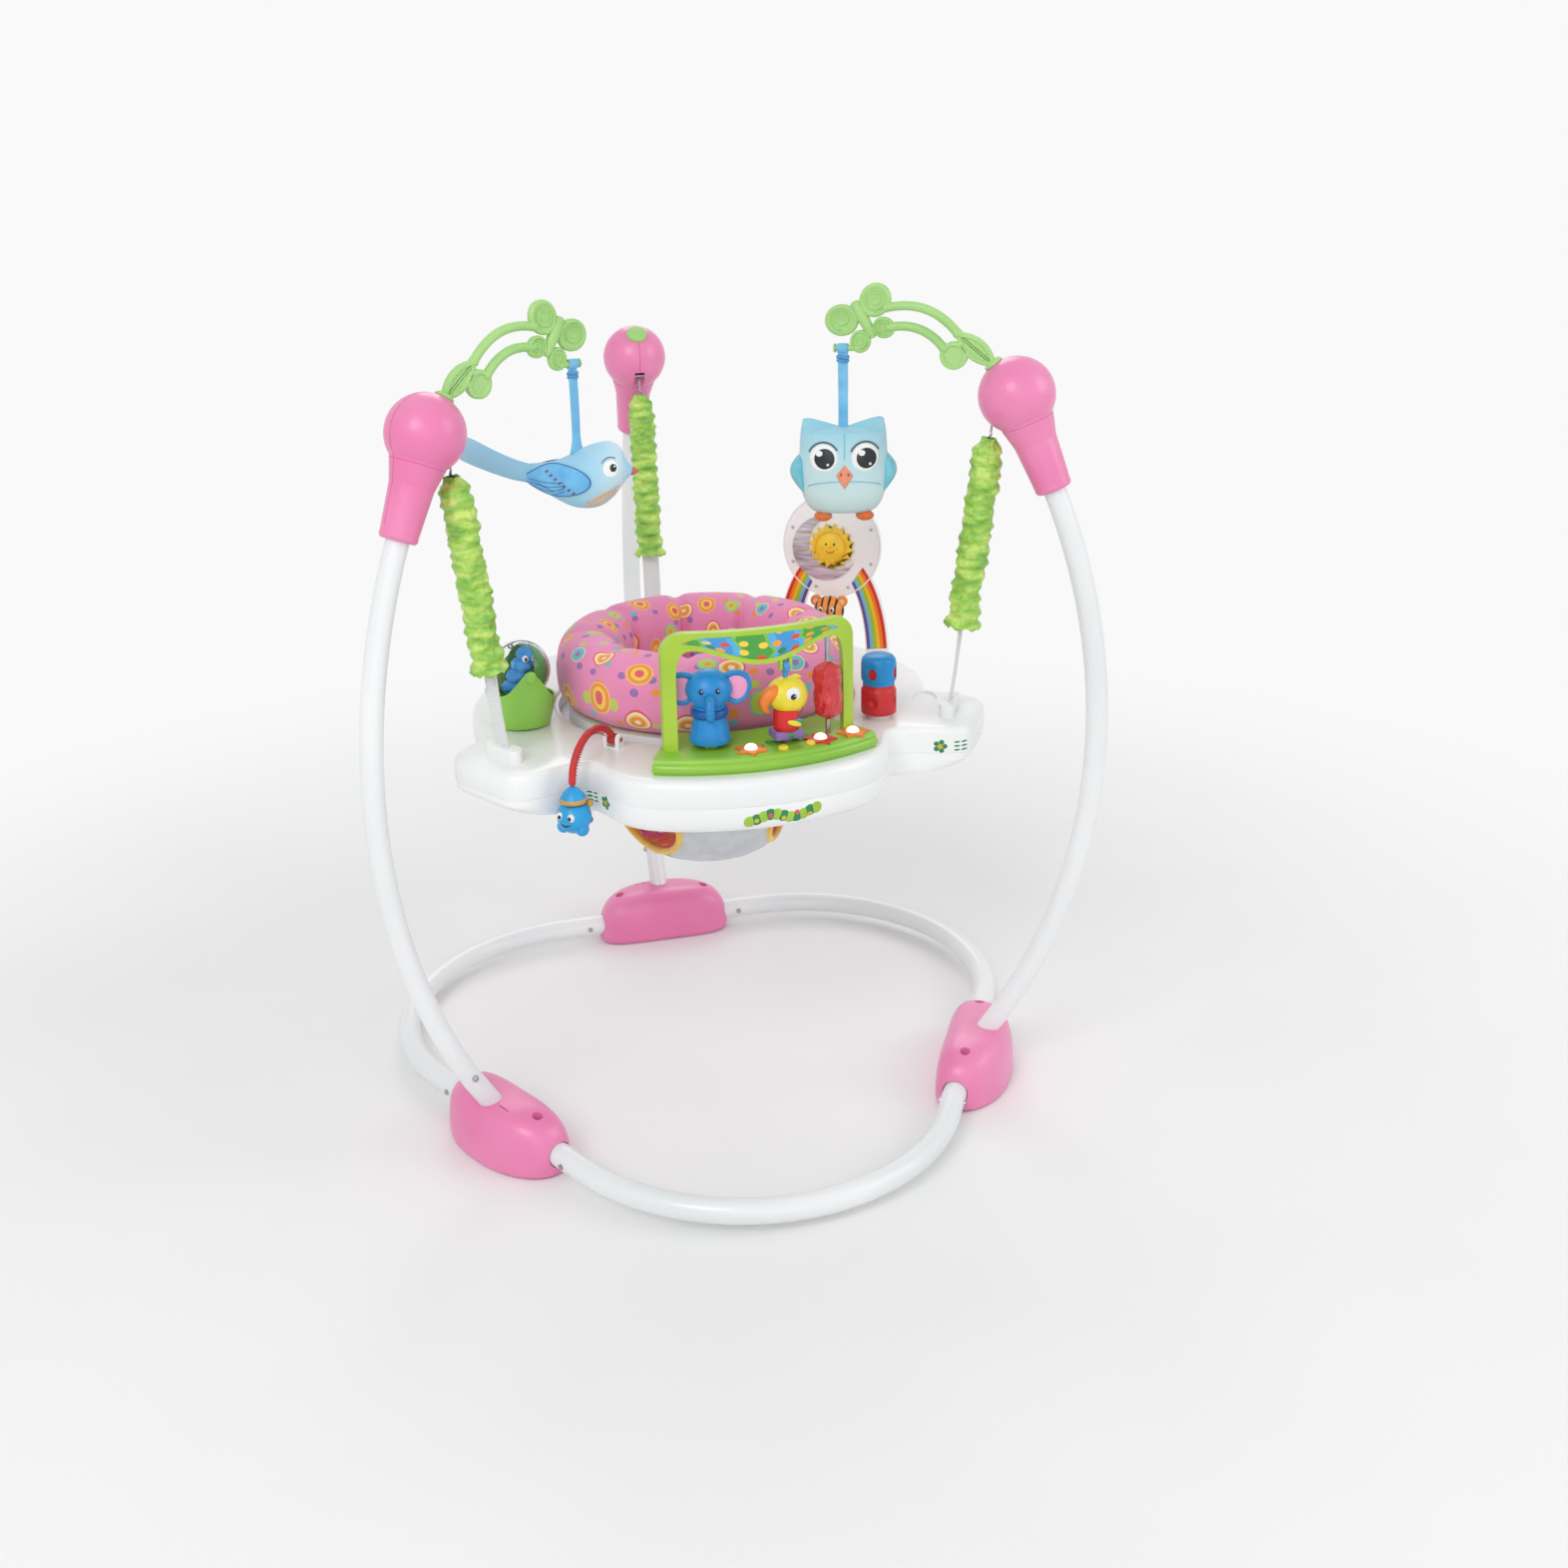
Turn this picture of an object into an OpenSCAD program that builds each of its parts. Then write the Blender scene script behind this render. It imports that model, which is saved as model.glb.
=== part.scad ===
// Baby jumper: a three-legged tube frame that carries a sprung activity tray with a swivel seat and toys.
// Sizes are in millimetres, the floor is z = 0 and the front of the tray faces -Y.

/* [Frame] */
// Overall height, up to the top wings of the butterflies
overall_h = 850; // [840:1:870]
// Radius of the circle that the bowed uprights touch
frame_r = 425; // [410:1:445]
// How far the base tubes run inside the uprights' feet
base_in = 24.3; // [20:0.1:28]
// Bend radius of the base tubes
base_bend = 218; // [205:1:228]
// Outer diameter of the base tubes
base_tube_d = 25; // [22:0.5:27]
// Height of the base tubes' axis above the floor
base_tube_h = 22; // [19:0.5:24]
// Outer diameter of the uprights
upright_d = 22; // [19:0.5:24]
// Bend radius of the uprights
upright_bend = 640; // [600:1:700]
// Height of the widest point of the bow
bow_h = 405; // [395:1:415]
// Wall of all tubes
tube_wall = 1.2; // [0.9:0.1:1.8]

/* [Feet] */
// Length of a foot along the base tubes
foot_l = 170; // [150:1:180]
// Width of a foot
foot_w = 76; // [72:1:84]
// Height of a foot
foot_h = 62; // [58:1:68]
// How far the ends of a foot curl towards the middle of the frame
foot_curl = 12; // [6:1:16]
// How far a base tube reaches into a foot
tube_insert = 42; // [34:1:48]
// Length of the upright inside its foot
upright_insert = 38; // [30:1:40]
// Diameter of the screw recesses in the feet
screw_recess_d = 9; // [7:0.5:11]

/* [Top housings] */
// How far the butterflies rise over the mouths of the top housings
arm_rise = 195; // [185:1:205]
// Diameter of the ball on a housing
ball_d = 74; // [70:1:78]
// Distance from the mouth of the sleeve to the middle of the ball
ball_along = 97; // [92:1:102]
// Diameter of the sleeve's mouth
mouth_d = 35; // [32:0.5:38]
// Diameter of the sleeve where it meets the ball
neck_d = 48; // [44:0.5:52]
// Length of the upright inside its housing
housing_grip = 52; // [40:1:60]
// Tilt of the toy-arm socket from upright, towards the middle
socket_tilt = 38; // [32:1:44]
// Diameter of the toy-arm socket
socket_d = 14; // [12:0.5:16]
// Depth of the toy-arm socket
socket_depth = 15; // [12:0.5:18]

/* [Toy arms] */
// Distance of the butterflies from the middle of the frame
butterfly_run = 176; // [170:1:182]
// Span of a butterfly's wings
butterfly_span = 70; // [66:1:74]
// Thickness of a butterfly and of the leaves
leaf_t = 7; // [5:0.5:9]
// Diameter of a stem
stem_d = 9; // [8:0.5:10]
// Length of the pointed leaf on the ball
leaf_l = 46; // [42:1:50]
// Width of the pointed leaf
leaf_w = 21; // [18:0.5:24]
// Diameter of the round leaf
pod_d = 27; // [24:0.5:30]
// Diameter of the peg that a toy hangs on
peg_d = 6; // [5:0.5:7]
// Distance of the middle of a peg from the middle of the frame
peg_run = 155; // [153:0.5:156]

/* [Suspension] */
// How far the spring pin sits inwards of the ball's middle
pin_in = 22; // [19:0.5:24]
// How far the spring pin sits below the ball's middle
pin_down = 20; // [17:0.5:22]
// Diameter of the spring pin
pin_d = 5; // [4:0.5:6]
// Width of the slot around the spring pin
slot_w = 12; // [10:0.5:14]
// Distance of a strap anchor from the middle of the tray
anchor_run = 265; // [258:1:270]
// Wire diameter of a spring
wire_d = 2.4; // [2:0.1:3]
// Outer diameter of a spring
spring_d = 18; // [16:0.5:20]
// Turns of a spring
spring_turns = 12; // [10:1:14]
// Diameter of a gathered sleeve
sleeve_d = 29; // [26:0.5:32]
// Length of a gathered sleeve
sleeve_l = 192; // [180:1:196]
// Width of the strap webbing
strap_w = 20; // [16:0.5:24]
// Thickness of the strap webbing
strap_t = 1.6; // [1.2:0.1:2]
// Length of a strap from its anchor to its spring
strap_l = 108; // [100:1:112]

/* [Tray] */
// How far the tray's top face hangs below the mouths of the top housings
tray_hang = 235; // [225:1:245]
// Height of the tray's parting line below the top face
parting_drop = 27; // [24:1:30]
// Height of the tray from its floor to its top face
tray_h = 54; // [50:1:60]
// Radius of the tray between its lobes
tray_disc_r = 212; // [206:1:218]
// Reach of the front lobe past that radius
front_lobe = 52; // [46:1:58]
// Reach of the two side lobes past that radius
side_lobe = 36; // [32:1:40]
// Radius at the end of the three strap arms
tray_arm_r = 292; // [288:1:298]
// Wall of the tray's two shells
tray_wall = 3; // [2.5:0.1:3.5]
// Radius of the rounded upper edge
tray_edge_r = 9; // [7:0.5:11]
// Radius of the hole for the seat
tray_hole_r = 160; // [158:0.5:162]

/* [Seat] */
// Radius of the running ledge's inner edge
ledge_r = 146; // [144:0.5:147]
// Wall of the seat track
track_wall = 3.8; // [3:0.1:4.2]
// Thickness of the ledge
ledge_t = 3.5; // [3:0.1:4.5]
// Height of the ledge below the tray's top face
ledge_drop = 21; // [19:0.5:23]
// Wall of the seat ring
seat_ring_wall = 9; // [7:0.5:10]
// Thickness of the seat ring's flange
flange_t = 4; // [3:0.5:5]
// Radius of the bolster's middle line
bolster_r = 121; // [118:0.5:122]
// Width of the bolster roll
bolster_w = 76; // [70:1:77]
// Height of the bolster roll
bolster_h = 82; // [74:1:88]
// Sewn channels round the bolster
bolster_channels = 9; // [6:1:12]
// Depth of a sewn channel
channel_depth = 5; // [3:0.5:7]
// Depth of the sling below the tray's top face
sling_depth = 168; // [158:1:176]
// Radius of the sling's flat bottom
sling_foot_r = 61; // [55:1:64]
// Thickness of the sling's cloth
sling_t = 3; // [2.5:0.1:3.5]
// Diameter of a leg hole
leg_hole_d = 108; // [100:1:112]
// Width of the binding round a leg hole
binding_w = 4; // [3:0.5:5]

/* [Play station] */
// Direction of the middle of the station
station_az = 273; // [270:1:276]
// Half of the angle that the station spans
station_half = 27; // [25:1:28]
// Inner radius of the station
station_in_r = 166; // [165:0.5:168]
// Outer radius of the station
station_out_r = 246; // [242:0.5:248]
// Height of the station's base
station_h = 16; // [15:0.5:18]
// Wall of the station's base
station_wall = 3; // [2.5:0.1:3.5]
// Height of the arch over the base
arch_h = 116; // [110:1:122]
// Thickness of the arch
arch_t = 9; // [8:0.5:10]
// Width of an arch leg
arch_leg_w = 12; // [10:0.5:14]
// Depth of the arch's panel in the middle
arch_panel_d = 34; // [30:1:36]
// Radius of the arch's bend in plan
arch_r = 218; // [214:0.5:222]
// Travel of the two buttons
button_travel = 2; // [1.5:0.1:2.5]
// Diameter of a button
button_d = 10; // [9:0.5:11]

/* [Tray toys] */
// Diameter of the clear globe
globe_d = 62; // [58:1:64]
// Distance of the globe from the middle of the tray
globe_run = 202; // [200:1:206]
// Direction of the globe
globe_az = 190; // [187:1:192]
// Height of the globe's middle over the tray
globe_up = 58; // [55:1:62]
// Diameter of the drum
drum_d = 36; // [32:1:38]
// Height of the drum
drum_h = 62; // [56:1:66]
// Distance of the drum from the middle of the tray
drum_run = 200; // [197:1:204]
// Direction of the drum
drum_az = 321; // [319:1:323]
// Distance of the sun tower from the middle of the tray
tower_run = 198; // [196:1:202]
// Direction of the sun tower
tower_az = 28; // [26:1:30]
// Direction that the sun tower faces
tower_face = 240; // [236:1:244]
// Height of the sun's middle over the tray
sun_up = 130; // [126:1:136]
// Width of the tower's oval panel
panel_w = 112; // [106:1:116]
// Diameter of the sun over its rays
sun_d = 48; // [44:1:52]
// Distance of the stalk's foot from the middle of the tray
stalk_run = 182; // [180:1:186]
// Direction of the stalk
stalk_az = 228; // [227:1:230]
// Diameter of the stalk
stalk_d = 7; // [6:0.5:8]

/* [Hanging toys] */
// Length of a toy strap from its peg to the toy
toy_strap_l = 77; // [72:1:84]
// Width of a toy strap
toy_strap_w = 11; // [9:0.5:13]
// Thickness of a toy strap
toy_strap_t = 2; // [1.6:0.1:2.4]
// Width of the owl
owl_w = 96; // [88:1:104]
// Height of the owl's body
owl_h = 86; // [80:1:92]
// Length of the bird's body
bird_l = 106; // [98:1:112]
// Height of the bird's body
bird_h = 64; // [58:1:68]
// Length of the bird's tail
bird_tail_l = 66; // [58:1:72]

/* [Hidden] */
$fn = 48;

// Colours
tube_white = [0.92, 0.93, 0.93];
shell_pink = [0.93, 0.55, 0.73];
arm_green = [0.65, 0.84, 0.51];
satin_green = [0.59, 0.78, 0.28];
tray_white = [0.96, 0.96, 0.96];
station_green = [0.55, 0.76, 0.24];
arch_lime = [0.67, 0.8, 0.22];
steel = [0.7, 0.71, 0.73];
toy_blue = [0.06, 0.55, 0.84];
toy_red = [0.84, 0.16, 0.2];
toy_yellow = [0.96, 0.86, 0.2];
cloth_pink = [0.94, 0.57, 0.75];
bird_blue = [0.55, 0.8, 0.92];
owl_blue = [0.65, 0.84, 0.88];

// Directions of the three legs and of the three bends of the base
left_az = 210;
right_az = 330;
rear_az = 90;
front_az = 270;
leg_azs = [left_az, right_az, rear_az];
half_side = 60;

// Clearances
cut = 1;
fit = 0.15;
seat_gap = 0.3;
run_gap = 0.05;

// Heights that follow from the overall height
housing_h = overall_h - arm_rise;
tray_z = housing_h - tray_hang;
sling_z = tray_z - sling_depth;

// Uprights: the bow's middle, and the angles at which it meets foot and housing
bow_run = frame_r - upright_d / 2 - upright_bend;
low_bow = asin((foot_h - bow_h) / upright_bend);
high_bow = asin((housing_h - bow_h) / upright_bend);
snap_up = 44;
function bow_angle(l) = l / upright_bend * 180 / PI;
low_end = low_bow - bow_angle(upright_insert);
high_end = high_bow + bow_angle(housing_grip);
snap_bow = low_bow + bow_angle(snap_up);
function bow_run_at(b) = bow_run + upright_bend * cos(b);
function bow_h_at(b) = bow_h + upright_bend * sin(b);

// Base tubes; the middle of the legs lies behind the middle of the outer box
base_run = bow_run_at(low_bow) - base_in;
front_reach = 2 * base_run - base_bend + base_tube_d / 2;
axis_shift = (front_reach - frame_r) / 2;
base_straight = 2 * base_run * cos(half_side / 2) - base_bend / tan(half_side / 2);
base_gap = foot_l / 2 - tube_insert;
pin_past_foot = 14;
tube_pin_d = 6;
tube_pin_proud = 1.4;
tube_pin_at = foot_l / 2 + pin_past_foot;

// Feet
foot_out = 12;
foot_ring_n = 36;
foot_level_shares = [0, 0.05, 0.35, 0.6, 0.78, 0.9, 0.97, 1];
foot_size_shares = [0.95, 1, 0.995, 0.96, 0.88, 0.75, 0.6, 0.42];
foot_squareness = 0.8;
screw_at = 55.5;
screw_floor = 6;
screw_seat = base_tube_h + base_tube_d / 2 + screw_floor;
screw_head_h = 3.5;
slit_l = 16;
slit_w = 1.6;
slit_depth = 2;
slit_at = 24;

// Snap buttons in the uprights
snap_d = 6.6;
snap_collar_d = 9;
snap_collar_t = 1.6;
snap_proud = 3.4;
snap_in_r = upright_d / 2 - tube_wall;
snap_collar_at = sqrt(snap_in_r * snap_in_r - snap_collar_d * snap_collar_d / 4) - seat_gap;

// Housings, in the plane of a leg
mouth_run = bow_run_at(high_bow);
ball_run = mouth_run - ball_along * sin(high_bow);
ball_h = housing_h + ball_along * cos(high_bow);
ball_r = ball_d / 2;
flare_from_share = 0.5;
flare_to_share = 0.8;
flare_r_share = 0.76;
pin_run = ball_run - pin_in;
pin_h = ball_h - pin_down;
pin_half = sqrt(ball_r * ball_r - pin_in * pin_in - pin_down * pin_down) - pin_d;
seam_w = 0.8;
seam_depth = 0.8;
plug_cap_d = 24;
plug_cap_t = 3;
arm_collar_d = 19;

// Toy arms, with places given inwards of and above the ball's middle
wing_r_share = 0.227;
low_wing_r_share = 0.152;
wing_r = butterfly_span * wing_r_share;
low_wing_r = butterfly_span * low_wing_r_share;
butterfly_lean = 30;
wing_out_share = 0.273;
wing_up_share = 0.15;
low_wing_out_share = 0.19;
low_wing_down_share = 0.235;
butterfly_h = overall_h - wing_r
    - butterfly_span * (wing_out_share * sin(butterfly_lean) + wing_up_share * cos(butterfly_lean));
butterfly_body_share = 0.075;
butterfly_body_half_share = 0.2;
butterfly_body_r = butterfly_span * butterfly_body_share;
butterfly_body_half = butterfly_span * butterfly_body_half_share;
wing_rim = 2;
wing_dish = 1.6;
leaf_place = [40, 43];
leaf_angle = 140.5;
pod_place = [61, 37];
upper_stem_from = [57.5, 57.6];
lower_stem_from = [71, 44];
upper_stem_out = 20;
upper_stem_up = 10.7;
lower_stem_out = 23;
lower_stem_down = 7.8;
stem_bulge = 12;
low_stem_bulge = 9;
joint_share = 0.97;
knuckle_share = 1.12;
body_end_share = 1.15;
peg_drop = 27.3;
peg_in = 17;
peg_spare = 3;
peg_h = butterfly_h - peg_drop;
peg_l = toy_strap_w + peg_spare;
peg_knob_d = 9;
eye_wall = 2;
function from_ball(place) = [ball_run - place[0], ball_h + place[1]];

// Suspension line from the anchor on the tray to the pin in the housing
anchor_sunk = 7;
anchor_up = 13;
anchor_h = tray_z + anchor_up - anchor_sunk;
lean = atan((pin_run - anchor_run) / (pin_h - anchor_h));
line_l = sqrt(pow(pin_run - anchor_run, 2) + pow(pin_h - anchor_h, 2));
wire_n = 6;
curl_n = 8;
coil_r = (spring_d - wire_d) / 2;
spring_low = strap_l + seat_gap;
spring_high = line_l - pin_d / 2 - seat_gap;
spring_tail = 14;
sleeve_drop = 22;
sleeve_low = line_l - sleeve_drop - sleeve_l;
strap_bore_d = norm([strap_w, strap_t]) + 2 * seat_gap;
sleeve_sides = 12;
sleeve_rings = 23;
sleeve_flare = 5;
hem_rings = 2.5;
sleeve_puckers = 4;
sleeve_gathers = 9;
gather_share = 0.1;
pucker_share = 0.08;

// Tray
tray_n = 120;
tray_floor_z = tray_z - tray_h;
parting_z = tray_z - parting_drop;
parting_gap = 0.2;
front_half = 37;
arm_half = 13;
side_half = 44;
side_azs = [30, 150];
lobe_sharp = 8;
parting_step = 0.8;
skirt_in = 12;
skirt_low_share = 0.25;
skirt_mid_share = 0.08;
skirt_toe_share = 0.4;
arm_raise = 13;
snack_l = 52;
snack_w = 26;
snack_depth = 2;
snack_run = 236;
snack_az = 338;
cover_screw_share = 0.8;
function turn(d) = d - 360 * round(d / 360);
function bump(a, mid, half) = 1 / (1 + pow(abs(turn(a - mid)) / half, lobe_sharp));
function arms_at(a) = max([for (m = leg_azs) bump(a, m, arm_half)]);
function tray_r(a) = tray_disc_r
    + front_lobe * bump(a, front_az, front_half)
    + side_lobe * max([for (m = side_azs) bump(a, m, side_half)])
    + (tray_arm_r - tray_disc_r) * arms_at(a);

// Fittings on the tray
anchor_l = 34;
anchor_w = 15;
drum_post_d = 10;
drum_foot_d = 24;
drum_foot_h = 4;
hub_d = 11;
hub_w = 9;
lug_t = 4;
lug_up = 9;
hub_pin_d = 5;

// Seat
track_r = tray_hole_r - fit;
track_in_r = track_r - track_wall;
ledge_z = tray_z - ledge_drop;
ring_play = 0.5;
ring_r = ledge_r - ring_play;
ring_in_r = ring_r - seat_ring_wall;
ring_drop = 15;
ring_low = ledge_z - ring_drop;
flange_r = track_in_r - ring_play;
shelf_in = 8;
bolster_z = tray_z + 2 * seat_gap;
pad_n = 72;
pad_section_n = 14;
pad_round = 0.85;
channel_sharp = 5;
sling_top_r = ring_in_r - seat_gap;
sling_rim_drop = 2;
sling_rim_z = tray_z - sling_rim_drop;
sling_curve = 0.6;
sling_steps = 8;
leg_az_off = 60;
leg_hole_up = 81;
leg_hole_z = sling_z + leg_hole_up;
leg_tilt = 12;
binding_proud = 1.2;

// Play station
station_z = tray_z + station_h;
station_edge = 4;
toy_run = 206;
elephant_off = -14;
parrot_off = 5.5;
spinner_off = 17.8;
lamp_d = 13;
lamp_offs = [-4.5, 13.5, 22.5];
lamp_runs = [228, 229, 233];
lamp_rim_share = 1.25;
lamp_rim_h = 1.5;
arch_thin = 14;
arch_corner = 10;
arch_round = 22;
arch_n = 24;
axle_d = 5;
axle_in = 3;
hook_w = 6;
hook_d = 12;
hook_lug_t = 3;
hook_drop = 6;
hook_sink = 3;
hook_pin_share = 0.8;
parrot_lug_up = 16;
parrot_pivot = arch_h - arch_panel_d - hook_drop;
parrot_head_d = 34;
parrot_head_up = 48;
parrot_crown = parrot_head_up + parrot_head_d / 2;
parrot_low = 5;
parrot_foot_d = 24;
parrot_neck_d = 24.5;
parrot_step_d = 22;
parrot_step_l = 29;
parrot_step_h = 8;
beak_d = 18;
beak_ahead = 3.4;
beak_aside = 13;
beak_drop = 3.6;
elephant_body_up = 8;
elephant_body_d = 30;
elephant_head_up = 46;
elephant_head_d = 44;
elephant_ear_d = 30;
elephant_ear_at = 26;
ear_thick = 6;
ear_rise = 4;
neck_share = 0.42;
body_r = elephant_body_d / 2;
skirt_r = 20;
skirt_in_r = 13;
skirt_drop = 4;
scarf_h = 9;
scarf_z = 21;
scarf_proud = 3;
scarf_edge_share = 0.2;
trunk_d = 9;
trunk_bend = 12;
spinner_d = 30;
spinner_h = 60;
spinner_low = 14;
spinner_n = 24;
spinner_waves = 3;
spinner_waist_share = 0.72;
spinner_flutes = 5;
flute_d = 12;
flute_out = 2.4;
spinner_cap = 15;
spinner_round = 0.5;
speaker_d = 44;
speaker_h = 7;
button_offs = [3, 10];
button_run = 234;
button_round = 1.5;
button_proud = 3;
button_flange_d = 13;
button_flange_t = 2;
board_t = 1.6;
board_gap = 0.3;

// Tray toys
globe_wall = 2;
cup_d = 68;
cup_foot_d = 54;
globe_rub = 1;
cup_h = 34;
ear_w = 20;
ear_t = 6;
globe_pin_d = 6;
figure_r = globe_d / 2 - globe_wall - fit;
figure_foot_share = 0.54;
figure_neck_share = 0.27;
figure_body_share = 0.65;
figure_face_share = 0.9;
figure_head_share = 0.39;
figure_ear_share = 0.33;
figure_top_share = 1.25;
drum_level_shares = [0, 0.42, 0.46, 0.54, 0.58, 0.86, 0.97, 1];
drum_width_shares = [1, 1, 0.9, 0.9, 1, 1, 0.84, 0.6];
drum_dimple_d = 11;
drum_dimple_run = 18.7;
drum_dimple_up = 13.6;
panel_t = 8;
tower_leg_w = 26;
tower_leg_t = 8;
tower_spread = 52;
sun_rays = 16;
sun_t = 6;
sun_pin_d = 6;
tiger_up = 76;
tiger_ahead = 20;
tiger_d = 30;
tiger_head_d = 34;
tiger_ear_d = 13;
tiger_neck_d = 21;
tiger_ear_at = 15;
tiger_ear_drop = 6;
panel_tall_share = 1.06;
tower_foot_w = 18;
tower_foot_h = 4;
oval_n = 48;
mirror_t = 1.5;
moon_off = 8;
moon_r = 37;
moon_low = 2.7;
moon_bite_off = 4;
moon_gap = 6;
sun_dip_share = 0.78;
stalk_reach = 76;
stalk_fall = 20;
stalk_bulge = 30;
tip_share = 0.96;
creature_d = 34;
creature_cap_h = 10;
creature_band_h = 6;
creature_collar = creature_cap_h + creature_band_h;
creature_neck_d = 25.5;
creature_drop = 14.3;
creature_paw_d = 13.6;
creature_paw_at = 10.2;
creature_paw_drop = 25.5;

// Hanging toys
owl_depth_share = 0.52;
owl_ear_h = 13;
owl_turn = 15;
owl_n = 20;
wing_n = 3;
wing_gap = 0.8;
wing_t = 10;
wing_fall = 80;
owl_tuft = 6;
bird_turn = -42;
bird_n = 16;
bird_deep_share = 0.8;
tail_n = 12;
tail_deep_share = 0.3;

module placed() translate([0, axis_shift, 0]) children();
module at_az(a) rotate([0, 0, a]) children();
function polar(r, a, z = 0) = [r * cos(a), r * sin(a), z];
function middle(ring) = [for (k = [0:2]) [for (p = ring) p[k]] * [for (p = ring) 1] / len(ring)];
function signed_pow(v, e) = sign(v) * pow(abs(v), e);

// Skin over rings of equal length, closed at both ends or looped back on itself.
// A ring runs counter-clockwise when it is looked at from the side of the next ring.
module skin(rings, looped = false) {
    n = len(rings[0]);
    m = len(rings);
    last = looped ? m - 1 : m - 2;
    sides = [for (i = [0:last]) for (j = [0:n - 1])
        let (k = (j + 1) % n, up = ((i + 1) % m) * n)
        each [[i * n + j, up + k, i * n + k], [i * n + j, up + j, up + k]]];
    caps = [for (j = [0:n - 1]) let (k = (j + 1) % n)
        each [[m * n, j, k], [m * n + 1, (m - 1) * n + k, (m - 1) * n + j]]];
    ends = [middle(rings[0]), middle(rings[m - 1])];
    polyhedron(points = concat([for (r = rings) each r], looped ? [] : ends),
        faces = looped ? sides : concat(sides, caps));
}

// Closed sweep of a profile, given for each direction as a list of [radius, height], once round the axis
module lathe_skin(rings, n)
    skin([for (i = [0:n - 1]) [for (p = rings[i]) polar(p[0], -360 * i / n, p[1])]], true);

// Round rod bent to an arc between two points of a leg's plane; it bulges to the right of p to q
module arc_rod(p, q, bulge, d) {
    chord = norm(q - p);
    r = (chord * chord / 4 + bulge * bulge) / (2 * bulge);
    side = [q[1] - p[1], p[0] - q[0]] / chord;
    hub = (p + q) / 2 - side * (r - bulge);
    half = asin(chord / 2 / r);
    translate([hub[0], 0, hub[1]]) rotate([90, 0, 0])
        rotate_extrude(angle = 2 * half, start = atan2(side[1], side[0]) - half, $fn = 96)
        translate([r, 0]) circle(d = d);
}

// Base: three tubes bent through the corners of a rounded triangle
module base_run_solid(r, over) {
    hub = 2 * base_run - 2 * base_bend;
    translate([hub, 0, base_tube_h]) rotate_extrude(angle = 2 * half_side, start = -half_side, $fn = 120)
        translate([base_bend, 0]) circle(r = r);
    for (s = [-1, 1])
        translate([hub + base_bend * cos(half_side), s * base_bend * sin(half_side), base_tube_h])
        rotate([-90 * s, 0, s * half_side]) cylinder(r = r, h = base_straight - base_gap + over);
}
module tube_pin_places(az) for (s = [-1, 1]) at_az(az + s * half_side)
    translate([base_run, -s * tube_pin_at, base_tube_h]) rotate([0, 90, 0]) children();
module base_tube(az) color(tube_white) difference() {
    at_az(az) base_run_solid(base_tube_d / 2, 0);
    at_az(az) base_run_solid(base_tube_d / 2 - tube_wall, cut);
    tube_pin_places(az) cylinder(d = tube_pin_d + 2 * run_gap, h = 2 * base_tube_d, center = true);
}
module base_tube_front() base_tube(front_az);
module base_tube_right() base_tube(right_az + half_side);
module base_tube_left() base_tube(left_az - half_side);
module tube_pins() color(steel) for (az = leg_azs) tube_pin_places(az + half_side)
    cylinder(d = tube_pin_d, h = base_tube_d + 2 * tube_pin_proud, center = true);

// Feet: bean-shaped shells that take two base tubes and an upright
function foot_ring(size, z) = [for (j = [0:foot_ring_n - 1])
    let (t = 360 * j / foot_ring_n,
        y = foot_l / 2 * size * signed_pow(sin(t), foot_squareness),
        x = foot_w / 2 * size * signed_pow(cos(t), foot_squareness))
    [base_run + foot_out + x - foot_curl * pow(2 * y / foot_l, 2), y, z]];
module bow_arc(r, low, high) translate([bow_run, 0, bow_h]) rotate([90, 0, 0])
    rotate_extrude(angle = high - low, start = low, $fn = 240) translate([upright_bend, 0]) circle(r = r);
module foot(az) color(shell_pink) at_az(az) difference() {
    skin([for (i = [0:len(foot_level_shares) - 1])
        foot_ring(foot_size_shares[i], foot_h * foot_level_shares[i])]);
    for (s = [-1, 1]) translate([base_run, s * base_gap, base_tube_h]) rotate([-90 * s, 0, 0])
        translate([0, 0, -fit]) cylinder(d = base_tube_d + 2 * fit, h = foot_l);
    bow_arc(upright_d / 2 + fit, low_end - bow_angle(fit), low_bow + bow_angle(foot_h));
    for (s = [-1, 1]) translate([base_run + foot_out / 2, s * screw_at, screw_seat])
        cylinder(d = screw_recess_d, h = foot_h);
    translate([bow_run_at(low_bow) - slit_w / 2, slit_at - slit_l / 2, foot_h - slit_depth])
        cube([slit_w, slit_l, foot_h]);
}
module foot_left() foot(left_az);
module foot_right() foot(right_az);
module foot_rear() foot(rear_az);
module foot_screws() color(steel) for (az = leg_azs) at_az(az) for (s = [-1, 1])
    translate([base_run + foot_out / 2, s * screw_at, screw_seat])
    cylinder(d = screw_recess_d - 2 * fit, h = screw_head_h);

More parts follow.
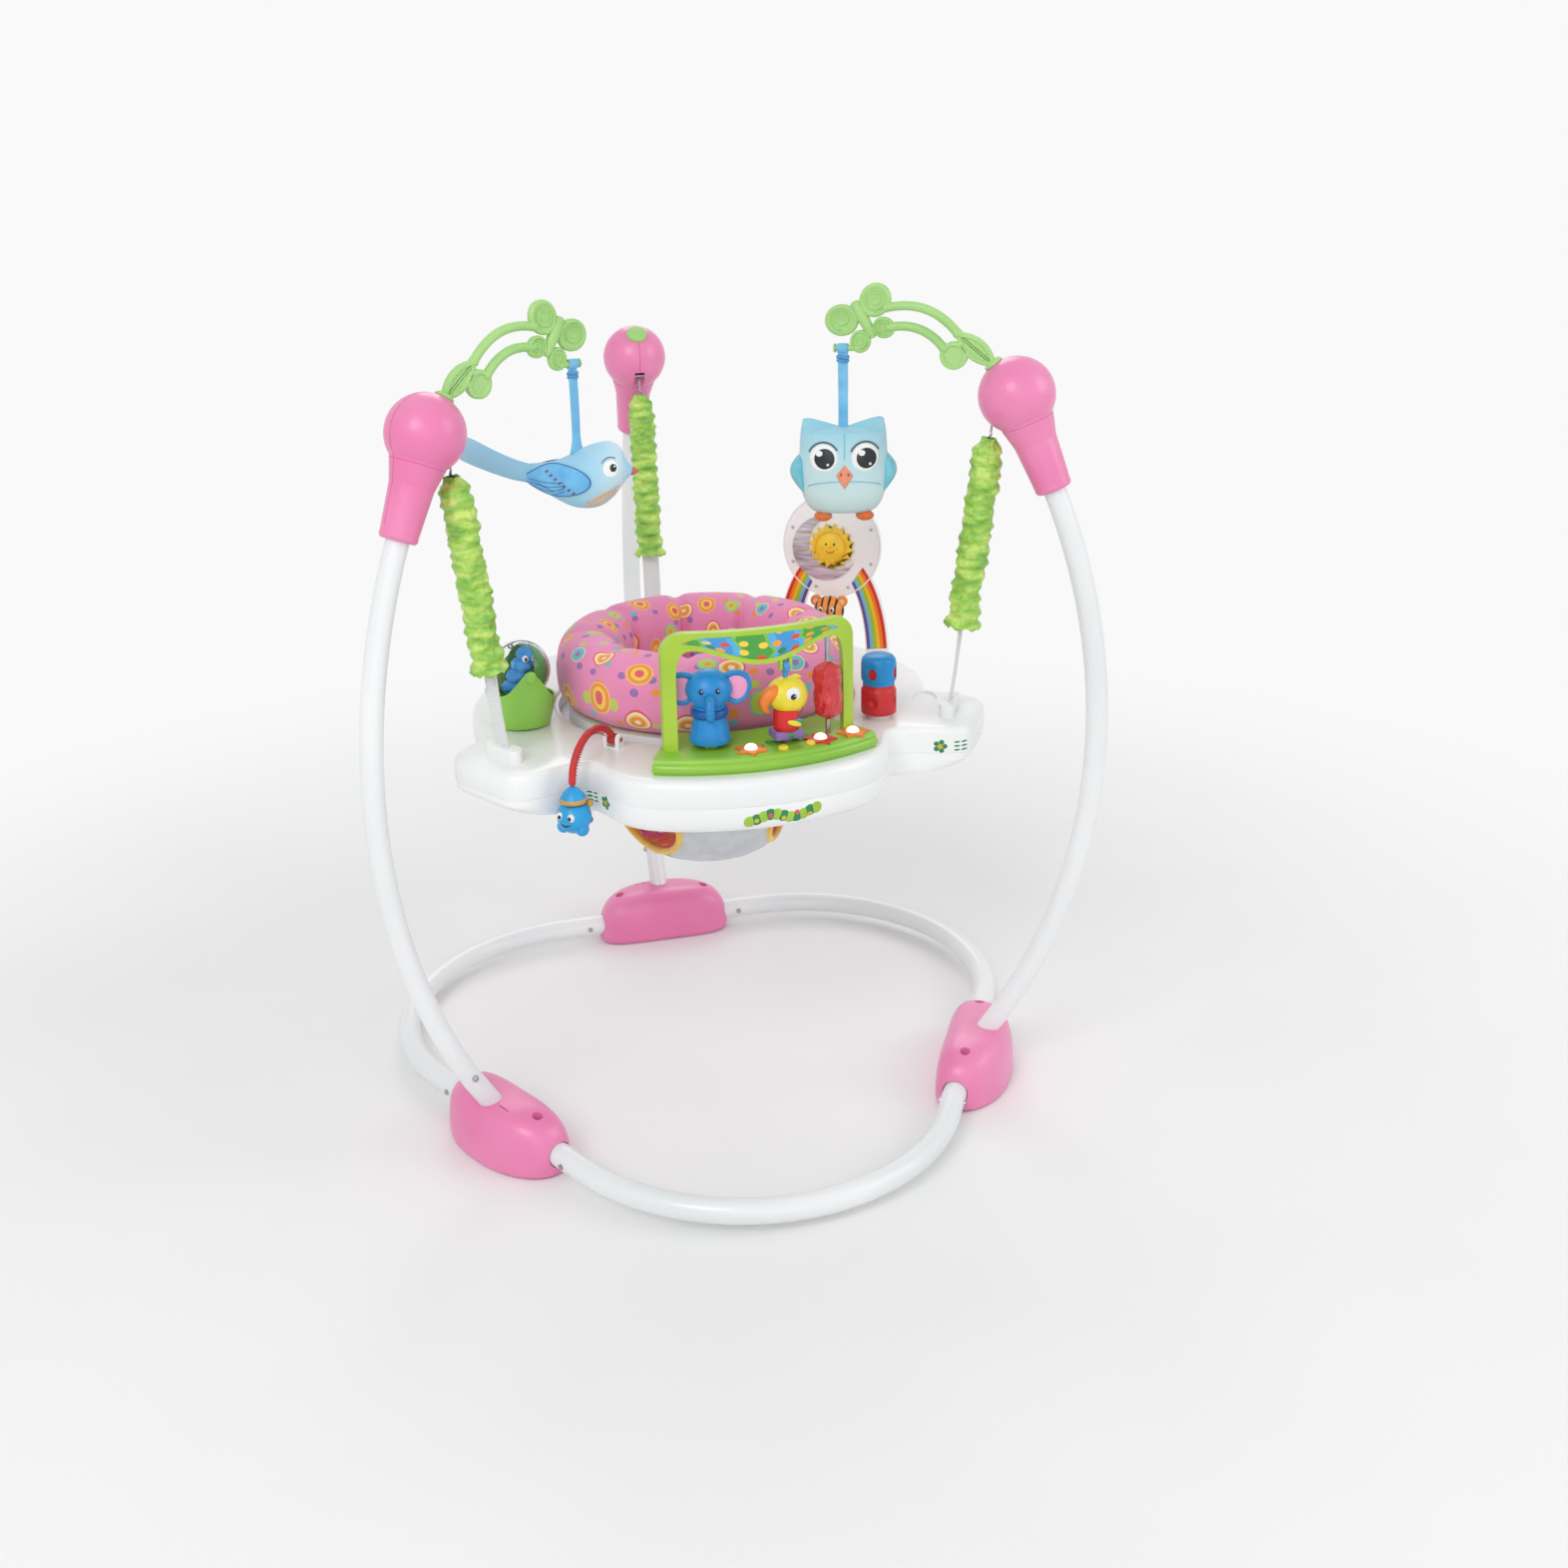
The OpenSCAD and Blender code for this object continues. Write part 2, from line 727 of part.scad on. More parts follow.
// Uprights and the sprung buttons that lock them
module at_snap(az) at_az(az) translate([bow_run_at(snap_bow), 0, bow_h_at(snap_bow)])
    rotate([-90, 0, 0]) children();
module upright(az) color(tube_white) difference() {
    at_az(az) bow_arc(upright_d / 2, low_end, high_end);
    at_az(az) bow_arc(upright_d / 2 - tube_wall, low_end - bow_angle(cut), high_end + bow_angle(cut));
    at_snap(az) cylinder(d = snap_d + 2 * run_gap, h = upright_d);
}
module upright_left() upright(left_az);
module upright_right() upright(right_az);
module upright_rear() upright(rear_az);
module snap_button(az) color(steel) at_snap(az) {
    translate([0, 0, snap_collar_at - snap_collar_t]) cylinder(d = snap_collar_d, h = snap_collar_t);
    translate([0, 0, snap_collar_at - snap_collar_t])
        cylinder(d = snap_d, h = upright_d / 2 + snap_proud - snap_d / 4 - snap_collar_at + snap_collar_t);
    translate([0, 0, upright_d / 2 + snap_proud - snap_d / 4])
        cylinder(d1 = snap_d, d2 = snap_d / 2, h = snap_d / 4);
}
module snap_button_left() snap_button(left_az);
module snap_button_right() snap_button(right_az);
module snap_button_rear() snap_button(rear_az);

// Top housings: a tapered sleeve with a ball, a socket for a toy arm and a slot for the spring
module at_socket() translate([ball_run, 0, ball_h]) rotate([0, -socket_tilt, 0]) children();
module housing(az) color(shell_pink) at_az(az) difference() {
    union() {
        translate([mouth_run, 0, housing_h]) rotate([0, -high_bow, 0]) {
            cylinder(d1 = mouth_d, d2 = neck_d, h = ball_along);
            translate([0, 0, ball_along * flare_from_share])
                cylinder(d1 = mouth_d + (neck_d - mouth_d) * flare_from_share, d2 = ball_d * flare_r_share,
                    h = ball_along * (flare_to_share - flare_from_share));
        }
        translate([ball_run, 0, ball_h]) sphere(r = ball_r);
    }
    bow_arc(upright_d / 2 + fit, high_bow - bow_angle(cut), high_end + bow_angle(fit));
    at_socket() translate([0, 0, ball_r - socket_depth]) cylinder(d = socket_d, h = ball_d);
    translate([pin_run, 0, pin_h]) rotate([90, 0, 0])
        cylinder(d = pin_d + 2 * run_gap, h = 2 * pin_half, center = true);
    translate([pin_run - ball_r, -slot_w / 2, pin_h - ball_r])
        cube([ball_r + pin_d, slot_w, ball_r + pin_d]);
    translate([ball_run, 0, ball_h]) rotate([90, 0, 0]) rotate_extrude()
        translate([ball_r - seam_depth, -seam_w / 2]) square([2 * seam_depth, seam_w]);
}
module housing_left() housing(left_az);
module housing_right() housing(right_az);
module housing_rear() housing(rear_az);
module spring_pins() color(steel) for (az = leg_azs) at_az(az) translate([pin_run, 0, pin_h])
    rotate([90, 0, 0])
    cylinder(d = pin_d, h = 2 * pin_half - 2 * fit, center = true);
module socket_peg() translate([0, 0, ball_r - socket_depth + fit])
    cylinder(d = socket_d - 2 * fit, h = socket_depth);
module socket_cap(d, t) intersection() {
    difference() {
        sphere(r = ball_r + t);
        sphere(r = ball_r + fit);
    }
    cylinder(d = d, h = ball_d);
}
module rear_plug() color(arm_green) at_az(rear_az) at_socket() {
    socket_peg();
    socket_cap(plug_cap_d, plug_cap_t);
}

// Toy arms: a leafy double stem that ends in a butterfly, with a peg for a hanging toy
module plate(t) rotate([90, 0, 0]) translate([0, 0, -t / 2]) linear_extrude(t) children();
module leaf_shape(l, w) {
    r = (l * l / 4 + w * w / 4) / w;
    intersection() {
        translate([0, r - w / 2]) circle(r = r);
        translate([0, w / 2 - r]) circle(r = r);
    }
}
module wings(inset) for (s = [-1, 1]) {
    translate([s * butterfly_span * wing_out_share, butterfly_span * wing_up_share])
        circle(r = wing_r - inset);
    translate([s * butterfly_span * low_wing_out_share, -butterfly_span * low_wing_down_share])
        circle(r = low_wing_r - inset);
}
module leaves(inset) {
    translate(from_ball(leaf_place)) rotate(leaf_angle) leaf_shape(leaf_l - 4 * inset, leaf_w - 2 * inset);
    translate(from_ball(pod_place)) circle(d = pod_d - 2 * inset);
}
module both_faces() for (e = [-1, 1]) translate([0, e * (leaf_t - wing_dish / 2) / 2, 0])
    plate(wing_dish) children();
module knuckle(p) translate([p[0], 0, p[1]]) sphere(d = stem_d * knuckle_share);
module toy_arm(az) color(arm_green) at_az(az) {
    upper_p = from_ball(upper_stem_from);
    lower_p = from_ball(lower_stem_from);
    at_socket() {
        socket_peg();
        socket_cap(arm_collar_d, plug_cap_t);
    }
    difference() {
        plate(leaf_t) leaves(0);
        both_faces() leaves(wing_rim);
        translate([ball_run, 0, ball_h]) sphere(r = ball_r + fit);
    }
    knuckle(upper_p);
    knuckle(lower_p);
    arc_rod(upper_p, [butterfly_run + upper_stem_out, butterfly_h + upper_stem_up], stem_bulge, stem_d);
    arc_rod(lower_p, [butterfly_run + lower_stem_out, butterfly_h - lower_stem_down], low_stem_bulge, stem_d);
    translate([butterfly_run, 0, butterfly_h]) rotate([0, -butterfly_lean, 0]) difference() {
        union() {
            plate(leaf_t) wings(0);
            for (e = [-1, 1]) translate([0, 0, e * butterfly_body_half])
                sphere(r = butterfly_body_r * body_end_share);
            translate([0, 0, -butterfly_body_half])
                cylinder(r = butterfly_body_r, h = 2 * butterfly_body_half);
        }
        both_faces() difference() {
            wings(wing_rim);
            square([2 * butterfly_body_r, butterfly_span], center = true);
        }
    }
    translate([peg_run - peg_l / 2, 0, peg_h]) rotate([0, 90, 0]) cylinder(d = peg_d, h = peg_in + peg_l / 2);
    translate([peg_run - peg_l / 2, 0, peg_h]) rotate([0, -90, 0]) cylinder(d = peg_knob_d, h = eye_wall);
}
module toy_arm_left() toy_arm(left_az);
module toy_arm_right() toy_arm(right_az);

// Suspension: spring, gathered sleeve and strap lie on one line from the pin to the tray
module on_line(az) at_az(az) translate([anchor_run, 0, anchor_h]) rotate([0, lean, 0]) children();
coil_low = spring_low + spring_tail;
coil_high = spring_high - spring_tail;
coil_steps = spring_turns * curl_n;
function coil_point(k) = let (u = k / coil_steps,
    r = coil_r * min(1, min(k, coil_steps - k) / curl_n * 2))
    polar(r, 360 * k / curl_n, coil_low + (coil_high - coil_low) * u);
coil_path = concat([[0, 0, spring_low]], [for (k = [0:coil_steps]) coil_point(k)], [[0, 0, spring_high]]);
function unit(v) = v / norm(v);
function wire_ring(i) = let (
    last = len(coil_path) - 1,
    along = i == 0 || i == last ? [0, 0, 1] : unit(coil_path[i + 1] - coil_path[i - 1]),
    out = polar(1, 360 * min(max(i - 1, 0), coil_steps) / curl_n),
    u = unit(out - (out * along) * along),
    v = cross(along, u))
    [for (j = [0:wire_n - 1]) let (t = 360 * j / wire_n)
        coil_path[i] + wire_d / 2 * (u * cos(t) + v * sin(t))];
least_gap = min([for (i = [0:coil_steps]) for (j = [i + curl_n / 2 + 1:1:coil_steps])
    norm(coil_point(i) - coil_point(j))]) - wire_d;
echo(least_spring_gap = least_gap);
module springs() color(steel) for (az = leg_azs) on_line(az)
    skin([for (i = [0:len(coil_path) - 1]) wire_ring(i)]);
function sleeve_edge(u) = max(0, 1 - min(u, 1 - u) * sleeve_rings / hem_rings);
function sleeve_ring(i) = let (u = i / sleeve_rings, w = 360 * sleeve_gathers * u, e = sleeve_edge(u))
    [for (j = [0:sleeve_sides - 1]) let (t = 360 * j / sleeve_sides,
        fold = gather_share * cos(w) * (1 - e) - pucker_share * sin(sleeve_puckers * t + w / 2),
        r = sleeve_d / 2 * (1 - fold) + sleeve_flare * e)
        polar(r, t, sleeve_low + sleeve_l * u)];
module sleeve(az) color(satin_green) on_line(az) difference() {
    skin([for (i = [0:sleeve_rings]) sleeve_ring(i)]);
    translate([0, 0, sleeve_low - cut]) cylinder(d = spring_d + 2 * seat_gap, h = sleeve_l + 2 * cut);
    translate([0, 0, sleeve_low - cut]) cylinder(d = strap_bore_d,
        h = strap_l - sleeve_low + cut + seat_gap);
}
module sleeve_left() sleeve(left_az);
module sleeve_right() sleeve(right_az);
module sleeve_rear() sleeve(rear_az);
module straps() color(tube_white) for (az = leg_azs) on_line(az) translate([-strap_t / 2, -strap_w / 2, 0])
    cube([strap_t, strap_w, strap_l]);

// Tray: two lobed shells that meet at a parting line round the skirt
function top_profile(r) = let (w = tray_wall, e = tray_edge_r) [
    [r, parting_z], [r, tray_z - e], [r - e * (1 - cos(45)), tray_z - e * (1 - sin(45))], [r - e, tray_z],
    [tray_hole_r + w, tray_z], [tray_hole_r, tray_z - w], [tray_hole_r, parting_z],
    [tray_hole_r + w, parting_z], [tray_hole_r + w, tray_z - w - w / 2],
    [r - e, tray_z - w], [r - w - (e - w) * (1 - cos(45)), tray_z - w - (e - w) * (1 - sin(45))],
    [r - w, tray_z - e], [r - w, parting_z]];
module tray_top() color(tray_white) difference() {
    lathe_skin([for (i = [0:tray_n - 1]) top_profile(tray_r(-360 * i / tray_n))], tray_n);
    at_az(snack_az) translate([snack_run, 0, tray_z - snack_depth]) {
        for (s = [-1, 1]) translate([0, s * (snack_l - snack_w) / 2, 0]) cylinder(d = snack_w, h = tray_h);
        translate([-snack_w / 2, -(snack_l - snack_w) / 2, 0]) cube([snack_w, snack_l - snack_w, tray_h]);
    }
}
function bottom_profile(r, lift) = let (w = tray_wall, top = parting_z - parting_gap,
    z = tray_floor_z + lift,
    o = r - parting_step, mid = (top + z) / 2, low = z + (mid - z) * skirt_low_share,
    belly = o - skirt_in * skirt_mid_share, toe = o - skirt_in * skirt_toe_share) [
    [o - skirt_in, z], [toe, low], [belly, mid], [o, top],
    [o - w, top], [belly - w, mid + w / 2], [toe - w, low + w], [o - skirt_in - w / 2, z + w],
    [tray_hole_r, tray_floor_z + w], [tray_hole_r, tray_floor_z]];
module tray_bottom() color(tray_white)
    lathe_skin([for (i = [0:tray_n - 1]) let (a = -360 * i / tray_n)
        bottom_profile(tray_r(a), arm_raise * pow(arms_at(a), 2))], tray_n);
module seat_track() color(tray_white) rotate_extrude($fn = 144) {
    translate([track_in_r, tray_floor_z]) square([track_wall, tray_h - tray_wall - fit]);
    translate([ledge_r, ledge_z - ledge_t]) square([track_in_r - ledge_r + track_wall / 2, ledge_t]);
}
module battery_cover() color(tray_white) at_az(front_az)
    translate([(tray_hole_r + tray_disc_r) / 2, 0, tray_floor_z - board_t - fit]) {
        translate([-snack_w / 2, -snack_l, 0]) cube([snack_w, 2 * snack_l, board_t]);
        for (s = [-1, 1]) translate([0, s * snack_l * cover_screw_share, -screw_head_h / 2])
            cylinder(d = screw_recess_d, h = screw_head_h / 2 + board_t / 2);
    }

// Fittings on the tray: strap anchors, the post of the drum and the fork of the stalk
module strap_anchor() difference() {
    union() {
        translate([-anchor_w / 2, -anchor_l / 2, tray_z]) cube([anchor_w, anchor_l, anchor_up]);
        for (s = [-1, 1]) translate([0, s * anchor_l / 2, tray_z]) cylinder(d = anchor_w, h = anchor_up);
    }
    translate([0, 0, anchor_h]) rotate([0, lean, 0])
        translate([-strap_t / 2 - fit, -strap_w / 2 - fit, -fit])
        cube([strap_t + 2 * fit, strap_w + 2 * fit, anchor_l]);
}
module at_stalk() at_az(stalk_az) translate([stalk_run, 0, tray_z + lug_up]) children();
module tray_fittings() color(tray_white) {
    for (az = leg_azs) at_az(az) translate([anchor_run, 0, 0]) strap_anchor();
    at_az(drum_az) translate([drum_run, 0, tray_z]) {
        cylinder(d = drum_foot_d, h = drum_foot_h);
        cylinder(d = drum_post_d, h = drum_h);
    }
    at_az(stalk_az) translate([stalk_run, 0, tray_z]) fork(hub_d, hub_w, lug_up);
    at_stalk() translate([-hub_d / 2, -hub_w / 2 - seat_gap - lug_t, -lug_up])
        cube([hub_d, hub_w + 2 * (seat_gap + lug_t), board_t]);
}

// Seat: a track in the tray, a ring that turns in it, a stuffed bolster and a cloth sling with leg holes
module seat_ring() color(tray_white) rotate_extrude($fn = 144) {
    translate([ring_in_r, ring_low]) square([seat_ring_wall, tray_z + seat_gap - ring_low]);
    translate([ring_in_r + seat_ring_wall / 2, ledge_z + seat_gap])
        square([flange_r - ring_in_r - seat_ring_wall / 2, flange_t]);
    translate([bolster_r - shelf_in, sling_rim_z + seat_gap])
        square([ring_in_r + seat_ring_wall / 2 - bolster_r + shelf_in, sling_rim_drop]);
}
function channel_at(a) = let (step = 360 / bolster_channels,
    off = abs(turn(a * bolster_channels) / bolster_channels))
    exp(-pow(off / step * channel_sharp, 2));
function pad_section(a) = let (k = 1 - channel_depth / bolster_w * 2 * channel_at(a))
    [for (j = [0:pad_section_n - 1]) let (t = 360 * (j + 0.5) / pad_section_n)
        [bolster_r + k * bolster_w / 2 * signed_pow(cos(t), pad_round),
        bolster_z + bolster_h / 2 * (1 + k * signed_pow(sin(t), pad_round))]];
module seat_pad() color(cloth_pink) lathe_skin([for (i = [0:pad_n - 1]) pad_section(-360 * i / pad_n)],
    pad_n);
function sling_at(u) = [sling_foot_r + (sling_top_r - sling_foot_r) * pow(u, sling_curve),
    sling_z + (ring_low - sling_z) * u];
module sling_section(grow) {
    low = [for (i = [0:sling_steps]) sling_at(i / sling_steps)];
    outer = [for (p = low) p + [grow, -grow]];
    inner = [for (i = [sling_steps:-1:0]) low[i] + [-sling_t - grow, sling_t + grow]];
    polygon(concat([[0, sling_z - grow]], outer, [[sling_top_r + grow, sling_rim_z]],
        [[sling_top_r - sling_t - grow, sling_rim_z]], inner, [[0, sling_z + sling_t + grow]]));
}
module leg_holes() for (s = [-1, 1]) at_az(front_az + s * leg_az_off) translate([0, 0, leg_hole_z])
    rotate([0, 90 + leg_tilt, 0]) children();
module seat_sling() color(cloth_pink) difference() {
    rotate_extrude($fn = 96) sling_section(0);
    leg_holes() cylinder(d = leg_hole_d, h = tray_disc_r);
}
module sling_binding() color(toy_yellow) intersection() {
    rotate_extrude($fn = 96) sling_section(binding_proud);
    leg_holes() difference() {
        cylinder(d = leg_hole_d - 2 * seat_gap, h = tray_disc_r);
        cylinder(d = leg_hole_d - 2 * seat_gap - 2 * binding_w, h = tray_disc_r);
    }
}

// Play station: a hollow base on the tray, an arch with a panel, lamps, buttons and the sound unit inside
module at_station(off, run) at_az(station_az + off) translate([run, 0, station_z]) children();
function sector_angle(l, r) = l / r * 180 / PI;
module station_sector(in_r, out_r, half, low, high, edge) at_az(station_az - half)
    rotate_extrude(angle = 2 * half, $fn = 180) polygon([[in_r, low], [out_r, low], [out_r, high - edge],
        [out_r - edge * (1 - cos(45)), high - edge * (1 - sin(45))], [out_r - edge, high],
        [in_r + edge, high], [in_r + edge * (1 - cos(45)), high - edge * (1 - sin(45))],
        [in_r, high - edge]]);
module fork(d, w, up) {
    for (s = [-1, 1]) translate([0, s * (w / 2 + seat_gap + lug_t / 2) + lug_t / 2, up]) rotate([90, 0, 0])
        difference() {
            union() {
                cylinder(d = d, h = lug_t);
                translate([-d / 2, -up, 0]) cube([d, up, lug_t]);
            }
            translate([0, 0, -cut]) cylinder(d = hub_pin_d + 2 * run_gap, h = lug_t + 2 * cut);
        }
}
module hub(d, w) rotate([90, 0, 0]) {
    cylinder(d = d, h = w, center = true);
    cylinder(d = hub_pin_d, h = w + 2 * (seat_gap + lug_t), center = true);
}
module station_base() color(station_green) {
    difference() {
        station_sector(station_in_r, station_out_r, station_half, tray_z, station_z, station_edge);
        station_sector(station_in_r + station_wall, station_out_r - station_wall,
            station_half - sector_angle(station_wall, station_in_r),
            tray_z - cut, station_z - station_wall, station_wall);
        for (o = button_offs) at_station(o, button_run) translate([0, 0, -station_h])
            cylinder(d = button_d + 2 * run_gap, h = 2 * station_h);
        at_station(spinner_off, arch_r) translate([0, 0, -station_h])
            cylinder(d = axle_d + 2 * run_gap, h = 2 * station_h);
    }
    at_station(elephant_off, toy_run) rotate([0, 0, 90]) fork(hub_d, hub_w, lug_up);
}
arch_half_w = arch_r * sin(station_half - sector_angle(station_edge, arch_r));
arch_in_w = arch_half_w - arch_leg_w;
function arch_low(y) = let (s = abs(y) / arch_in_w)
    (arch_h - arch_thin - (arch_panel_d - arch_thin) * pow(cos(90 * s), 2))
    * pow(1 - pow(s, arch_corner), 1 / arch_corner);
module arch_front() difference() {
    union() {
        translate([-arch_half_w, 0]) square([2 * arch_half_w, arch_h - arch_round]);
        translate([arch_round - arch_half_w, 0]) square([2 * (arch_half_w - arch_round), arch_h]);
        for (s = [-1, 1]) translate([s * (arch_half_w - arch_round), arch_h - arch_round])
            circle(r = arch_round);
    }
    polygon(concat([[arch_in_w, -cut], [-arch_in_w, -cut]],
        [for (i = [-arch_n:arch_n]) let (y = arch_in_w * sin(90 * i / arch_n)) [y, max(0, arch_low(y))]]));
}
module station_arch() color(arch_lime) {
    difference() {
        at_az(station_az) translate([0, 0, station_z]) intersection() {
            rotate([90, 0, 90]) linear_extrude(2 * arch_r) arch_front();
            difference() {
                cylinder(r = arch_r + arch_t / 2, h = arch_h, $fn = 180);
                translate([0, 0, -cut]) cylinder(r = arch_r - arch_t / 2, h = arch_h + 2 * cut, $fn = 180);
            }
        }
        at_station(spinner_off, arch_r) cylinder(d = axle_d + 2 * run_gap,
            h = arch_h - arch_thin / 2 + fit);
    }
    at_station(parrot_off, arch_r) translate([0, 0, parrot_pivot]) {
        for (s = [-1, 1])
            translate([-axle_d / 2, s * (hook_w / 2 + seat_gap) + (s - 1) / 2 * hook_lug_t, -axle_d / 2])
            cube([axle_d, hook_lug_t, parrot_lug_up]);
        rotate([90, 0, 0])
            cylinder(d = axle_d * hook_pin_share, h = hook_w + 2 * seat_gap + hook_lug_t, center = true);
    }
}
module lamp_lenses() color("white") for (i = [0:len(lamp_offs) - 1])
    at_station(lamp_offs[i], lamp_runs[i]) {
    intersection() {
        sphere(d = lamp_d);
        cylinder(d = lamp_d, h = lamp_d);
    }
    cylinder(d = lamp_d * lamp_rim_share, h = lamp_rim_h);
}
module sound_module() color([0.2, 0.5, 0.3]) {
    half = station_half - 2 * sector_angle(station_wall, station_in_r);
    at_az(station_az - half) rotate_extrude(angle = 2 * half, $fn = 180)
        translate([station_in_r + 2 * station_wall, tray_z + fit])
        square([station_out_r - station_in_r - 4 * station_wall, board_t]);
    at_station(elephant_off / 2, toy_run) translate([0, 0, fit + board_t - station_h])
        cylinder(d = speaker_d, h = speaker_h);
}
module button(off) color(toy_yellow) at_station(off, button_run) {
    foot = board_t + fit + button_travel + board_gap - station_h;
    translate([0, 0, foot]) cylinder(d = button_d, h = button_proud - button_round - foot);
    translate([0, 0, button_proud - button_round])
        cylinder(d1 = button_d, d2 = button_d - 2 * button_round, h = button_round);
    translate([0, 0, -station_wall - seat_gap - button_flange_t])
        cylinder(d = button_flange_d, h = button_flange_t);
}
module button_left() button(button_offs[0]);
module button_right() button(button_offs[1]);

// Toys of the station
module elephant() color(toy_blue) at_station(elephant_off, toy_run) translate([0, 0, lug_up]) {
    rotate([0, 0, 90]) hub(hub_d, hub_w);
    rotate_extrude() polygon([[0, 0], [hub_w * neck_share, 0], [hub_w * neck_share, elephant_body_up],
        [skirt_in_r, elephant_body_up], [skirt_in_r, -skirt_drop], [skirt_r, -skirt_drop],
        [body_r, scarf_z],
        [body_r + scarf_proud, scarf_z + scarf_h * scarf_edge_share],
        [body_r + scarf_proud, scarf_z + scarf_h * (1 - scarf_edge_share)],
        [body_r, scarf_z + scarf_h], [0, scarf_z + scarf_h]]);
    translate([0, 0, elephant_head_up]) {
        sphere(d = elephant_head_d);
        for (s = [-1, 1]) translate([-ear_thick, s * elephant_ear_at, ear_rise]) rotate([0, 90, 0])
            cylinder(d = elephant_ear_d, h = ear_thick);
        translate([elephant_head_d / 2 - trunk_d / 2, 0, -trunk_bend]) rotate([90, 0, 0])
            rotate_extrude(angle = 110, start = -20) translate([trunk_bend, 0]) circle(d = trunk_d);
    }
}
module parrot() color(toy_yellow) at_station(parrot_off, arch_r) {
    translate([0, 0, parrot_pivot]) difference() {
        rotate([90, 0, 0]) cylinder(d = hook_d, h = hook_w, center = true);
        rotate([90, 0, 0]) cylinder(d = axle_d * hook_pin_share + 2 * run_gap, h = 2 * hook_w,
            center = true);
    }
    translate([0, 0, parrot_crown - hook_sink])
        cylinder(d = hook_w * joint_share,
            h = parrot_pivot - hook_d / 2 + hook_sink / 2 - parrot_crown + hook_sink);
    translate([0, 0, parrot_head_up]) {
        sphere(d = parrot_head_d);
        translate([beak_ahead, -beak_aside, -beak_drop]) rotate([0, 90, 0])
            rotate_extrude(angle = 180, start = 90) translate([beak_d / 3, 0]) circle(d = beak_d / 2);
    }
    translate([0, 0, parrot_low])
        cylinder(d1 = parrot_foot_d, d2 = parrot_neck_d, h = parrot_head_up - parrot_low);
    translate([-parrot_step_d / 2, -parrot_step_l / 2, parrot_low])
        cube([parrot_step_d, parrot_step_l, parrot_step_h]);
}
function spinner_r(u) = spinner_d / 2 * pow(sin(spinner_cap + (180 - 2 * spinner_cap) * u), spinner_round)
    * (spinner_waist_share + (1 - spinner_waist_share) * pow(sin(spinner_waves * 180 * u), 2));
module spinner() color(toy_red) at_station(spinner_off, arch_r) {
    translate([0, 0, -station_wall - axle_in])
        cylinder(d = axle_d, h = station_wall + axle_in + arch_h - arch_thin / 2 - fit);
    difference() {
        translate([0, 0, spinner_low]) rotate_extrude() polygon(concat([[0, 0]],
            [for (i = [0:spinner_n]) [spinner_r(i / spinner_n), spinner_h * i / spinner_n]],
            [[0, spinner_h]]));
        for (k = [0:spinner_flutes - 1]) rotate([0, 0, 360 * k / spinner_flutes])
            translate([spinner_d / 2 + flute_out, 0, 0]) cylinder(d = flute_d, h = arch_h);
    }
}

// Toys of the tray
module globe_place() at_az(globe_az) translate([globe_run, 0, tray_z]) children();
module globe_cup() color(station_green) globe_place() difference() {
    union() {
        cylinder(d1 = cup_foot_d, d2 = cup_d, h = cup_h);
        for (s = [-1, 1]) translate([0, s * (globe_d / 2 + seat_gap + globe_rub + ear_t / 2) + ear_t / 2, 0])
            rotate([90, 0, 0]) {
                translate([0, globe_up, 0]) cylinder(d = ear_w, h = ear_t);
                translate([-ear_w / 2, cup_h / 2, 0]) cube([ear_w, globe_up - cup_h / 2, ear_t]);
            }
    }
    translate([0, 0, globe_up]) sphere(r = globe_d / 2 + globe_rub);
    translate([0, 0, globe_up]) rotate([90, 0, 0])
        cylinder(d = globe_pin_d + 2 * run_gap, h = 2 * cup_d, center = true);
}
module globe() color([0.9, 0.95, 1, 0.4]) globe_place() translate([0, 0, globe_up]) difference() {
    union() {
        sphere(d = globe_d);
        rotate([90, 0, 0]) cylinder(d = globe_pin_d, h = globe_d + 2 * (globe_rub + seat_gap + ear_t),
            center = true);
    }
    sphere(d = globe_d - 2 * globe_wall);
}
module globe_figure() color(toy_blue) globe_place() translate([0, 0, globe_up]) intersection() {
    translate([0, 0, -figure_r]) {
        cylinder(r1 = figure_r * figure_foot_share, r2 = figure_r * figure_neck_share,
            h = figure_r * figure_body_share);
        translate([0, 0, figure_r * figure_face_share]) sphere(r = figure_r * figure_head_share);
        for (s = [-1, 1]) translate([0, s * figure_r * figure_ear_share, figure_r * figure_top_share])
            sphere(r = figure_r * figure_ear_share / 2);
    }
    sphere(r = figure_r);
}
module drum() color(toy_red) at_az(drum_az) translate([drum_run, 0, tray_z + drum_foot_h + seat_gap])
    difference() {
    rotate_extrude() polygon(concat([[0, 0]],
        [for (i = [0:len(drum_level_shares) - 1]) [drum_d / 2 * drum_width_shares[i],
            drum_h * drum_level_shares[i]]],
        [[0, drum_h]]));
    translate([0, 0, -cut]) cylinder(d = drum_post_d + 2 * run_gap, h = cut + drum_h - drum_foot_h);
    for (k = [0:3]) rotate([0, 0, 90 * k]) translate([drum_dimple_run, 0, drum_dimple_up])
        sphere(d = drum_dimple_d);
}
module at_tower() at_az(tower_az) translate([tower_run, 0, tray_z]) rotate([0, 0, tower_face - tower_az])
    children();
module oval(w, h) polygon([for (i = [0:oval_n - 1]) let (t = 360 * i / oval_n)
    [w / 2 * cos(t), h / 2 * sin(t)]]);
module facing(t) rotate([90, 0, 90]) linear_extrude(t) children();
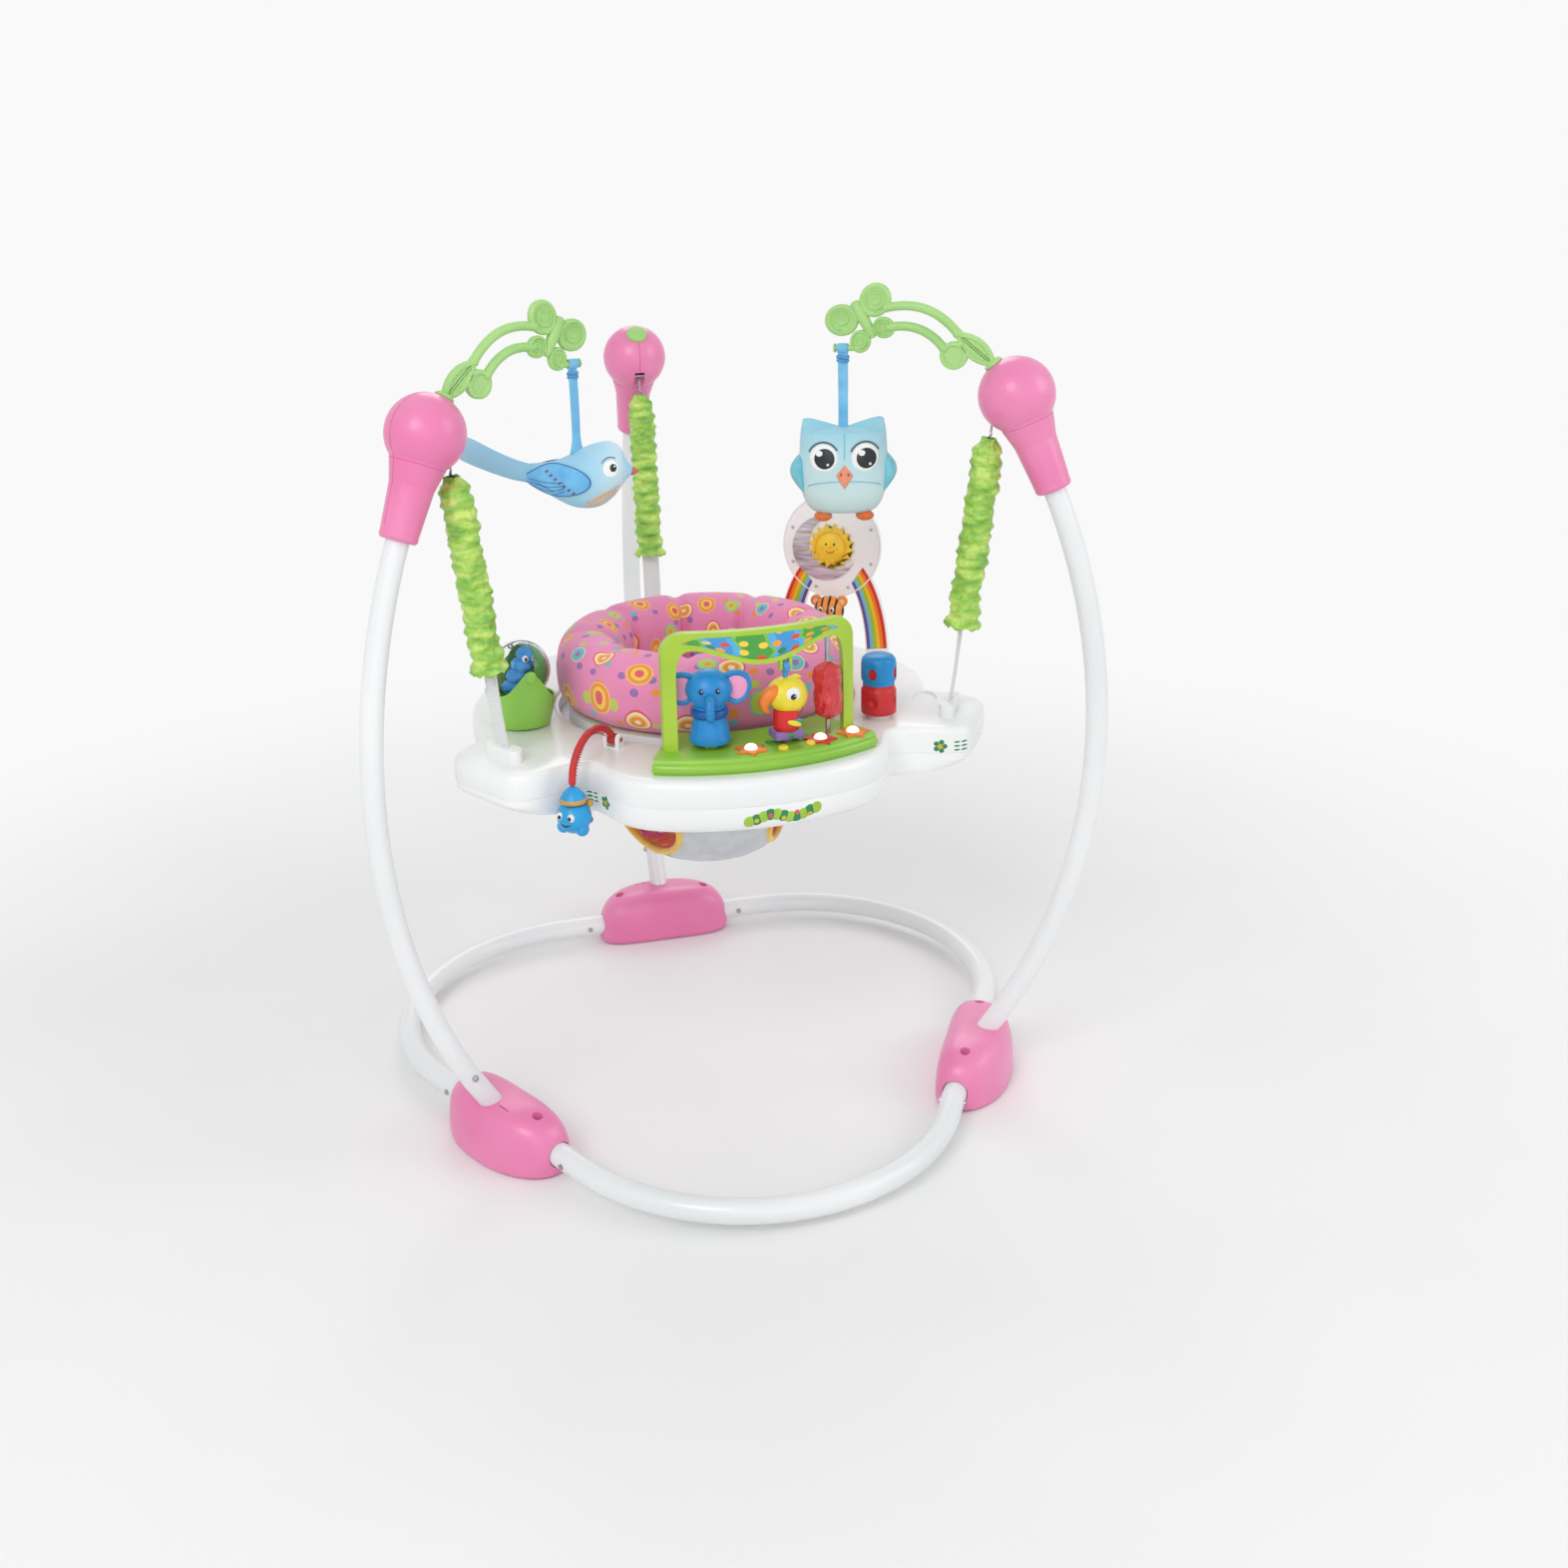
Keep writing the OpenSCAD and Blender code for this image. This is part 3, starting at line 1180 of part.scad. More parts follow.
module sun_tower() color(tray_white) at_tower() difference() {
    union() {
        translate([-tower_leg_t / 2, 0, 0]) facing(tower_leg_t) intersection() {
            difference() {
                oval(2 * tower_spread + tower_leg_w, 2 * sun_up);
                oval(2 * tower_spread - tower_leg_w, 2 * (sun_up - tower_leg_w));
            }
            translate([-tower_spread - tower_leg_w, 0]) square([2 * (tower_spread + tower_leg_w), sun_up]);
        }
        translate([-panel_t / 2, 0, sun_up]) facing(panel_t) oval(panel_w, panel_w * panel_tall_share);
        for (s = [-1, 1]) translate([-tower_foot_w / 2, s * tower_spread - tower_leg_w / 2, 0])
            cube([tower_foot_w, tower_leg_w, tower_foot_h]);
    }
    translate([0, 0, sun_up]) rotate([0, 90, 0]) cylinder(d = sun_pin_d + 2 * run_gap, h = 2 * panel_w,
        center = true);
}
module moon_mirror() color([0.75, 0.77, 0.8]) at_tower()
    translate([panel_t / 2, 0, sun_up]) facing(mirror_t)
    difference() {
        translate([-moon_off, -moon_low]) circle(r = moon_r);
        translate([moon_bite_off, moon_low]) circle(r = sun_d / 2 + moon_gap);
    }
module sun() color(toy_yellow) at_tower() translate([0, 0, sun_up]) {
    translate([panel_t / 2 + seat_gap, 0, 0]) facing(sun_t) polygon([for (i = [0:2 * sun_rays - 1])
        let (r = sun_d / 2 * (i % 2 == 0 ? 1 : sun_dip_share), t = 180 * i / sun_rays)
        [r * cos(t), r * sin(t)]]);
    translate([-panel_t / 2, 0, 0]) rotate([0, 90, 0])
        cylinder(d = sun_pin_d, h = panel_t + seat_gap + sun_t / 2);
}
module tiger() color([0.95, 0.55, 0.15]) at_tower() translate([tiger_ahead, 0, 0]) {
    cylinder(d1 = tiger_d, d2 = tiger_neck_d, h = tiger_up - tiger_head_d / 2);
    translate([0, 0, tiger_up - tiger_head_d / 2]) sphere(d = tiger_head_d);
    for (s = [-1, 1]) translate([-ear_thick / 2, s * tiger_ear_at, tiger_up - tiger_ear_drop])
        rotate([0, 90, 0])
        cylinder(d = tiger_ear_d, h = ear_thick);
}
module stalk() color(toy_red) at_stalk() {
    hub(hub_d, hub_w);
    arc_rod([stalk_reach, -stalk_fall], [0, 0], stalk_bulge, stalk_d);
    translate([stalk_reach, 0, -stalk_fall]) sphere(d = stalk_d * tip_share);
}
module stalk_creature() color(toy_blue) at_stalk()
    translate([stalk_reach, 0, -stalk_fall - stalk_d / 2 - fit]) {
    translate([0, 0, -creature_cap_h]) cylinder(d1 = creature_neck_d, d2 = stalk_d, h = creature_cap_h);
    translate([0, 0, -creature_collar]) cylinder(d = creature_neck_d, h = creature_band_h);
    translate([0, 0, -creature_collar - creature_drop]) sphere(d = creature_d);
    for (s = [-1, 1]) translate([0, s * creature_paw_at, -creature_collar - creature_paw_drop])
        sphere(d = creature_paw_d);
}

// Stuffed toys on the arms
module at_peg(az) at_az(az) translate([peg_run, 0, peg_h]) children();
module toy_strap(az) color(bird_blue) at_peg(az) {
    difference() {
        rotate([0, 90, 0]) cylinder(d = peg_d + 2 * (run_gap + eye_wall), h = toy_strap_w, center = true);
        rotate([0, 90, 0]) cylinder(d = peg_d + 2 * run_gap, h = 2 * toy_strap_w, center = true);
    }
    translate([-toy_strap_w / 2, -toy_strap_t / 2, -toy_strap_l])
        cube([toy_strap_w, toy_strap_t, toy_strap_l - peg_d / 2 - eye_wall / 2]);
}
module bird_strap() toy_strap(left_az);
module owl_strap() toy_strap(right_az);
owl_level_shares = [0, 0.04, 0.15, 0.35, 0.6, 0.8, 0.92, 0.98, 1];
owl_width_shares = [0.35, 0.55, 0.86, 1, 0.98, 0.92, 0.86, 0.74, 0.45];
owl_ear_shares = [0, 0, 0, 0, 0, 0, 0.35, 1, 0];
owl_round = 0.85;
function owl_point(i, t, grow, z0) = let (
    w = owl_w / 2 * owl_width_shares[i] + grow,
    d = owl_w / 2 * owl_depth_share * owl_width_shares[i] + grow)
    [w * signed_pow(cos(t), owl_round), d * signed_pow(sin(t), owl_round),
    z0 + owl_h * owl_level_shares[i] + owl_ear_h * owl_ear_shares[i] * pow(abs(cos(t)), owl_tuft)];
owl_low = -toy_strap_l - seat_gap - owl_h;
module owl_body() color(owl_blue) at_peg(right_az) rotate([0, 0, owl_turn])
    skin([for (i = [0:len(owl_level_shares) - 1])
        [for (j = [0:owl_n - 1]) owl_point(i, 360 * j / owl_n, 0, owl_low)]]);
wing_levels = [2, 3, 4, 5];
wing_swell_shares = [0.25, 1, 0.9, 0.2];
wing_half = 45;
module owl_wings() color(bird_blue) at_peg(right_az) rotate([0, 0, owl_turn]) for (side = [0, 180])
    skin([for (k = [0:len(wing_levels) - 1]) concat(
        [for (j = [-wing_n:wing_n]) let (a = wing_half * j / wing_n)
            owl_point(wing_levels[k], side + a,
                wing_gap + wing_t * wing_swell_shares[k] * cos(wing_fall * j / wing_n), owl_low)],
        [for (j = [wing_n:-1:-wing_n])
            owl_point(wing_levels[k], side + wing_half * j / wing_n, wing_gap, owl_low)])]);
bird_along_shares = [0.5, 0.4, 0.22, 0, -0.18, -0.32, -0.42, -0.46, -0.5, -0.56];
bird_size_shares = [0.26, 0.5, 0.84, 1, 0.94, 0.78, 0.5, 0.25, 0.16, 0.03];
bird_rise_shares = [0.26, 0.16, 0.03, -0.04, 0.02, 0.07, 0.07, 0.06, 0.05, 0.03];
bird_back_share = 0.46;
bird_middle = -toy_strap_l - seat_gap - bird_h * bird_back_share;
module bird_body() color(bird_blue) at_peg(left_az) rotate([0, 0, bird_turn]) translate([0, 0, bird_middle])
    skin([for (i = [0:len(bird_along_shares) - 1]) [for (j = [0:bird_n - 1]) let (t = 360 * j / bird_n)
        [bird_l * bird_along_shares[i], -bird_h / 2 * bird_deep_share * bird_size_shares[i] * cos(t),
        bird_h * (bird_rise_shares[i] + bird_size_shares[i] / 2 * sin(t))]]]);
tail_along_shares = [1, 0.9, 0.6, 0.3, 0];
tail_high_shares = [0.14, 0.24, 0.21, 0.2, 0.2];
tail_rise_shares = [0.52, 0.46, 0.34, 0.28, 0.26];
tail_wide_shares = [0.3, 0.4, 0.7, 1, 1.3];
module bird_tail() color(bird_blue) at_peg(left_az) rotate([0, 0, bird_turn])
    translate([bird_l / 2 + seat_gap, 0, bird_middle])
    skin([for (i = [0:len(tail_along_shares) - 1]) [for (j = [0:tail_n - 1]) let (t = 360 * j / tail_n)
        [bird_tail_l * tail_along_shares[i], -bird_h / 2 * tail_deep_share * tail_wide_shares[i] * cos(t),
        bird_h * (tail_rise_shares[i] + tail_high_shares[i] / 2 * sin(t))]]]);

placed() base_tube_front();
placed() base_tube_right();
placed() base_tube_left();
placed() foot_left();
placed() foot_right();
placed() foot_rear();
placed() foot_screws();
placed() tube_pins();
placed() upright_left();
placed() upright_right();
placed() upright_rear();
placed() housing_left();
placed() housing_right();
placed() housing_rear();
placed() rear_plug();
placed() toy_arm_left();
placed() toy_arm_right();
placed() springs();
placed() sleeve_left();
placed() sleeve_right();
placed() sleeve_rear();
placed() spring_pins();
placed() snap_button_left();
placed() snap_button_right();
placed() snap_button_rear();
placed() tray_top();
placed() tray_bottom();
placed() seat_track();
placed() straps();
placed() tray_fittings();
placed() battery_cover();
placed() station_base();
placed() station_arch();
placed() lamp_lenses();
placed() sound_module();
placed() sun_tower();
placed() moon_mirror();
placed() globe_cup();
placed() tiger();
placed() seat_ring();
placed() seat_pad();
placed() seat_sling();
placed() sling_binding();
placed() elephant();
placed() parrot();
placed() spinner();
placed() button_left();
placed() button_right();
placed() globe();
placed() globe_figure();
placed() stalk();
placed() stalk_creature();
placed() drum();
placed() sun();
placed() bird_body();
placed() bird_tail();
placed() bird_strap();
placed() owl_body();
placed() owl_wings();
placed() owl_strap();
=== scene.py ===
import math

import bmesh
import bpy
from mathutils import Matrix, Vector, noise
from mathutils.bvhtree import BVHTree


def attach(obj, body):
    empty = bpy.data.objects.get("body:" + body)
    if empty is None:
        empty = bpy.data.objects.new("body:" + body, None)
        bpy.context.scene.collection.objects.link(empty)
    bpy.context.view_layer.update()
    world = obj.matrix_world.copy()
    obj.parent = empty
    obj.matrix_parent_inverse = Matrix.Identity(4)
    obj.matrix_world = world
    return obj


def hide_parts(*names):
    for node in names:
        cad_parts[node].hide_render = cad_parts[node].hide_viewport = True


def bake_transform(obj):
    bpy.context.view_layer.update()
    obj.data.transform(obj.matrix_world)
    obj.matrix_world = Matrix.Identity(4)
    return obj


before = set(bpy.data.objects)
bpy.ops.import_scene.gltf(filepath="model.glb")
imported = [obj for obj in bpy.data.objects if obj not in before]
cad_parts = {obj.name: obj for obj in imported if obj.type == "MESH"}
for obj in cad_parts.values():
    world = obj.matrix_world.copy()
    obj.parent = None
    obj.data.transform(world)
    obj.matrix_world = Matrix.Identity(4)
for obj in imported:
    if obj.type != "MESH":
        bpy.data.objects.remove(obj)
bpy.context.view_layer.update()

# Base tubes: three steel tubes, bent through the corners of a rounded triangle and coated white.
# Their ends are pushed into the feet and locked by steel cross pins, which stand proud on both sides.


def tint(red, green, blue):
    """Screen colour, 0 to 255, as the renderer's own light values."""
    shares = [c / 255 for c in (red, green, blue)]
    return (*(s / 12.92 if s < 0.04045 else ((s + 0.055) / 1.055) ** 2.4 for s in shares), 1)


def add_node(tree, kind, inputs, **settings):
    made = tree.nodes.new("ShaderNode" + kind)
    for name, value in settings.items():
        setattr(made, name, value)
    for socket, value in inputs.items():
        if isinstance(value, bpy.types.NodeSocket):
            tree.links.new(value, made.inputs[socket])
        else:
            made.inputs[socket].default_value = value
    return made


def colour_bar(tree, factor, stops, interpolation="LINEAR"):
    made = add_node(tree, "ValToRGB", {"Fac": factor})
    bar = made.color_ramp
    bar.interpolation = interpolation
    bar.elements.remove(bar.elements[1])
    for k, (position, colour) in enumerate(stops):
        stop = bar.elements[0] if k == 0 else bar.elements.new(position)
        stop.position = position
        stop.color = colour
    return made.outputs["Color"]


def new_finish(name, **sockets):
    finish = bpy.data.materials.new(name)
    finish.use_nodes = True
    shader = finish.node_tree.nodes["Principled BSDF"]
    for socket, value in sockets.items():
        shader.inputs[socket.replace("_", " ")].default_value = value
    return finish, finish.node_tree, shader


def object_place(tree):
    return add_node(tree, "TexCoord", {}).outputs["Object"]


def noise_at(tree, place, scale, detail=2):
    return add_node(tree, "TexNoise", {"Vector": place, "Scale": scale, "Detail": detail}).outputs["Fac"]


def in_range(tree, value, low, high):
    return add_node(tree, "MapRange", {"Value": value, "To Min": low, "To Max": high}).outputs["Result"]


def raised(tree, shader, height, distance, strength=1.0):
    made = add_node(tree, "Bump", {"Height": height, "Strength": strength, "Distance": distance})
    tree.links.new(made.outputs["Normal"], shader.inputs["Normal"])


def painted(tree, shader, colour):
    tree.links.new(colour, shader.inputs["Base Color"])


def clouds(tree, place, scale, detail, dark, light, edge=0.3):
    """Colour that drifts in clouds between a dark and a light tint."""
    return colour_bar(tree, noise_at(tree, place, scale, detail), [(edge, dark), (1 - edge, light)])


def moulded(name, light, dark, roughness, grain, depth, cloud, **sockets):
    """Moulded or coated surface: cloudy colour, and a fine grain in its gloss and its face."""
    finish, tree, shader = new_finish(name, **sockets)
    place = object_place(tree)
    painted(tree, shader, clouds(tree, place, cloud, 2, dark, light, 0.32))
    speck = noise_at(tree, place, grain, 3)
    tree.links.new(in_range(tree, speck, roughness - 0.07, roughness + 0.09), shader.inputs["Roughness"])
    raised(tree, shader, speck, depth)
    return finish


def dress(finish, *nodes):
    for node in nodes:
        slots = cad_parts[node].data.materials
        slots.clear()
        slots.append(finish)


enamel = moulded("white_tube_enamel", tint(240, 242, 243), tint(229, 233, 234), 0.3, 260, 0.00005, 5, Coat_Weight=0.25)
steel = moulded("turned_steel", tint(188, 190, 194), tint(160, 163, 168), 0.32, 1500, 0.00002, 40, Metallic=1.0)
dress(enamel, "base_tube_front", "base_tube_right", "base_tube_left")
dress(steel, "tube_pins")

# Feet: bean-shaped shells of pink plastic, moulded in two halves and screwed together from above.
# Two base tubes enter at the ends and an upright stands in the top, beside a narrow moulding slit.

axis_y = -0.02525
left_leg, right_leg, rear_leg = 210, 330, 90
leg_names = {left_leg: "left", right_leg: "right", rear_leg: "rear"}
tube_height = 0.022
tube_run = 0.290


def turn_z(azimuth):
    return Matrix.Rotation(math.radians(azimuth), 4, "Z")


def turn_y(angle):
    return Matrix.Rotation(math.radians(angle), 4, "Y")


def turn_x(angle):
    return Matrix.Rotation(math.radians(angle), 4, "X")


def at(x, y, z):
    return Matrix.Translation((x, y, z))


def leg_frame(azimuth):
    """Frame of one leg: x runs outwards from the middle, z is up."""
    return at(0, axis_y, 0) @ turn_z(azimuth)


def draped(across, along, place):
    """Grid laid over the form that place(u, v) gives, with its own UV map; edges that meet are merged."""
    shape = bmesh.new()
    shape.loops.layers.uv.new("lay")
    bmesh.ops.create_grid(shape, x_segments=across, y_segments=along, size=1, calc_uvs=True)
    for corner in shape.verts:
        corner.co = place((corner.co.x + 1) / 2, (corner.co.y + 1) / 2)
    bmesh.ops.remove_doubles(shape, verts=shape.verts, dist=1e-6)
    return shape


def turned(profile, count=48):
    """Profile of (radius, height) points, spun once round the z axis."""
    shape = bmesh.new()
    corners = [shape.verts.new((radius, 0, height)) for radius, height in profile]
    edges = [shape.edges.new(pair) for pair in zip(corners, corners[1:])]
    bmesh.ops.spin(shape, geom=corners + edges, cent=(0, 0, 0), axis=(0, 0, 1), angle=math.tau,
                   steps=count, use_merge=True)
    bmesh.ops.remove_doubles(shape, verts=shape.verts, dist=1e-6)
    return shape


def rod(radius, low, high, count, top=None):
    """Closed round rod, or a cone that has another radius at its top."""
    return turned([(0, low), (radius, low), (top or radius, high), (0, high)], count)


def put(shape, place):
    bmesh.ops.transform(shape, matrix=place, verts=shape.verts)
    return shape


def make_piece(name, parts, body=None, crease=50, outwards=True):
    """One piece from shapes with their finishes; its place is in its mesh."""
    whole = bmesh.new()
    finishes = []
    for shape, finish in parts:
        if outwards:
            bmesh.ops.recalc_face_normals(shape, faces=shape.faces)
        if finish not in finishes:
            finishes.append(finish)
        for face in shape.faces:
            face.material_index = finishes.index(finish)
            face.smooth = True
        part = bpy.data.meshes.new(name)
        shape.to_mesh(part)
        shape.free()
        whole.from_mesh(part)
        bpy.data.meshes.remove(part)
    mesh = bpy.data.meshes.new(name)
    whole.to_mesh(mesh)
    whole.free()
    for finish in finishes:
        mesh.materials.append(finish)
    mesh.set_sharp_from_angle(angle=math.radians(crease))
    made = bpy.data.objects.new(name, mesh)
    bpy.context.scene.collection.objects.link(made)
    if body:
        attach(made, body)
    return made


def rounder(made, levels):
    smooth = made.modifiers.new("round", "SUBSURF")
    smooth.levels = smooth.render_levels = levels
    return made


def freeze(made):
    """Takes the result of a piece's modifiers as its own mesh."""
    bpy.context.view_layer.update()
    done = bpy.data.meshes.new_from_object(made.evaluated_get(bpy.context.evaluated_depsgraph_get()))
    made.modifiers.clear()
    made.data = done
    return made


def carve(made, cutters):
    """Cuts closed shapes out of a piece."""
    for cutter in cutters:
        tool = make_piece("cutter", [(cutter, made.data.materials[0])])
        cut = made.modifiers.new("cut", "BOOLEAN")
        cut.object = tool
        cut.solver = "EXACT"
        freeze(made)
        bpy.data.objects.remove(tool)
    made.data.set_sharp_from_angle(angle=math.radians(40))
    return made


pink_shell = moulded("pink_shell_plastic", tint(240, 143, 188), tint(233, 122, 174), 0.33, 900, 0.00003, 9,
                     Coat_Weight=0.15, Subsurface_Weight=0.08, Subsurface_Radius=(0.004, 0.002, 0.003))
foot_size = Vector((0.076, 0.170, 0.062))
foot_middle, foot_curl = 0.302, 0.012
foot_sections = ((0, 0), (0.5, 0), (0.93, 0), (0.985, 0.03), (1, 0.1), (0.995, 0.32), (0.965, 0.55), (0.9, 0.74),
                 (0.79, 0.87), (0.64, 0.955), (0.42, 0.995), (0.2, 1), (0, 1))
tube_bore, tube_reach, bore_deep = 0.0134, 0.043, 0.08
screw_bore, screw_run, screw_along, screw_seat, well_deep = 0.0045, 0.296, 0.0555, 0.0405, 0.03
slit_spot, slit_size = (0.3144, 0.024, 0.0625), (0.0016, 0.016, 0.006)


def squared_off(value, power):
    """Raises a value to a power and keeps its sign; a power below 1 squares a round form off."""
    return math.copysign(abs(value) ** power, value)


def foot_place(u, v):
    size, level = foot_sections[round(v * (len(foot_sections) - 1))]
    along = foot_size.y / 2 * size * squared_off(math.sin(u * math.tau), 0.8)
    out = foot_middle + foot_size.x / 2 * size * squared_off(math.cos(u * math.tau), 0.8)
    return Vector((out - foot_curl * (2 * along / foot_size.y) ** 2, along, foot_size.z * level))


for azimuth, name in leg_names.items():
    leg = leg_frame(azimuth)
    foot = draped(48, len(foot_sections) - 1, foot_place)
    shell = rounder(make_piece("foot_shell_" + name, [(put(foot, leg), pink_shell)]), 1)
    freeze(shell)
    cutters = []
    for side in (-1, 1):
        bore = rod(tube_bore, 0, bore_deep, 40)
        cutters.append(put(bore, leg @ at(tube_run, side * tube_reach, tube_height) @ turn_x(-90 * side)))
        well = rod(screw_bore, 0, well_deep, 32, screw_bore * 1.35)
        cutters.append(put(well, leg @ at(screw_run, side * screw_along, screw_seat)))
    slit = bmesh.new()
    bmesh.ops.create_cube(slit, size=1)
    put(slit, leg @ at(*slit_spot) @ Matrix.Diagonal((*slit_size, 1)))
    carve(shell, cutters + [slit])
    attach(shell, "frame")
    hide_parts("foot_" + name)
dress(steel, "foot_screws")

# Uprights: three steel tubes bowed outwards, coated like the base tubes, that stand in the feet.
# A sprung steel button near the foot of each snaps out through a hole and locks it.

dress(enamel, "upright_left", "upright_right", "upright_rear")
dress(steel, "snap_button_left", "snap_button_right", "snap_button_rear")

# Top housings: pink ball-ended sleeves, moulded in two halves, that cap the uprights.
# Each has a socket for a toy arm on top, and a slot with a steel pin that carries a spring.

ball_run, ball_height = 0.32526, 0.74429
mouth_run, mouth_height, mouth_lean = 0.36315, 0.655, 22.993
mouth_radius = 0.0176
socket_tilt = 38

dress(pink_shell, "housing_left", "housing_right", "housing_rear")
dress(steel, "spring_pins")
for azimuth, name in leg_names.items():
    bead = turned([(0.0113, 0.0004), (0.0116, -0.0012), (0.0135, -0.0019), (0.0162, -0.0016), (mouth_radius, 0.0004),
                   (mouth_radius + 0.0005, 0.0022), (mouth_radius + 0.0002, 0.0036), (0.0168, 0.0044)])
    put(bead, leg_frame(azimuth) @ at(mouth_run, 0, mouth_height) @ turn_y(-mouth_lean))
    rim = make_piece("housing_mouth_" + name, [(bead, pink_shell)], "frame")


def surface_of(made):
    """Surface of a piece, to lay other pieces on."""
    mesh = made.data
    return BVHTree.FromPolygons([corner.co for corner in mesh.vertices], [face.vertices for face in mesh.polygons])


def steps(count, low=0.0, high=1.0):
    return [low + (high - low) * k / count for k in range(count + 1)]


def strand(points, radius, closed=False, radii=None, sides=3):
    """Round strand along a line of points."""
    line = bpy.data.curves.new("strand", "CURVE")
    line.dimensions = "3D"
    line.bevel_depth = radius
    line.bevel_resolution = sides
    line.use_fill_caps = True
    run = line.splines.new("POLY")
    run.points.add(len(points) - 1)
    for k, point in enumerate(points):
        run.points[k].co = (*point, 1)
        run.points[k].radius = radii[k] if radii else 1
    run.use_cyclic_u = closed
    holder = bpy.data.objects.new("strand", line)
    mesh = bpy.data.meshes.new_from_object(holder)
    shape = bmesh.new()
    shape.from_mesh(mesh)
    bmesh.ops.remove_doubles(shape, verts=shape.verts, dist=1e-6)
    bpy.data.objects.remove(holder)
    bpy.data.curves.remove(line)
    bpy.data.meshes.remove(mesh)
    return shape


# Parting lines: thin strands laid along the real seams of the housing. Their pink, darker than the shell's, is painted
# shade of the crease where the halves meet.
crease_shade_pink = moulded("pink_parting_line_painted_shade", tint(216, 104, 158), tint(206, 94, 148), 0.45, 900, 0.00003, 9)
seam_radius, waist_down, slot_half, sleeve_reach = 0.0003, 0.0285, 42, 0.097
waist_line = steps(60, slot_half - 180, 180 - slot_half)
sleeve_line, crown_line, front_line = steps(24, 0.9, 0.0), steps(24, 0, 78), steps(12, 2, 26)
for azimuth, name in leg_names.items():
    skin = surface_of(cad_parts["housing_" + name])
    ball = leg_frame(azimuth) @ at(ball_run, 0, ball_height) @ turn_y(-mouth_lean)

    def on_housing(out, down):
        """Point of the housing that lies in the direction out, seen from a point of its axis."""
        middle = ball @ Vector((0, 0, -down))
        away = ball.to_3x3() @ Vector(out).normalized()
        return skin.ray_cast(middle + away * 0.1, -away)[0]
    sleeve = [on_housing((1, 0, 0), t * sleeve_reach) for t in sleeve_line]
    crown = [on_housing((math.cos(math.radians(a)), 0, math.sin(math.radians(a))), 0) for a in crown_line]
    front = [on_housing((-math.cos(math.radians(a)), 0, math.sin(math.radians(a))), 0) for a in front_line]
    waist = [on_housing((math.cos(math.radians(a)), math.sin(math.radians(a)), 0), waist_down) for a in waist_line]
    lines = [(strand(line, seam_radius, sides=1), crease_shade_pink) for line in (sleeve + crown[1:], front, waist)]
    seams = make_piece("housing_seams_" + name, lines, "frame")
arm_plastic = moulded("green_arm_plastic", tint(174, 219, 138), tint(158, 206, 121), 0.48, 800, 0.00005, 16,
                      Subsurface_Weight=0.06, Subsurface_Radius=(0.002, 0.003, 0.002))
dress(arm_plastic, "rear_plug")

# Toy arms: one green moulding each, a pointed and a round leaf with raised rims, two bowed stems and a butterfly.
# A peg under the butterfly's wing carries a stuffed toy; the foot of the arm is plugged into the housing.


def plaque(outline, thick, corners=48, rim=0.0, dish=0.0, edge=0.0):
    """Flat moulding across y: outline(t) gives its x and z; both faces may be dished inside a raised rim."""
    shape = bmesh.new()
    ring = bmesh.ops.create_circle(shape, cap_ends=True, segments=corners, radius=1)["verts"]
    for k, corner in enumerate(ring):
        x, z = outline(k / corners)
        corner.co = (x, -thick / 2, z)
    grown = bmesh.ops.extrude_face_region(shape, geom=list(shape.faces))["geom"]
    bmesh.ops.translate(shape, vec=(0, thick, 0), verts=[g for g in grown if isinstance(g, bmesh.types.BMVert)])
    bmesh.ops.recalc_face_normals(shape, faces=shape.faces)
    faces = [face for face in shape.faces if len(face.verts) > 4]
    if edge:
        rims = {side for face in faces for side in face.edges}
        bmesh.ops.bevel(shape, geom=list(rims), offset=edge, segments=3, profile=0.5, affect="EDGES", material=-1)
        faces = [face for face in shape.faces if len(face.verts) > 4]
    if rim:
        bmesh.ops.inset_individual(shape, faces=faces, thickness=rim)
        bmesh.ops.inset_individual(shape, faces=faces, thickness=dish * 0.7, depth=-dish)
    return shape


def bowed(start, end, bulge):
    """Points of an arc from start to end, in x and z, that rises by bulge."""
    start, end = Vector((start[0], 0, start[1])), Vector((end[0], 0, end[1]))
    rise = Vector((end.z - start.z, 0, start.x - end.x)).normalized() * bulge
    return [start.lerp(end, t) + rise * 4 * t * (1 - t) for t in steps(20)]


def ellipse(wide, tall):
    return lambda t: (wide * math.cos(t * math.tau), tall * math.sin(t * math.tau))


def polar(radius, turn, height):
    return Vector((radius * math.cos(turn), radius * math.sin(turn), height))


def blob(place, size, fine=24):
    """Ball stretched to its three half sizes."""
    shape = bmesh.new()
    bmesh.ops.create_uvsphere(shape, u_segments=fine + 8, v_segments=fine, radius=1)
    return put(shape, place @ Matrix.Diagonal((*size, 1)))


leaf_thick, leaf_rim, leaf_dish, leaf_edge = 0.0072, 0.0026, 0.0016, 0.0012
leaf_half = (0.023, 0.0105)
leaf_place, leaf_angle = (0.040, 0.043), 140.5
pod_place, pod_radius = (0.061, 0.037), 0.0135
upper_from, lower_from = (0.0575, 0.0576), (0.071, 0.044)
stem_radius = 0.0045
butterfly_run, butterfly_height, butterfly_lean = 0.176, 0.81546, 30
wing_lobes = ((0.0191, 0.0105, 0.0159), (0.0133, -0.01645, 0.0106))
peg_run, peg_height, peg_radius = 0.155, 0.78816, 0.003
peg_tip, peg_root = peg_run - 0.007, peg_run + 0.017


def from_ball(place):
    return ball_run - place[0], ball_height + place[1]


def leaf_outline(t):
    along = math.cos(t * math.tau)
    return leaf_half[0] * along, leaf_half[1] * math.sin(t * math.tau) * (1 - 0.28 * along * along)


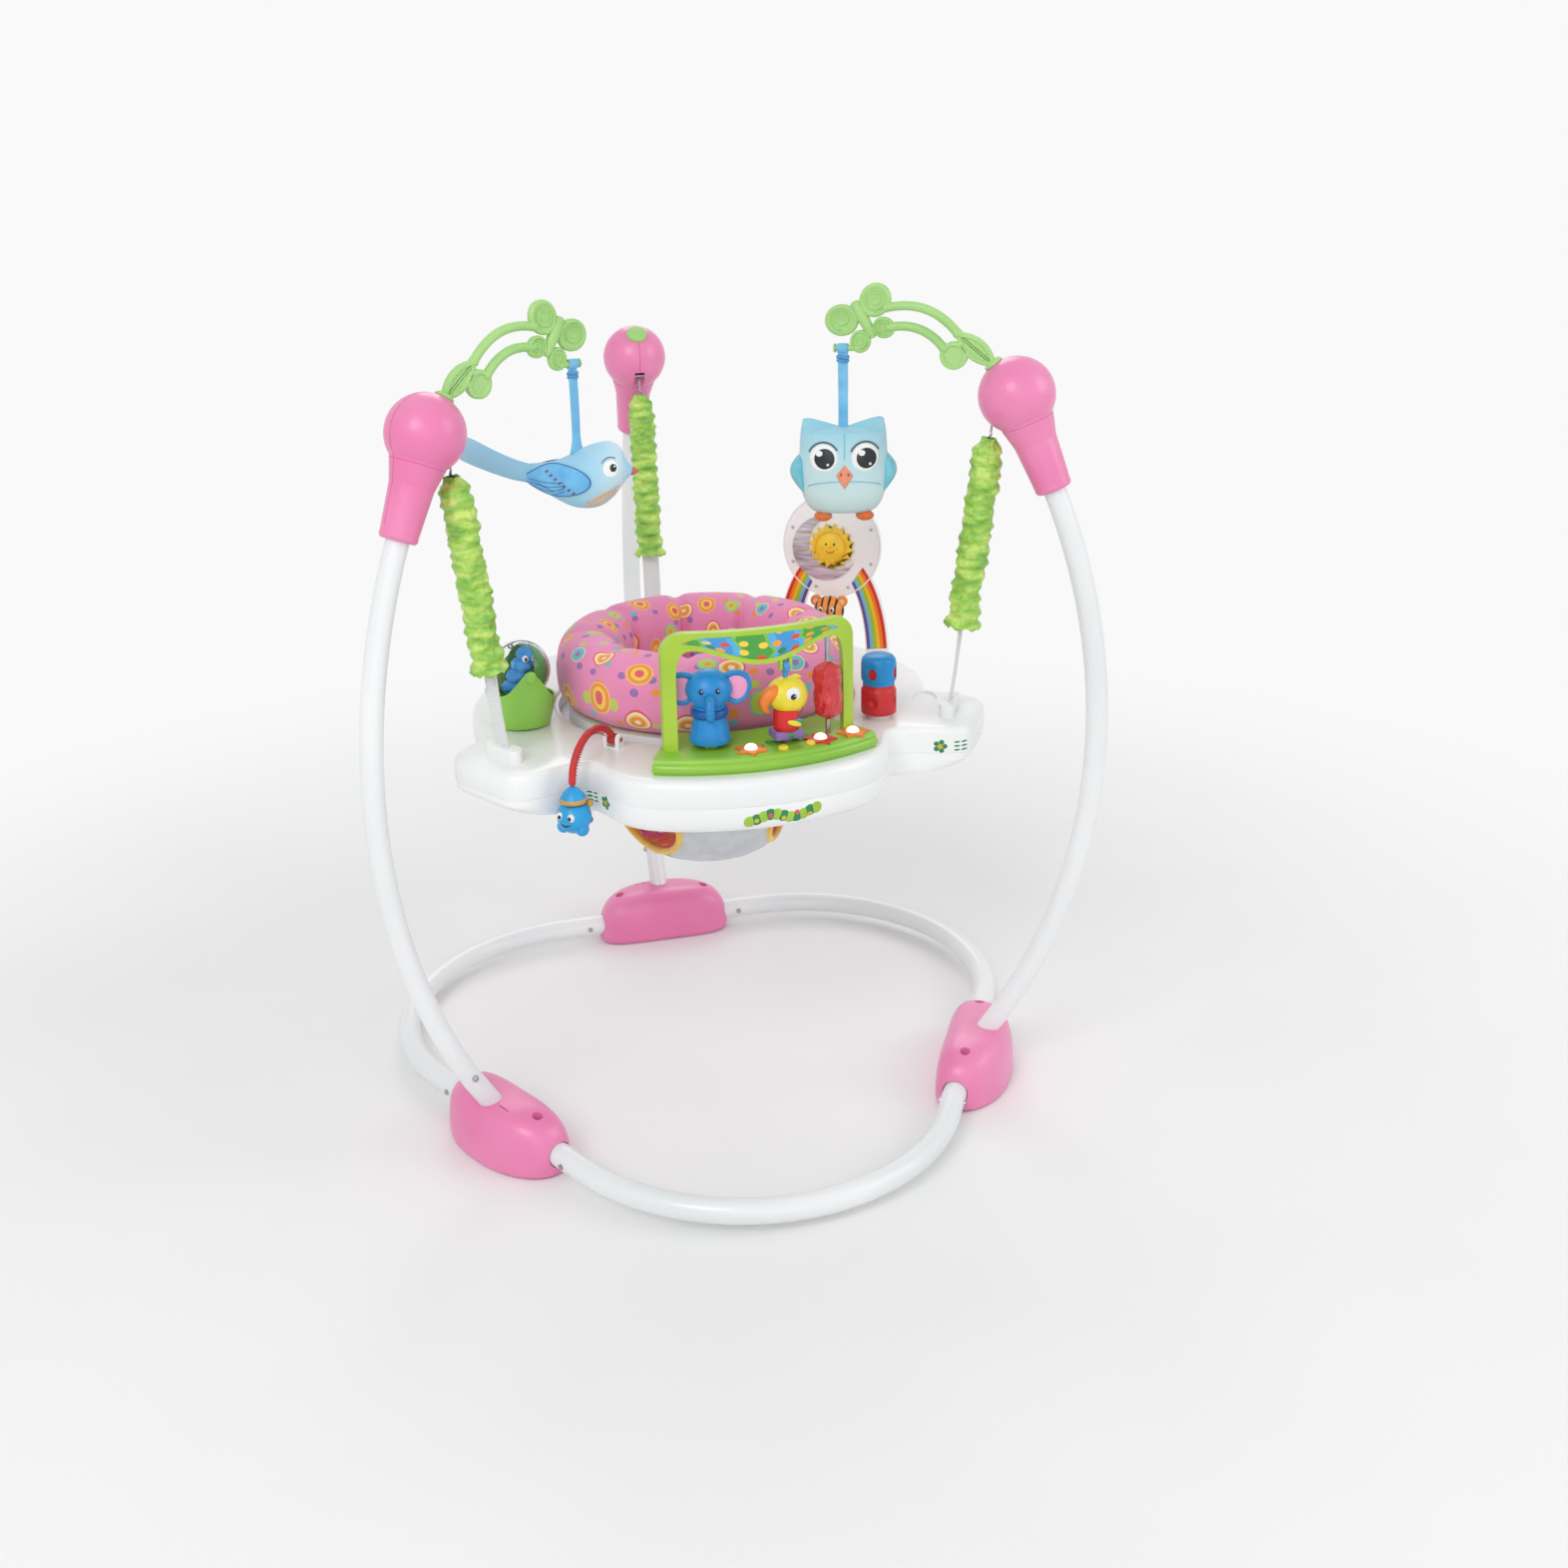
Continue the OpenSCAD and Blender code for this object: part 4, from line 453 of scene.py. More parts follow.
def lobe(radius):
    """One wing lobe: a round disc with a raised rim and a curl embossed on both faces."""
    half = leaf_thick / 2
    profile = [(0, half - 0.0010), (radius * 0.68, half - leaf_dish), (radius * 0.78, half),
               (radius * 0.9, half - 0.0002), (radius * 0.98, half - 0.0014), (radius, 0)]
    disc = turned(profile + [(r, -z) for r, z in profile[-2::-1]], 40)
    curl = [polar(radius * (0.1 + 0.5 * t), t * 11, half - 0.0012) for t in steps(40)]
    return [disc, strand(curl, 0.0009), put(strand(curl, 0.0009), turn_x(180))]


for azimuth in (left_leg, right_leg):
    name = leg_names[azimuth]
    place = leg_frame(azimuth)
    parts = []
    collar = turned([(0, 0.0415), (0.0065, 0.0408), (0.0092, 0.0385), (0.0097, 0.0365), (0.0066, 0.0335), (0, 0.0335)])
    parts.append(put(collar, place @ at(ball_run, 0, ball_height) @ turn_y(-socket_tilt)))
    leaf = plaque(leaf_outline, leaf_thick, 56, leaf_rim, leaf_dish, leaf_edge)
    x, z = from_ball(leaf_place)
    parts.append(put(leaf, place @ at(x, 0, z) @ turn_y(-leaf_angle)))
    for side in (-1, 1):
        rib = [Vector((0.016 * (2 * t - 1), side * (leaf_thick / 2 - 0.0014), 0)) for t in steps(10)]
        parts.append(put(strand(rib, 0.0008), place @ at(x, 0, z) @ turn_y(-leaf_angle)))
    x, z = from_ball(pod_place)
    pod = plaque(ellipse(pod_radius, pod_radius), leaf_thick, 48, leaf_rim, leaf_dish, leaf_edge)
    parts.append(put(pod, place @ at(x, 0, z)))
    stems = ((upper_from, (butterfly_run + 0.020, butterfly_height + 0.0107), 0.012),
             (lower_from, (butterfly_run + 0.023, butterfly_height - 0.0078), 0.009))
    for start, end, bulge in stems:
        stem = bowed(from_ball(start), end, bulge)
        parts.append(put(strand(stem, stem_radius, sides=5), place))
        parts.append(blob(place @ Matrix.Translation(stem[0]), [stem_radius * 1.12] * 3, 12))
    wings = place @ at(butterfly_run, 0, butterfly_height) @ turn_y(-butterfly_lean)
    for out, up, radius in wing_lobes:
        for side in (-1, 1):
            spread = wings @ at(side * out, 0, up) @ turn_y(-side * math.degrees(math.atan2(up, out)))
            for part in lobe(radius):
                parts.append(put(part, spread @ Matrix.Diagonal((1.06, 1, 0.97, 1)) @ turn_x(90)))
    body = turned([(0, 0.0205), (0.0035, 0.0196), (0.0056, 0.0165), (0.0050, 0.0125), (0.0058, 0.0085), (0.0060, 0.001),
                   (0.0052, -0.008), (0.0046, -0.015), (0.003, -0.0195), (0, -0.0205)], 28)
    parts.append(put(body, wings))
    peg = [Vector((run, 0, peg_height)) for run in (peg_tip, peg_root)]
    parts.append(put(strand(peg, peg_radius, sides=4), place))
    knob = turned([(0, 0), (0.0042, 0.0002), (0.0045, 0.001), (0.0038, 0.0019), (0, 0.0021)], 24)
    parts.append(put(knob, place @ at(peg_tip, 0, peg_height) @ turn_y(-90)))
    arm = make_piece("toy_arm_moulding_" + name, [(part, arm_plastic) for part in parts], "frame")
    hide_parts("toy_arm_" + name)

# Suspension: a steel coil spring hangs from each housing's pin, inside a sleeve of crumpled green satin.
# The sleeve is gathered on an elastic at the top and hemmed below; it stretches as the tray goes down.

anchor_run, anchor_height = 0.265, 0.426
line_lean = 7.309
spring_from, spring_to, spring_tail = 0.1083, 0.29793, 0.014
spring_turns, coil_radius, wire_radius = 12, 0.0078, 0.0012
sleeve_from, sleeve_length, sleeve_radius = 0.08673, 0.192, 0.0145


def line_frame(azimuth):
    """Frame of one suspension line: its foot is the anchor on the tray and z runs up to the pin."""
    return leg_frame(azimuth) @ at(anchor_run, 0, anchor_height) @ turn_y(line_lean)


def coil_point(t):
    radius = coil_radius * min(1, 12 * min(t, 1 - t))
    low, high = spring_from + spring_tail, spring_to - spring_tail
    return polar(radius, t * spring_turns * math.tau, low + (high - low) * t)


def scaled(tree, place, scale):
    return add_node(tree, "Mapping", {"Vector": place, "Scale": scale}).outputs["Vector"]


coil = [coil_point(t) for t in steps(spring_turns * 16)]
wire = [Vector((0, 0, spring_from)), *coil, Vector((0, 0, spring_to))]
coils = [(put(strand(wire, wire_radius, sides=1), line_frame(azimuth)), steel) for azimuth in leg_names]
springs = make_piece("coil_springs", coils)
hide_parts("springs")
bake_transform(springs)

satin, tree, shader = new_finish("green_satin", Sheen_Weight=0.35, Sheen_Roughness=0.3, Specular_IOR_Level=0.7)
place = object_place(tree)
crush = noise_at(tree, place, 120, 4)
# The satin's green runs from dark to light in stretched clouds: painted sheen and painted shade of its folds.
fold = noise_at(tree, scaled(tree, place, (1, 1, 3)), 45, 3)
painted(tree, shader, colour_bar(tree, fold, [(0.28, tint(104, 166, 50)), (0.48, tint(148, 202, 72)),
                                              (0.68, tint(203, 230, 112))]))
tree.links.new(in_range(tree, crush, 0.26, 0.5), shader.inputs["Roughness"])
raised(tree, shader, crush, 0.0011, 0.9)


def sleeve_place(u, v):
    """Crumpled tube: u runs round it, v from the ruffled hem up to the gathered crown."""
    turn = u * math.tau
    spot = polar(2.2, turn, v * 17)
    hem = max(0.0, 1 - v / 0.05)
    crown = max(0.0, (v - 0.89) / 0.11)
    ruffle = math.sin(turn * 9 + 1.5 * math.sin(turn * 2))
    folds = 0.0026 * noise.noise(spot) + 0.0015 * noise.noise(spot * 2.3)
    folds += 0.0011 * math.sin(v * 95 + 2 * noise.noise(spot * 0.6))
    radius = sleeve_radius + folds * (1 - 0.4 * hem) + hem * (0.0035 + 0.0016 * ruffle) - 0.0085 * crown ** 2.2
    sway = 0.0014 * noise.noise(Vector((3.1, 1.7, v * 6)))
    height = sleeve_from + sleeve_length * v + 0.0022 * hem * ruffle
    return Vector((radius * math.cos(turn) + sway, radius * math.sin(turn) - sway, height))


for azimuth, name in leg_names.items():
    cloth = put(draped(56, 150, sleeve_place), line_frame(azimuth) @ turn_z(azimuth * 1.7))
    sleeve = make_piece("satin_sleeve_" + name, [(cloth, satin)], crease=180)
    thick = sleeve.modifiers.new("cloth", "SOLIDIFY")
    thick.thickness = 0.0006
    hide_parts("sleeve_" + name)
    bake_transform(sleeve)

# Straps: white webbing, looped through the end of each spring, stitched, and let into the anchor on the tray.
# The weave runs across the band, and the two selvedges are a little thicker than the middle.


def lay_of(tree):
    return add_node(tree, "UVMap", {}, uv_map="lay").outputs["UV"]


def wave_at(tree, place, direction, scale=1.0, distortion=0.0):
    return add_node(tree, "TexWave", {"Vector": place, "Scale": scale, "Distortion": distortion},
                    bands_direction=direction).outputs["Fac"]


webbing, tree, shader = new_finish("white_webbing", Roughness=0.75, Sheen_Weight=0.2)
ribs = wave_at(tree, scaled(tree, lay_of(tree), (6, 34, 1)), "DIAGONAL", distortion=0.6)
# The webbing's white is painted darker where the ribs sink, by the same waves that raise them: painted shade in the
# grooves of the weave.
painted(tree, shader, colour_bar(tree, ribs, [(0.2, tint(214, 217, 219)), (0.8, tint(242, 243, 243))]))
raised(tree, shader, ribs, 0.0004, 0.7)
thread = moulded("sewing_thread", tint(236, 236, 232), tint(210, 210, 206), 0.7, 1500, 0.0001, 90)
strap_half, strap_thick, strap_length = 0.0100, 0.0009, 0.1075
stitch_row, stitch_pitch, stitch_radius = 0.0072, 0.0032, 0.0004
stitch_line = ((0.0011, 0.055), (0.0013, 0.0562), (0.0011, 0.0574))


def strap_place(u, v):
    """Flat band, with its face across x and its edges slightly thick, that runs up from the anchor."""
    around = u * math.tau
    side = squared_off(math.cos(around), 0.3) * strap_half
    swell = strap_thick * (1 + 0.25 * abs(side / strap_half) ** 6) * (1 if v < 0.78 else 1.7)
    face = squared_off(math.sin(around), 0.5) * swell
    return Vector((face + 0.0008 * math.sin(v * 5), side, strap_length * v))


def closed_ends(shape):
    bmesh.ops.holes_fill(shape, edges=shape.edges)
    return shape


parts = []
for azimuth in leg_names:
    parts.append((put(closed_ends(draped(32, 60, strap_place)), line_frame(azimuth)), webbing))
    for row in (-stitch_row, stitch_row):
        for k in range(9):
            stitch = [Vector((out, row, up + stitch_pitch * k)) for out, up in stitch_line]
            parts.append((put(strand(stitch, stitch_radius, sides=1), line_frame(azimuth)), thread))
straps = make_piece("strap_webbing", parts, "tray")
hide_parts("straps")

# Tray: an upper and a lower shell of white plastic, with three strap arms and a deep front lobe, that meet at
# a parting line round the skirt. A shallow oval dish is let into the top beside the right arm.

tray_plastic = moulded("white_tray_plastic", tint(246, 247, 247), tint(238, 240, 241), 0.28, 1100, 0.00002, 6,
                       Coat_Weight=0.2)
tray_top_z, tray_floor_z, parting_z = 0.420, 0.366, 0.393
tray_hole, tray_wall, tray_round, lip_round = 0.160, 0.003, 0.009, 0.004
tray_radius, front_reach, side_reach, arm_reach = 0.212, 0.052, 0.036, 0.080
dish_azimuth, dish_run, dish_half, dish_thick = 338, 0.236, (0.013, 0.026), 0.02


def lobe_share(angle, middle, half):
    return 1 / (1 + (abs((angle - middle + 180) % 360 - 180) / half) ** 8)


def arm_share(angle):
    return max(lobe_share(angle, leg, 13) for leg in leg_names)


def tray_edge(angle):
    sides = max(lobe_share(angle, 30, 44), lobe_share(angle, 150, 44))
    front = lobe_share(angle, 270, 37)
    return tray_radius + front_reach * front + side_reach * sides + arm_reach * arm_share(angle)


def quarter(middle_r, middle_z, radius, start, count=6):
    """Points of a quarter turn, from the angle start, in degrees, backwards."""
    turns = [math.radians(start - 90 * t) for t in steps(count)]
    return [(middle_r + radius * math.cos(a), middle_z + radius * math.sin(a)) for a in turns]


def upper_profile(angle):
    edge = tray_edge(angle)
    lip = [(tray_hole, parting_z), (tray_hole, tray_top_z - lip_round)]
    lip += quarter(tray_hole + lip_round, tray_top_z - lip_round, lip_round, 180)
    over = quarter(edge - tray_round, tray_top_z - tray_round, tray_round, 90, 8)
    skirt = [(edge, parting_z + 0.0012), (edge - 0.0006, parting_z)]
    inside = [(edge - tray_wall, parting_z), (edge - tray_round - 0.001, tray_top_z - tray_wall),
              (tray_hole + lip_round, tray_top_z - tray_wall), (tray_hole + tray_wall, parting_z)]
    return lip + over + skirt + inside


def lower_profile(angle):
    edge = tray_edge(angle) - 0.0008
    foot, top = tray_floor_z + 0.013 * arm_share(angle) ** 2, parting_z - 0.0003
    outside = [(edge - 0.0006, top), (edge - 0.0001, top - 0.0012), (edge - 0.0004, top - 0.006),
               (edge - 0.001, (foot + top) / 2), (edge - 0.0027, foot + 0.0072), (edge - 0.0052, foot + 0.0032),
               (edge - 0.0085, foot + 0.0008), (edge - 0.0125, foot)]
    inside = [(tray_hole + 0.002, tray_floor_z), (tray_hole, tray_floor_z + 0.001),
              (tray_hole, tray_floor_z + tray_wall), (edge - 0.0135, foot + tray_wall),
              (edge - 0.006, foot + 0.009), (edge - 0.0035, top)]
    return outside + inside


def shell_place(profile):
    count = len(profile(0))

    def place(u, v):
        radius, height = profile(360 * u)[round(v * count) % count]
        turn = math.tau * u
        return Vector((radius * math.cos(turn), radius * math.sin(turn) + axis_y, height))
    return place


for name, profile in (("tray_top", upper_profile), ("tray_bottom", lower_profile)):
    shell = draped(300, len(profile(0)), shell_place(profile))
    made = make_piece(name + "_shell", [(shell, tray_plastic)], crease=35)
    if name == "tray_top":
        dish_place = leg_frame(dish_azimuth) @ at(dish_run, 0, tray_top_z + 0.008) @ turn_x(90)
        carve(made, [put(plaque(ellipse(*dish_half), dish_thick), dish_place)])
    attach(made, "tray")
    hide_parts(name)
dress(tray_plastic, "tray_fittings", "seat_track", "seat_ring", "battery_cover")

# Seat bolster: a ring of printed cotton, stuffed with wadding, that lies on the seat's ring. The cover is closed by a
# seam at the rear and drawn in there and by eight tucks, so it swells between them; the bottom lies flat.

bolster_radius, bolster_half, bolster_tall, bolster_foot = 0.121, 0.0355, 0.0795, 0.4207
tucks = 9
tuck_wide, seam_wide, pucker_wide = 3.4, 1.6, 11
motif_pitch, dot_pitch, weave_pitch = 0.043, 0.0165, 0.0008
cover_around, cover_across = 0.78, 0.245
wave_length = 0.31


def maths(tree, operation, *values):
    return add_node(tree, "Math", dict(enumerate(values)), operation=operation).outputs[0]


def even_grid(tree, uv, pitch):
    return scaled(tree, uv, (cover_around / pitch, cover_across / pitch, 1))


def weave_height(tree, uv):
    """Height of a plain weave: two crossing sets of threads, drawn by waves that repeat after wave_length."""
    lay = even_grid(tree, uv, weave_pitch / wave_length)
    return maths(tree, "MULTIPLY", wave_at(tree, lay, "X"), wave_at(tree, lay, "Y"))


def mixed(tree, factor, first, second):
    """Mix of two colours, by the colour sockets of a Mix node."""
    return add_node(tree, "Mix", {0: factor, 6: first, 7: second}, data_type="RGBA").outputs[2]


def over(tree, value, limit):
    return maths(tree, "GREATER_THAN", value, limit)


def cells_at(tree, place, randomness):
    """Scattered cells: the distance from a cell's middle, and the random values of each cell."""
    cells = add_node(tree, "TexVoronoi", {"Vector": place, "Scale": 1.0, "Randomness": randomness},
                     voronoi_dimensions="2D").outputs
    return cells["Distance"], add_node(tree, "SeparateColor", {"Color": cells["Color"]}).outputs


cotton, tree, shader = new_finish("printed_pink_cotton", Roughness=0.82, Sheen_Weight=0.25, Sheen_Roughness=0.5)
uv = lay_of(tree)
ground = mixed(tree, noise_at(tree, object_place(tree), 24, 2), tint(243, 152, 195), tint(237, 136, 183))
apart, pick = cells_at(tree, even_grid(tree, uv, motif_pitch), 0.62)
coral, orange, yellow, cream = tint(236, 92, 112), tint(246, 150, 72), tint(250, 208, 88), tint(252, 236, 196)
teal, leaf, violet = tint(110, 196, 204), tint(196, 212, 92), tint(160, 116, 182)
ground_dark = tint(238, 138, 185)
ringed, sunny, cool, leafy = (colour_bar(tree, apart, stops, "CONSTANT") for stops in (
    [(0, cream), (0.07, orange), (0.16, yellow), (0.2, cream), (0.25, coral), (0.3, ground_dark)],
    [(0, coral), (0.1, yellow), (0.18, orange), (0.26, yellow), (0.29, ground_dark)],
    [(0, violet), (0.08, teal), (0.2, cream), (0.23, ground_dark)],
    [(0, orange), (0.06, leaf), (0.19, teal), (0.22, ground_dark)]))
motif = ringed
for share, other in ((0.3, sunny), (0.55, cool), (0.78, leafy)):
    motif = mixed(tree, over(tree, pick["Red"], share), motif, other)
edge = mixed(tree, over(tree, pick["Red"], 0.55), (0.29, 0.29, 0.29, 1), (0.225, 0.225, 0.225, 1))
from_dot, dot_pick = cells_at(tree, even_grid(tree, uv, dot_pitch), 0.8)
dot = colour_bar(tree, dot_pick["Green"], [(0, violet), (0.3, orange), (0.55, leaf), (0.8, teal)], "CONSTANT")
shown = maths(tree, "MULTIPLY", maths(tree, "LESS_THAN", from_dot, 0.24), over(tree, dot_pick["Red"], 0.5))
colour = mixed(tree, shown, ground, dot)
painted(tree, shader, mixed(tree, over(tree, apart, edge), motif, colour))
creased = noise_at(tree, scaled(tree, uv, (60, 9, 1)), 1.0, 3)
raised(tree, shader, maths(tree, "MULTIPLY_ADD", weave_height(tree, uv), 0.12, creased), 0.0016, 0.55)


def bolster_place(u, v):
    """u runs once round the seat from the rear seam, v once round the stuffing from the middle of the bottom."""
    turn = (u + 0.25) * math.tau
    around = v * math.tau - math.pi / 2
    inside = max(0.0, -math.cos(around))
    near = ((u * tucks + 0.5) % 1 - 0.5) * 360 / tucks
    pull = math.exp(-(near / tuck_wide) ** 2)
    seam = math.exp(-(min(u, 1 - u) * 360 / seam_wide) ** 2)
    pucker = math.exp(-(near / pucker_wide) ** 2) * inside * 0.0016 * math.sin(near * 1.9)
    swell = 0.0012 * noise.noise(polar(4, turn, 2 * v))
    half = bolster_half - pull * (0.0018 + 0.0085 * inside) - 0.0035 * seam + pucker + swell
    across = squared_off(math.cos(around), 0.85) * half
    up = math.sin(around)
    high = bolster_tall * (0.5 + 0.5 * squared_off(up, 0.9 if up > 0 else 0.62))
    high -= max(0.0, up) * pull * (0.0045 + 0.003 * inside)
    radius = bolster_radius + across
    return Vector((radius * math.cos(turn), radius * math.sin(turn) + axis_y, bolster_foot + high))


def stuffed(made, held, cap):
    """Swells a sewn cover with its filling: the seams stay where they are, and no point moves further than cap."""
    pressure, moments = 4.0, 20
    first = [corner.co.copy() for corner in made.data.vertices]
    seams = made.vertex_groups.new(name="seams")
    seams.add([corner.index for corner in made.data.vertices if held(corner.co)], 1.0, "REPLACE")
    cloth = made.modifiers.new("filling", "CLOTH")
    cloth.settings.use_pressure = True
    cloth.settings.uniform_pressure_force = pressure
    cloth.settings.vertex_group_mass = "seams"
    cloth.settings.effector_weights.gravity = 0
    cloth.collision_settings.use_collision = False
    for moment in range(1, moments + 1):
        bpy.context.scene.frame_set(moment)
    freeze(made)
    bpy.context.scene.frame_set(1)
    made.vertex_groups.clear()
    for corner, start in zip(made.data.vertices, first):
        move = corner.co - start
        if move.length > cap:
            corner.co = start + move * (cap / move.length)
    return made


cover = draped(216, 56, bolster_place)
bolster = make_piece("bolster", [(cover, cotton)], crease=180)
stuffed(bolster, lambda spot: spot.z < bolster_foot + 0.006, 0.003)
for corner in bolster.data.vertices:
    corner.co.z = max(corner.co.z, bolster_foot)
rounder(bolster, 1)
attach(bolster, "seat")
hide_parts("seat_pad")

# Seat sling: a cloth funnel that hangs from the seat's ring, printed at the sides, with a grey front panel between
# two leg holes. Yellow binding is folded over the edge of each hole and sewn.

sling_rim, sling_foot = (0.1362, 0.418), (0.061, 0.252)
sling_knee, sling_floor = 0.384, 0.2522
sling_curve, sling_thick, sling_wall = 0.6, 0.0026, 0.86
front_azimuth, front_half, front_top = 270, 46, 0.372
leg_hole_radius, leg_hole_height, leg_hole_tilt = 0.054, 0.333, 12
leg_holes = (210, 330)
binding_radius, binding_in = 0.0036, 0.0016


def sling_radius(height):
    share = min(1.0, max(0.0, (height - sling_foot[1]) / (sling_knee - sling_foot[1])))
    return sling_foot[0] + (sling_rim[0] - sling_foot[0]) * share ** sling_curve


def sling_place(u, v):
    turn = (u + 0.25) * math.tau
    if v < sling_wall:
        height = sling_rim[1] + (sling_foot[1] - sling_rim[1]) * (v / sling_wall) ** 0.8
        radius = sling_radius(height)
    else:
        share = (v - sling_wall) / (1 - sling_wall)
        height = sling_foot[1] - 0.004 * math.sin(share * math.pi / 2)
        radius = sling_foot[0] * (1 - share)
    radius -= 0.0008 * math.sin(turn * 17) * (1 - v) * v * 4
    return Vector((radius * math.cos(turn), radius * math.sin(turn) + axis_y, max(height, sling_floor)))


grey_cloth, tree, shader = new_finish("grey_lining_cloth", Roughness=0.85, Sheen_Weight=0.2)
painted(tree, shader, clouds(tree, object_place(tree), 60, 4, tint(203, 209, 214), tint(222, 226, 229)))
raised(tree, shader, weave_height(tree, lay_of(tree)), 0.0004, 0.6)
binding_cloth, tree, shader = new_finish("yellow_binding", Roughness=0.7, Sheen_Weight=0.3)
place = object_place(tree)
painted(tree, shader, clouds(tree, place, 35, 3, tint(238, 170, 62), tint(246, 208, 84)))
raised(tree, shader, noise_at(tree, place, 900, 2), 0.0004, 0.6)


def hole_frame(azimuth):
    return leg_frame(azimuth) @ at(0, 0, leg_hole_height) @ turn_y(90 + leg_hole_tilt)


def on_sling(azimuth, radius, t):
    """Point where the edge of a leg hole, t of the way round, meets the sling."""
    low, high = 0.02, 0.16
    for _ in range(30):
        middle = (low + high) / 2
        spot = hole_frame(azimuth) @ polar(radius, t * math.tau, middle)
        out = math.hypot(spot.x, spot.y - axis_y) > sling_radius(spot.z) - sling_thick / 2
        low, high = (low, middle) if out else (middle, high)
    return spot


def ring_steps(count, whole=1.0):
    """Even steps once round a closed ring."""
    return [whole * k / count for k in range(count)]


thin_cotton = cotton.copy()
thin_cotton.name = "thin_printed_cotton"
tree = thin_cotton.node_tree
kinds = ("BSDF_PRINCIPLED", "OUTPUT_MATERIAL")
shader, result = (next(node for node in tree.nodes if node.type == kind) for kind in kinds)
lit = add_node(tree, "BsdfTranslucent", {"Color": shader.inputs["Base Color"].links[0].from_socket})
thin = add_node(tree, "MixShader", {"Fac": 0.5, 1: shader.outputs[0], 2: lit.outputs[0]})
tree.links.new(thin.outputs[0], result.inputs["Surface"])
sling = make_piece("sling", [(draped(160, 60, sling_place), thin_cotton)], crease=180)
sling.data.materials.append(grey_cloth)
for face in sling.data.polygons:
    azimuth = math.degrees(math.atan2(face.center.y - axis_y, face.center.x)) % 360
    face.material_index = int(abs(azimuth - front_azimuth) < front_half and face.center.z < front_top)
wall = sling.modifiers.new("cloth", "SOLIDIFY")
wall.thickness = sling_thick
freeze(sling)
carve(sling, [put(rod(leg_hole_radius, 0, 0.2, 64), hole_frame(azimuth)) for azimuth in leg_holes])
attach(sling, "seat")
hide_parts("seat_sling")
edges = []
for azimuth in leg_holes:
    line = [on_sling(azimuth, leg_hole_radius - binding_in, t) for t in ring_steps(72)]
    edges.append((strand(line, binding_radius, closed=True, sides=3), binding_cloth))
    inner = [on_sling(azimuth, leg_hole_radius - binding_in, t) + Vector((0, 0, 0.0001)) for t in ring_steps(144)]
    for first, second in zip(inner[::2], inner[1::2]):
        outward = (first - Vector((0, axis_y, first.z))).normalized() * binding_radius
        edges.append((strand([first + outward, second + outward], stitch_radius, sides=0), thread))
binding = make_piece("leg_hole_binding", edges, "seat")
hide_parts("sling_binding")

# Music station: a hollow green base on the front of the tray, with a rounded rim, and a lime arch over it.
# The panel of the arch carries a plain printed card; the base holds the sound unit, lamps and buttons.

station_azimuth, station_height = 273, 0.436
arch_radius = 0.218
base_green = moulded("green_station_plastic", tint(146, 200, 62), tint(130, 186, 52), 0.3, 900, 0.00003, 14,
                     Coat_Weight=0.2)
arch_lime = moulded("lime_arch_plastic", tint(176, 210, 60), tint(160, 196, 48), 0.32, 900, 0.00003, 14,
                    Coat_Weight=0.15)
rim_out, rim_in, rim_up, rim_radius = 0.2435, 0.1705, 0.4262, 0.0056
rim_half, back_half, rim_turn = 26.4, 25.8, 0.172
board_green = moulded("circuit_board", tint(40, 110, 66), tint(30, 92, 54), 0.5, 500, 0.0001, 60)
dress(base_green, "station_base")
dress(arch_lime, "station_arch")
dress(board_green, "sound_module")


def on_tray(azimuth, run, height):
    """Frame on the tray: x runs outwards, z is up."""
    return leg_frame(azimuth) @ at(run, 0, height)


def on_station(off, run):
    return on_tray(station_azimuth + off, run, station_height)


def rim_point(off, run):
    return on_tray(station_azimuth + off, run, rim_up).to_translation()


def shade(name, red, green, blue, roughness=0.35, **sockets):
    """Plain moulded colour of a toy."""
    dark = tint(*(c * 0.9 for c in (red, green, blue)))
    return moulded(name, tint(red, green, blue), dark, roughness, 900, 0.00004, 40, **sockets)


rim_line = [rim_point(off, rim_out) for off in steps(48, -rim_half, rim_half)]
rim_line += [rim_point(rim_half, run) for run in steps(6, rim_out, rim_turn)]
rim_line += [rim_point(-off, rim_in) for off in steps(30, -back_half, back_half)]
rim_line += [rim_point(-rim_half, run) for run in steps(6, rim_turn, rim_out)]
rim = make_piece("station_rim", [(strand(rim_line, rim_radius, closed=True, sides=5), base_green)], "tray")

card, tree, shader = new_finish("printed_card", Roughness=0.35, Coat_Weight=0.3)
uv = lay_of(tree)
apart, pick = cells_at(tree, scaled(tree, uv, (9, 2, 1)), 0.5)
ripple = wave_at(tree, scaled(tree, uv, (1.1, 1, 1)), "X", 0.7, 3.0)
backing = colour_bar(tree, ripple, [(0, tint(64, 160, 60)), (0.35, tint(120, 190, 60)), (0.5, tint(80, 175, 225)),
                                    (0.8, tint(60, 150, 215))], "CONSTANT")
spot_colour = colour_bar(tree, pick["Red"], [(0, tint(246, 160, 40)), (0.4, tint(226, 70, 50)),
                                             (0.6, tint(250, 208, 70)), (0.82, tint(50, 130, 70))], "CONSTANT")
painted(tree, shader, mixed(tree, maths(tree, "LESS_THAN", apart, 0.26), backing, spot_colour))
raised(tree, shader, noise_at(tree, object_place(tree), 700, 2), 0.00003)
arch_top, card_half = 0.116, 20.3


def card_place(u, v):
    off = card_half * (2 * u - 1)
    dip = math.cos(math.radians(off / card_half * 90)) ** 2
    corner = max(0.0, abs(2 * u - 1) - 0.72) / 0.28
    low = arch_top - 0.0105 - 0.0185 * dip
    high = arch_top - 0.0048 - 0.005 * corner * corner
    return on_station(off, arch_radius + 0.0047) @ Vector((0, 0, low + (high - low) * v))


panel = make_piece("arch_card", [(draped(60, 12, card_place), card)], "tray", crease=180)
panel.modifiers.new("card", "SOLIDIFY").thickness = 0.0006

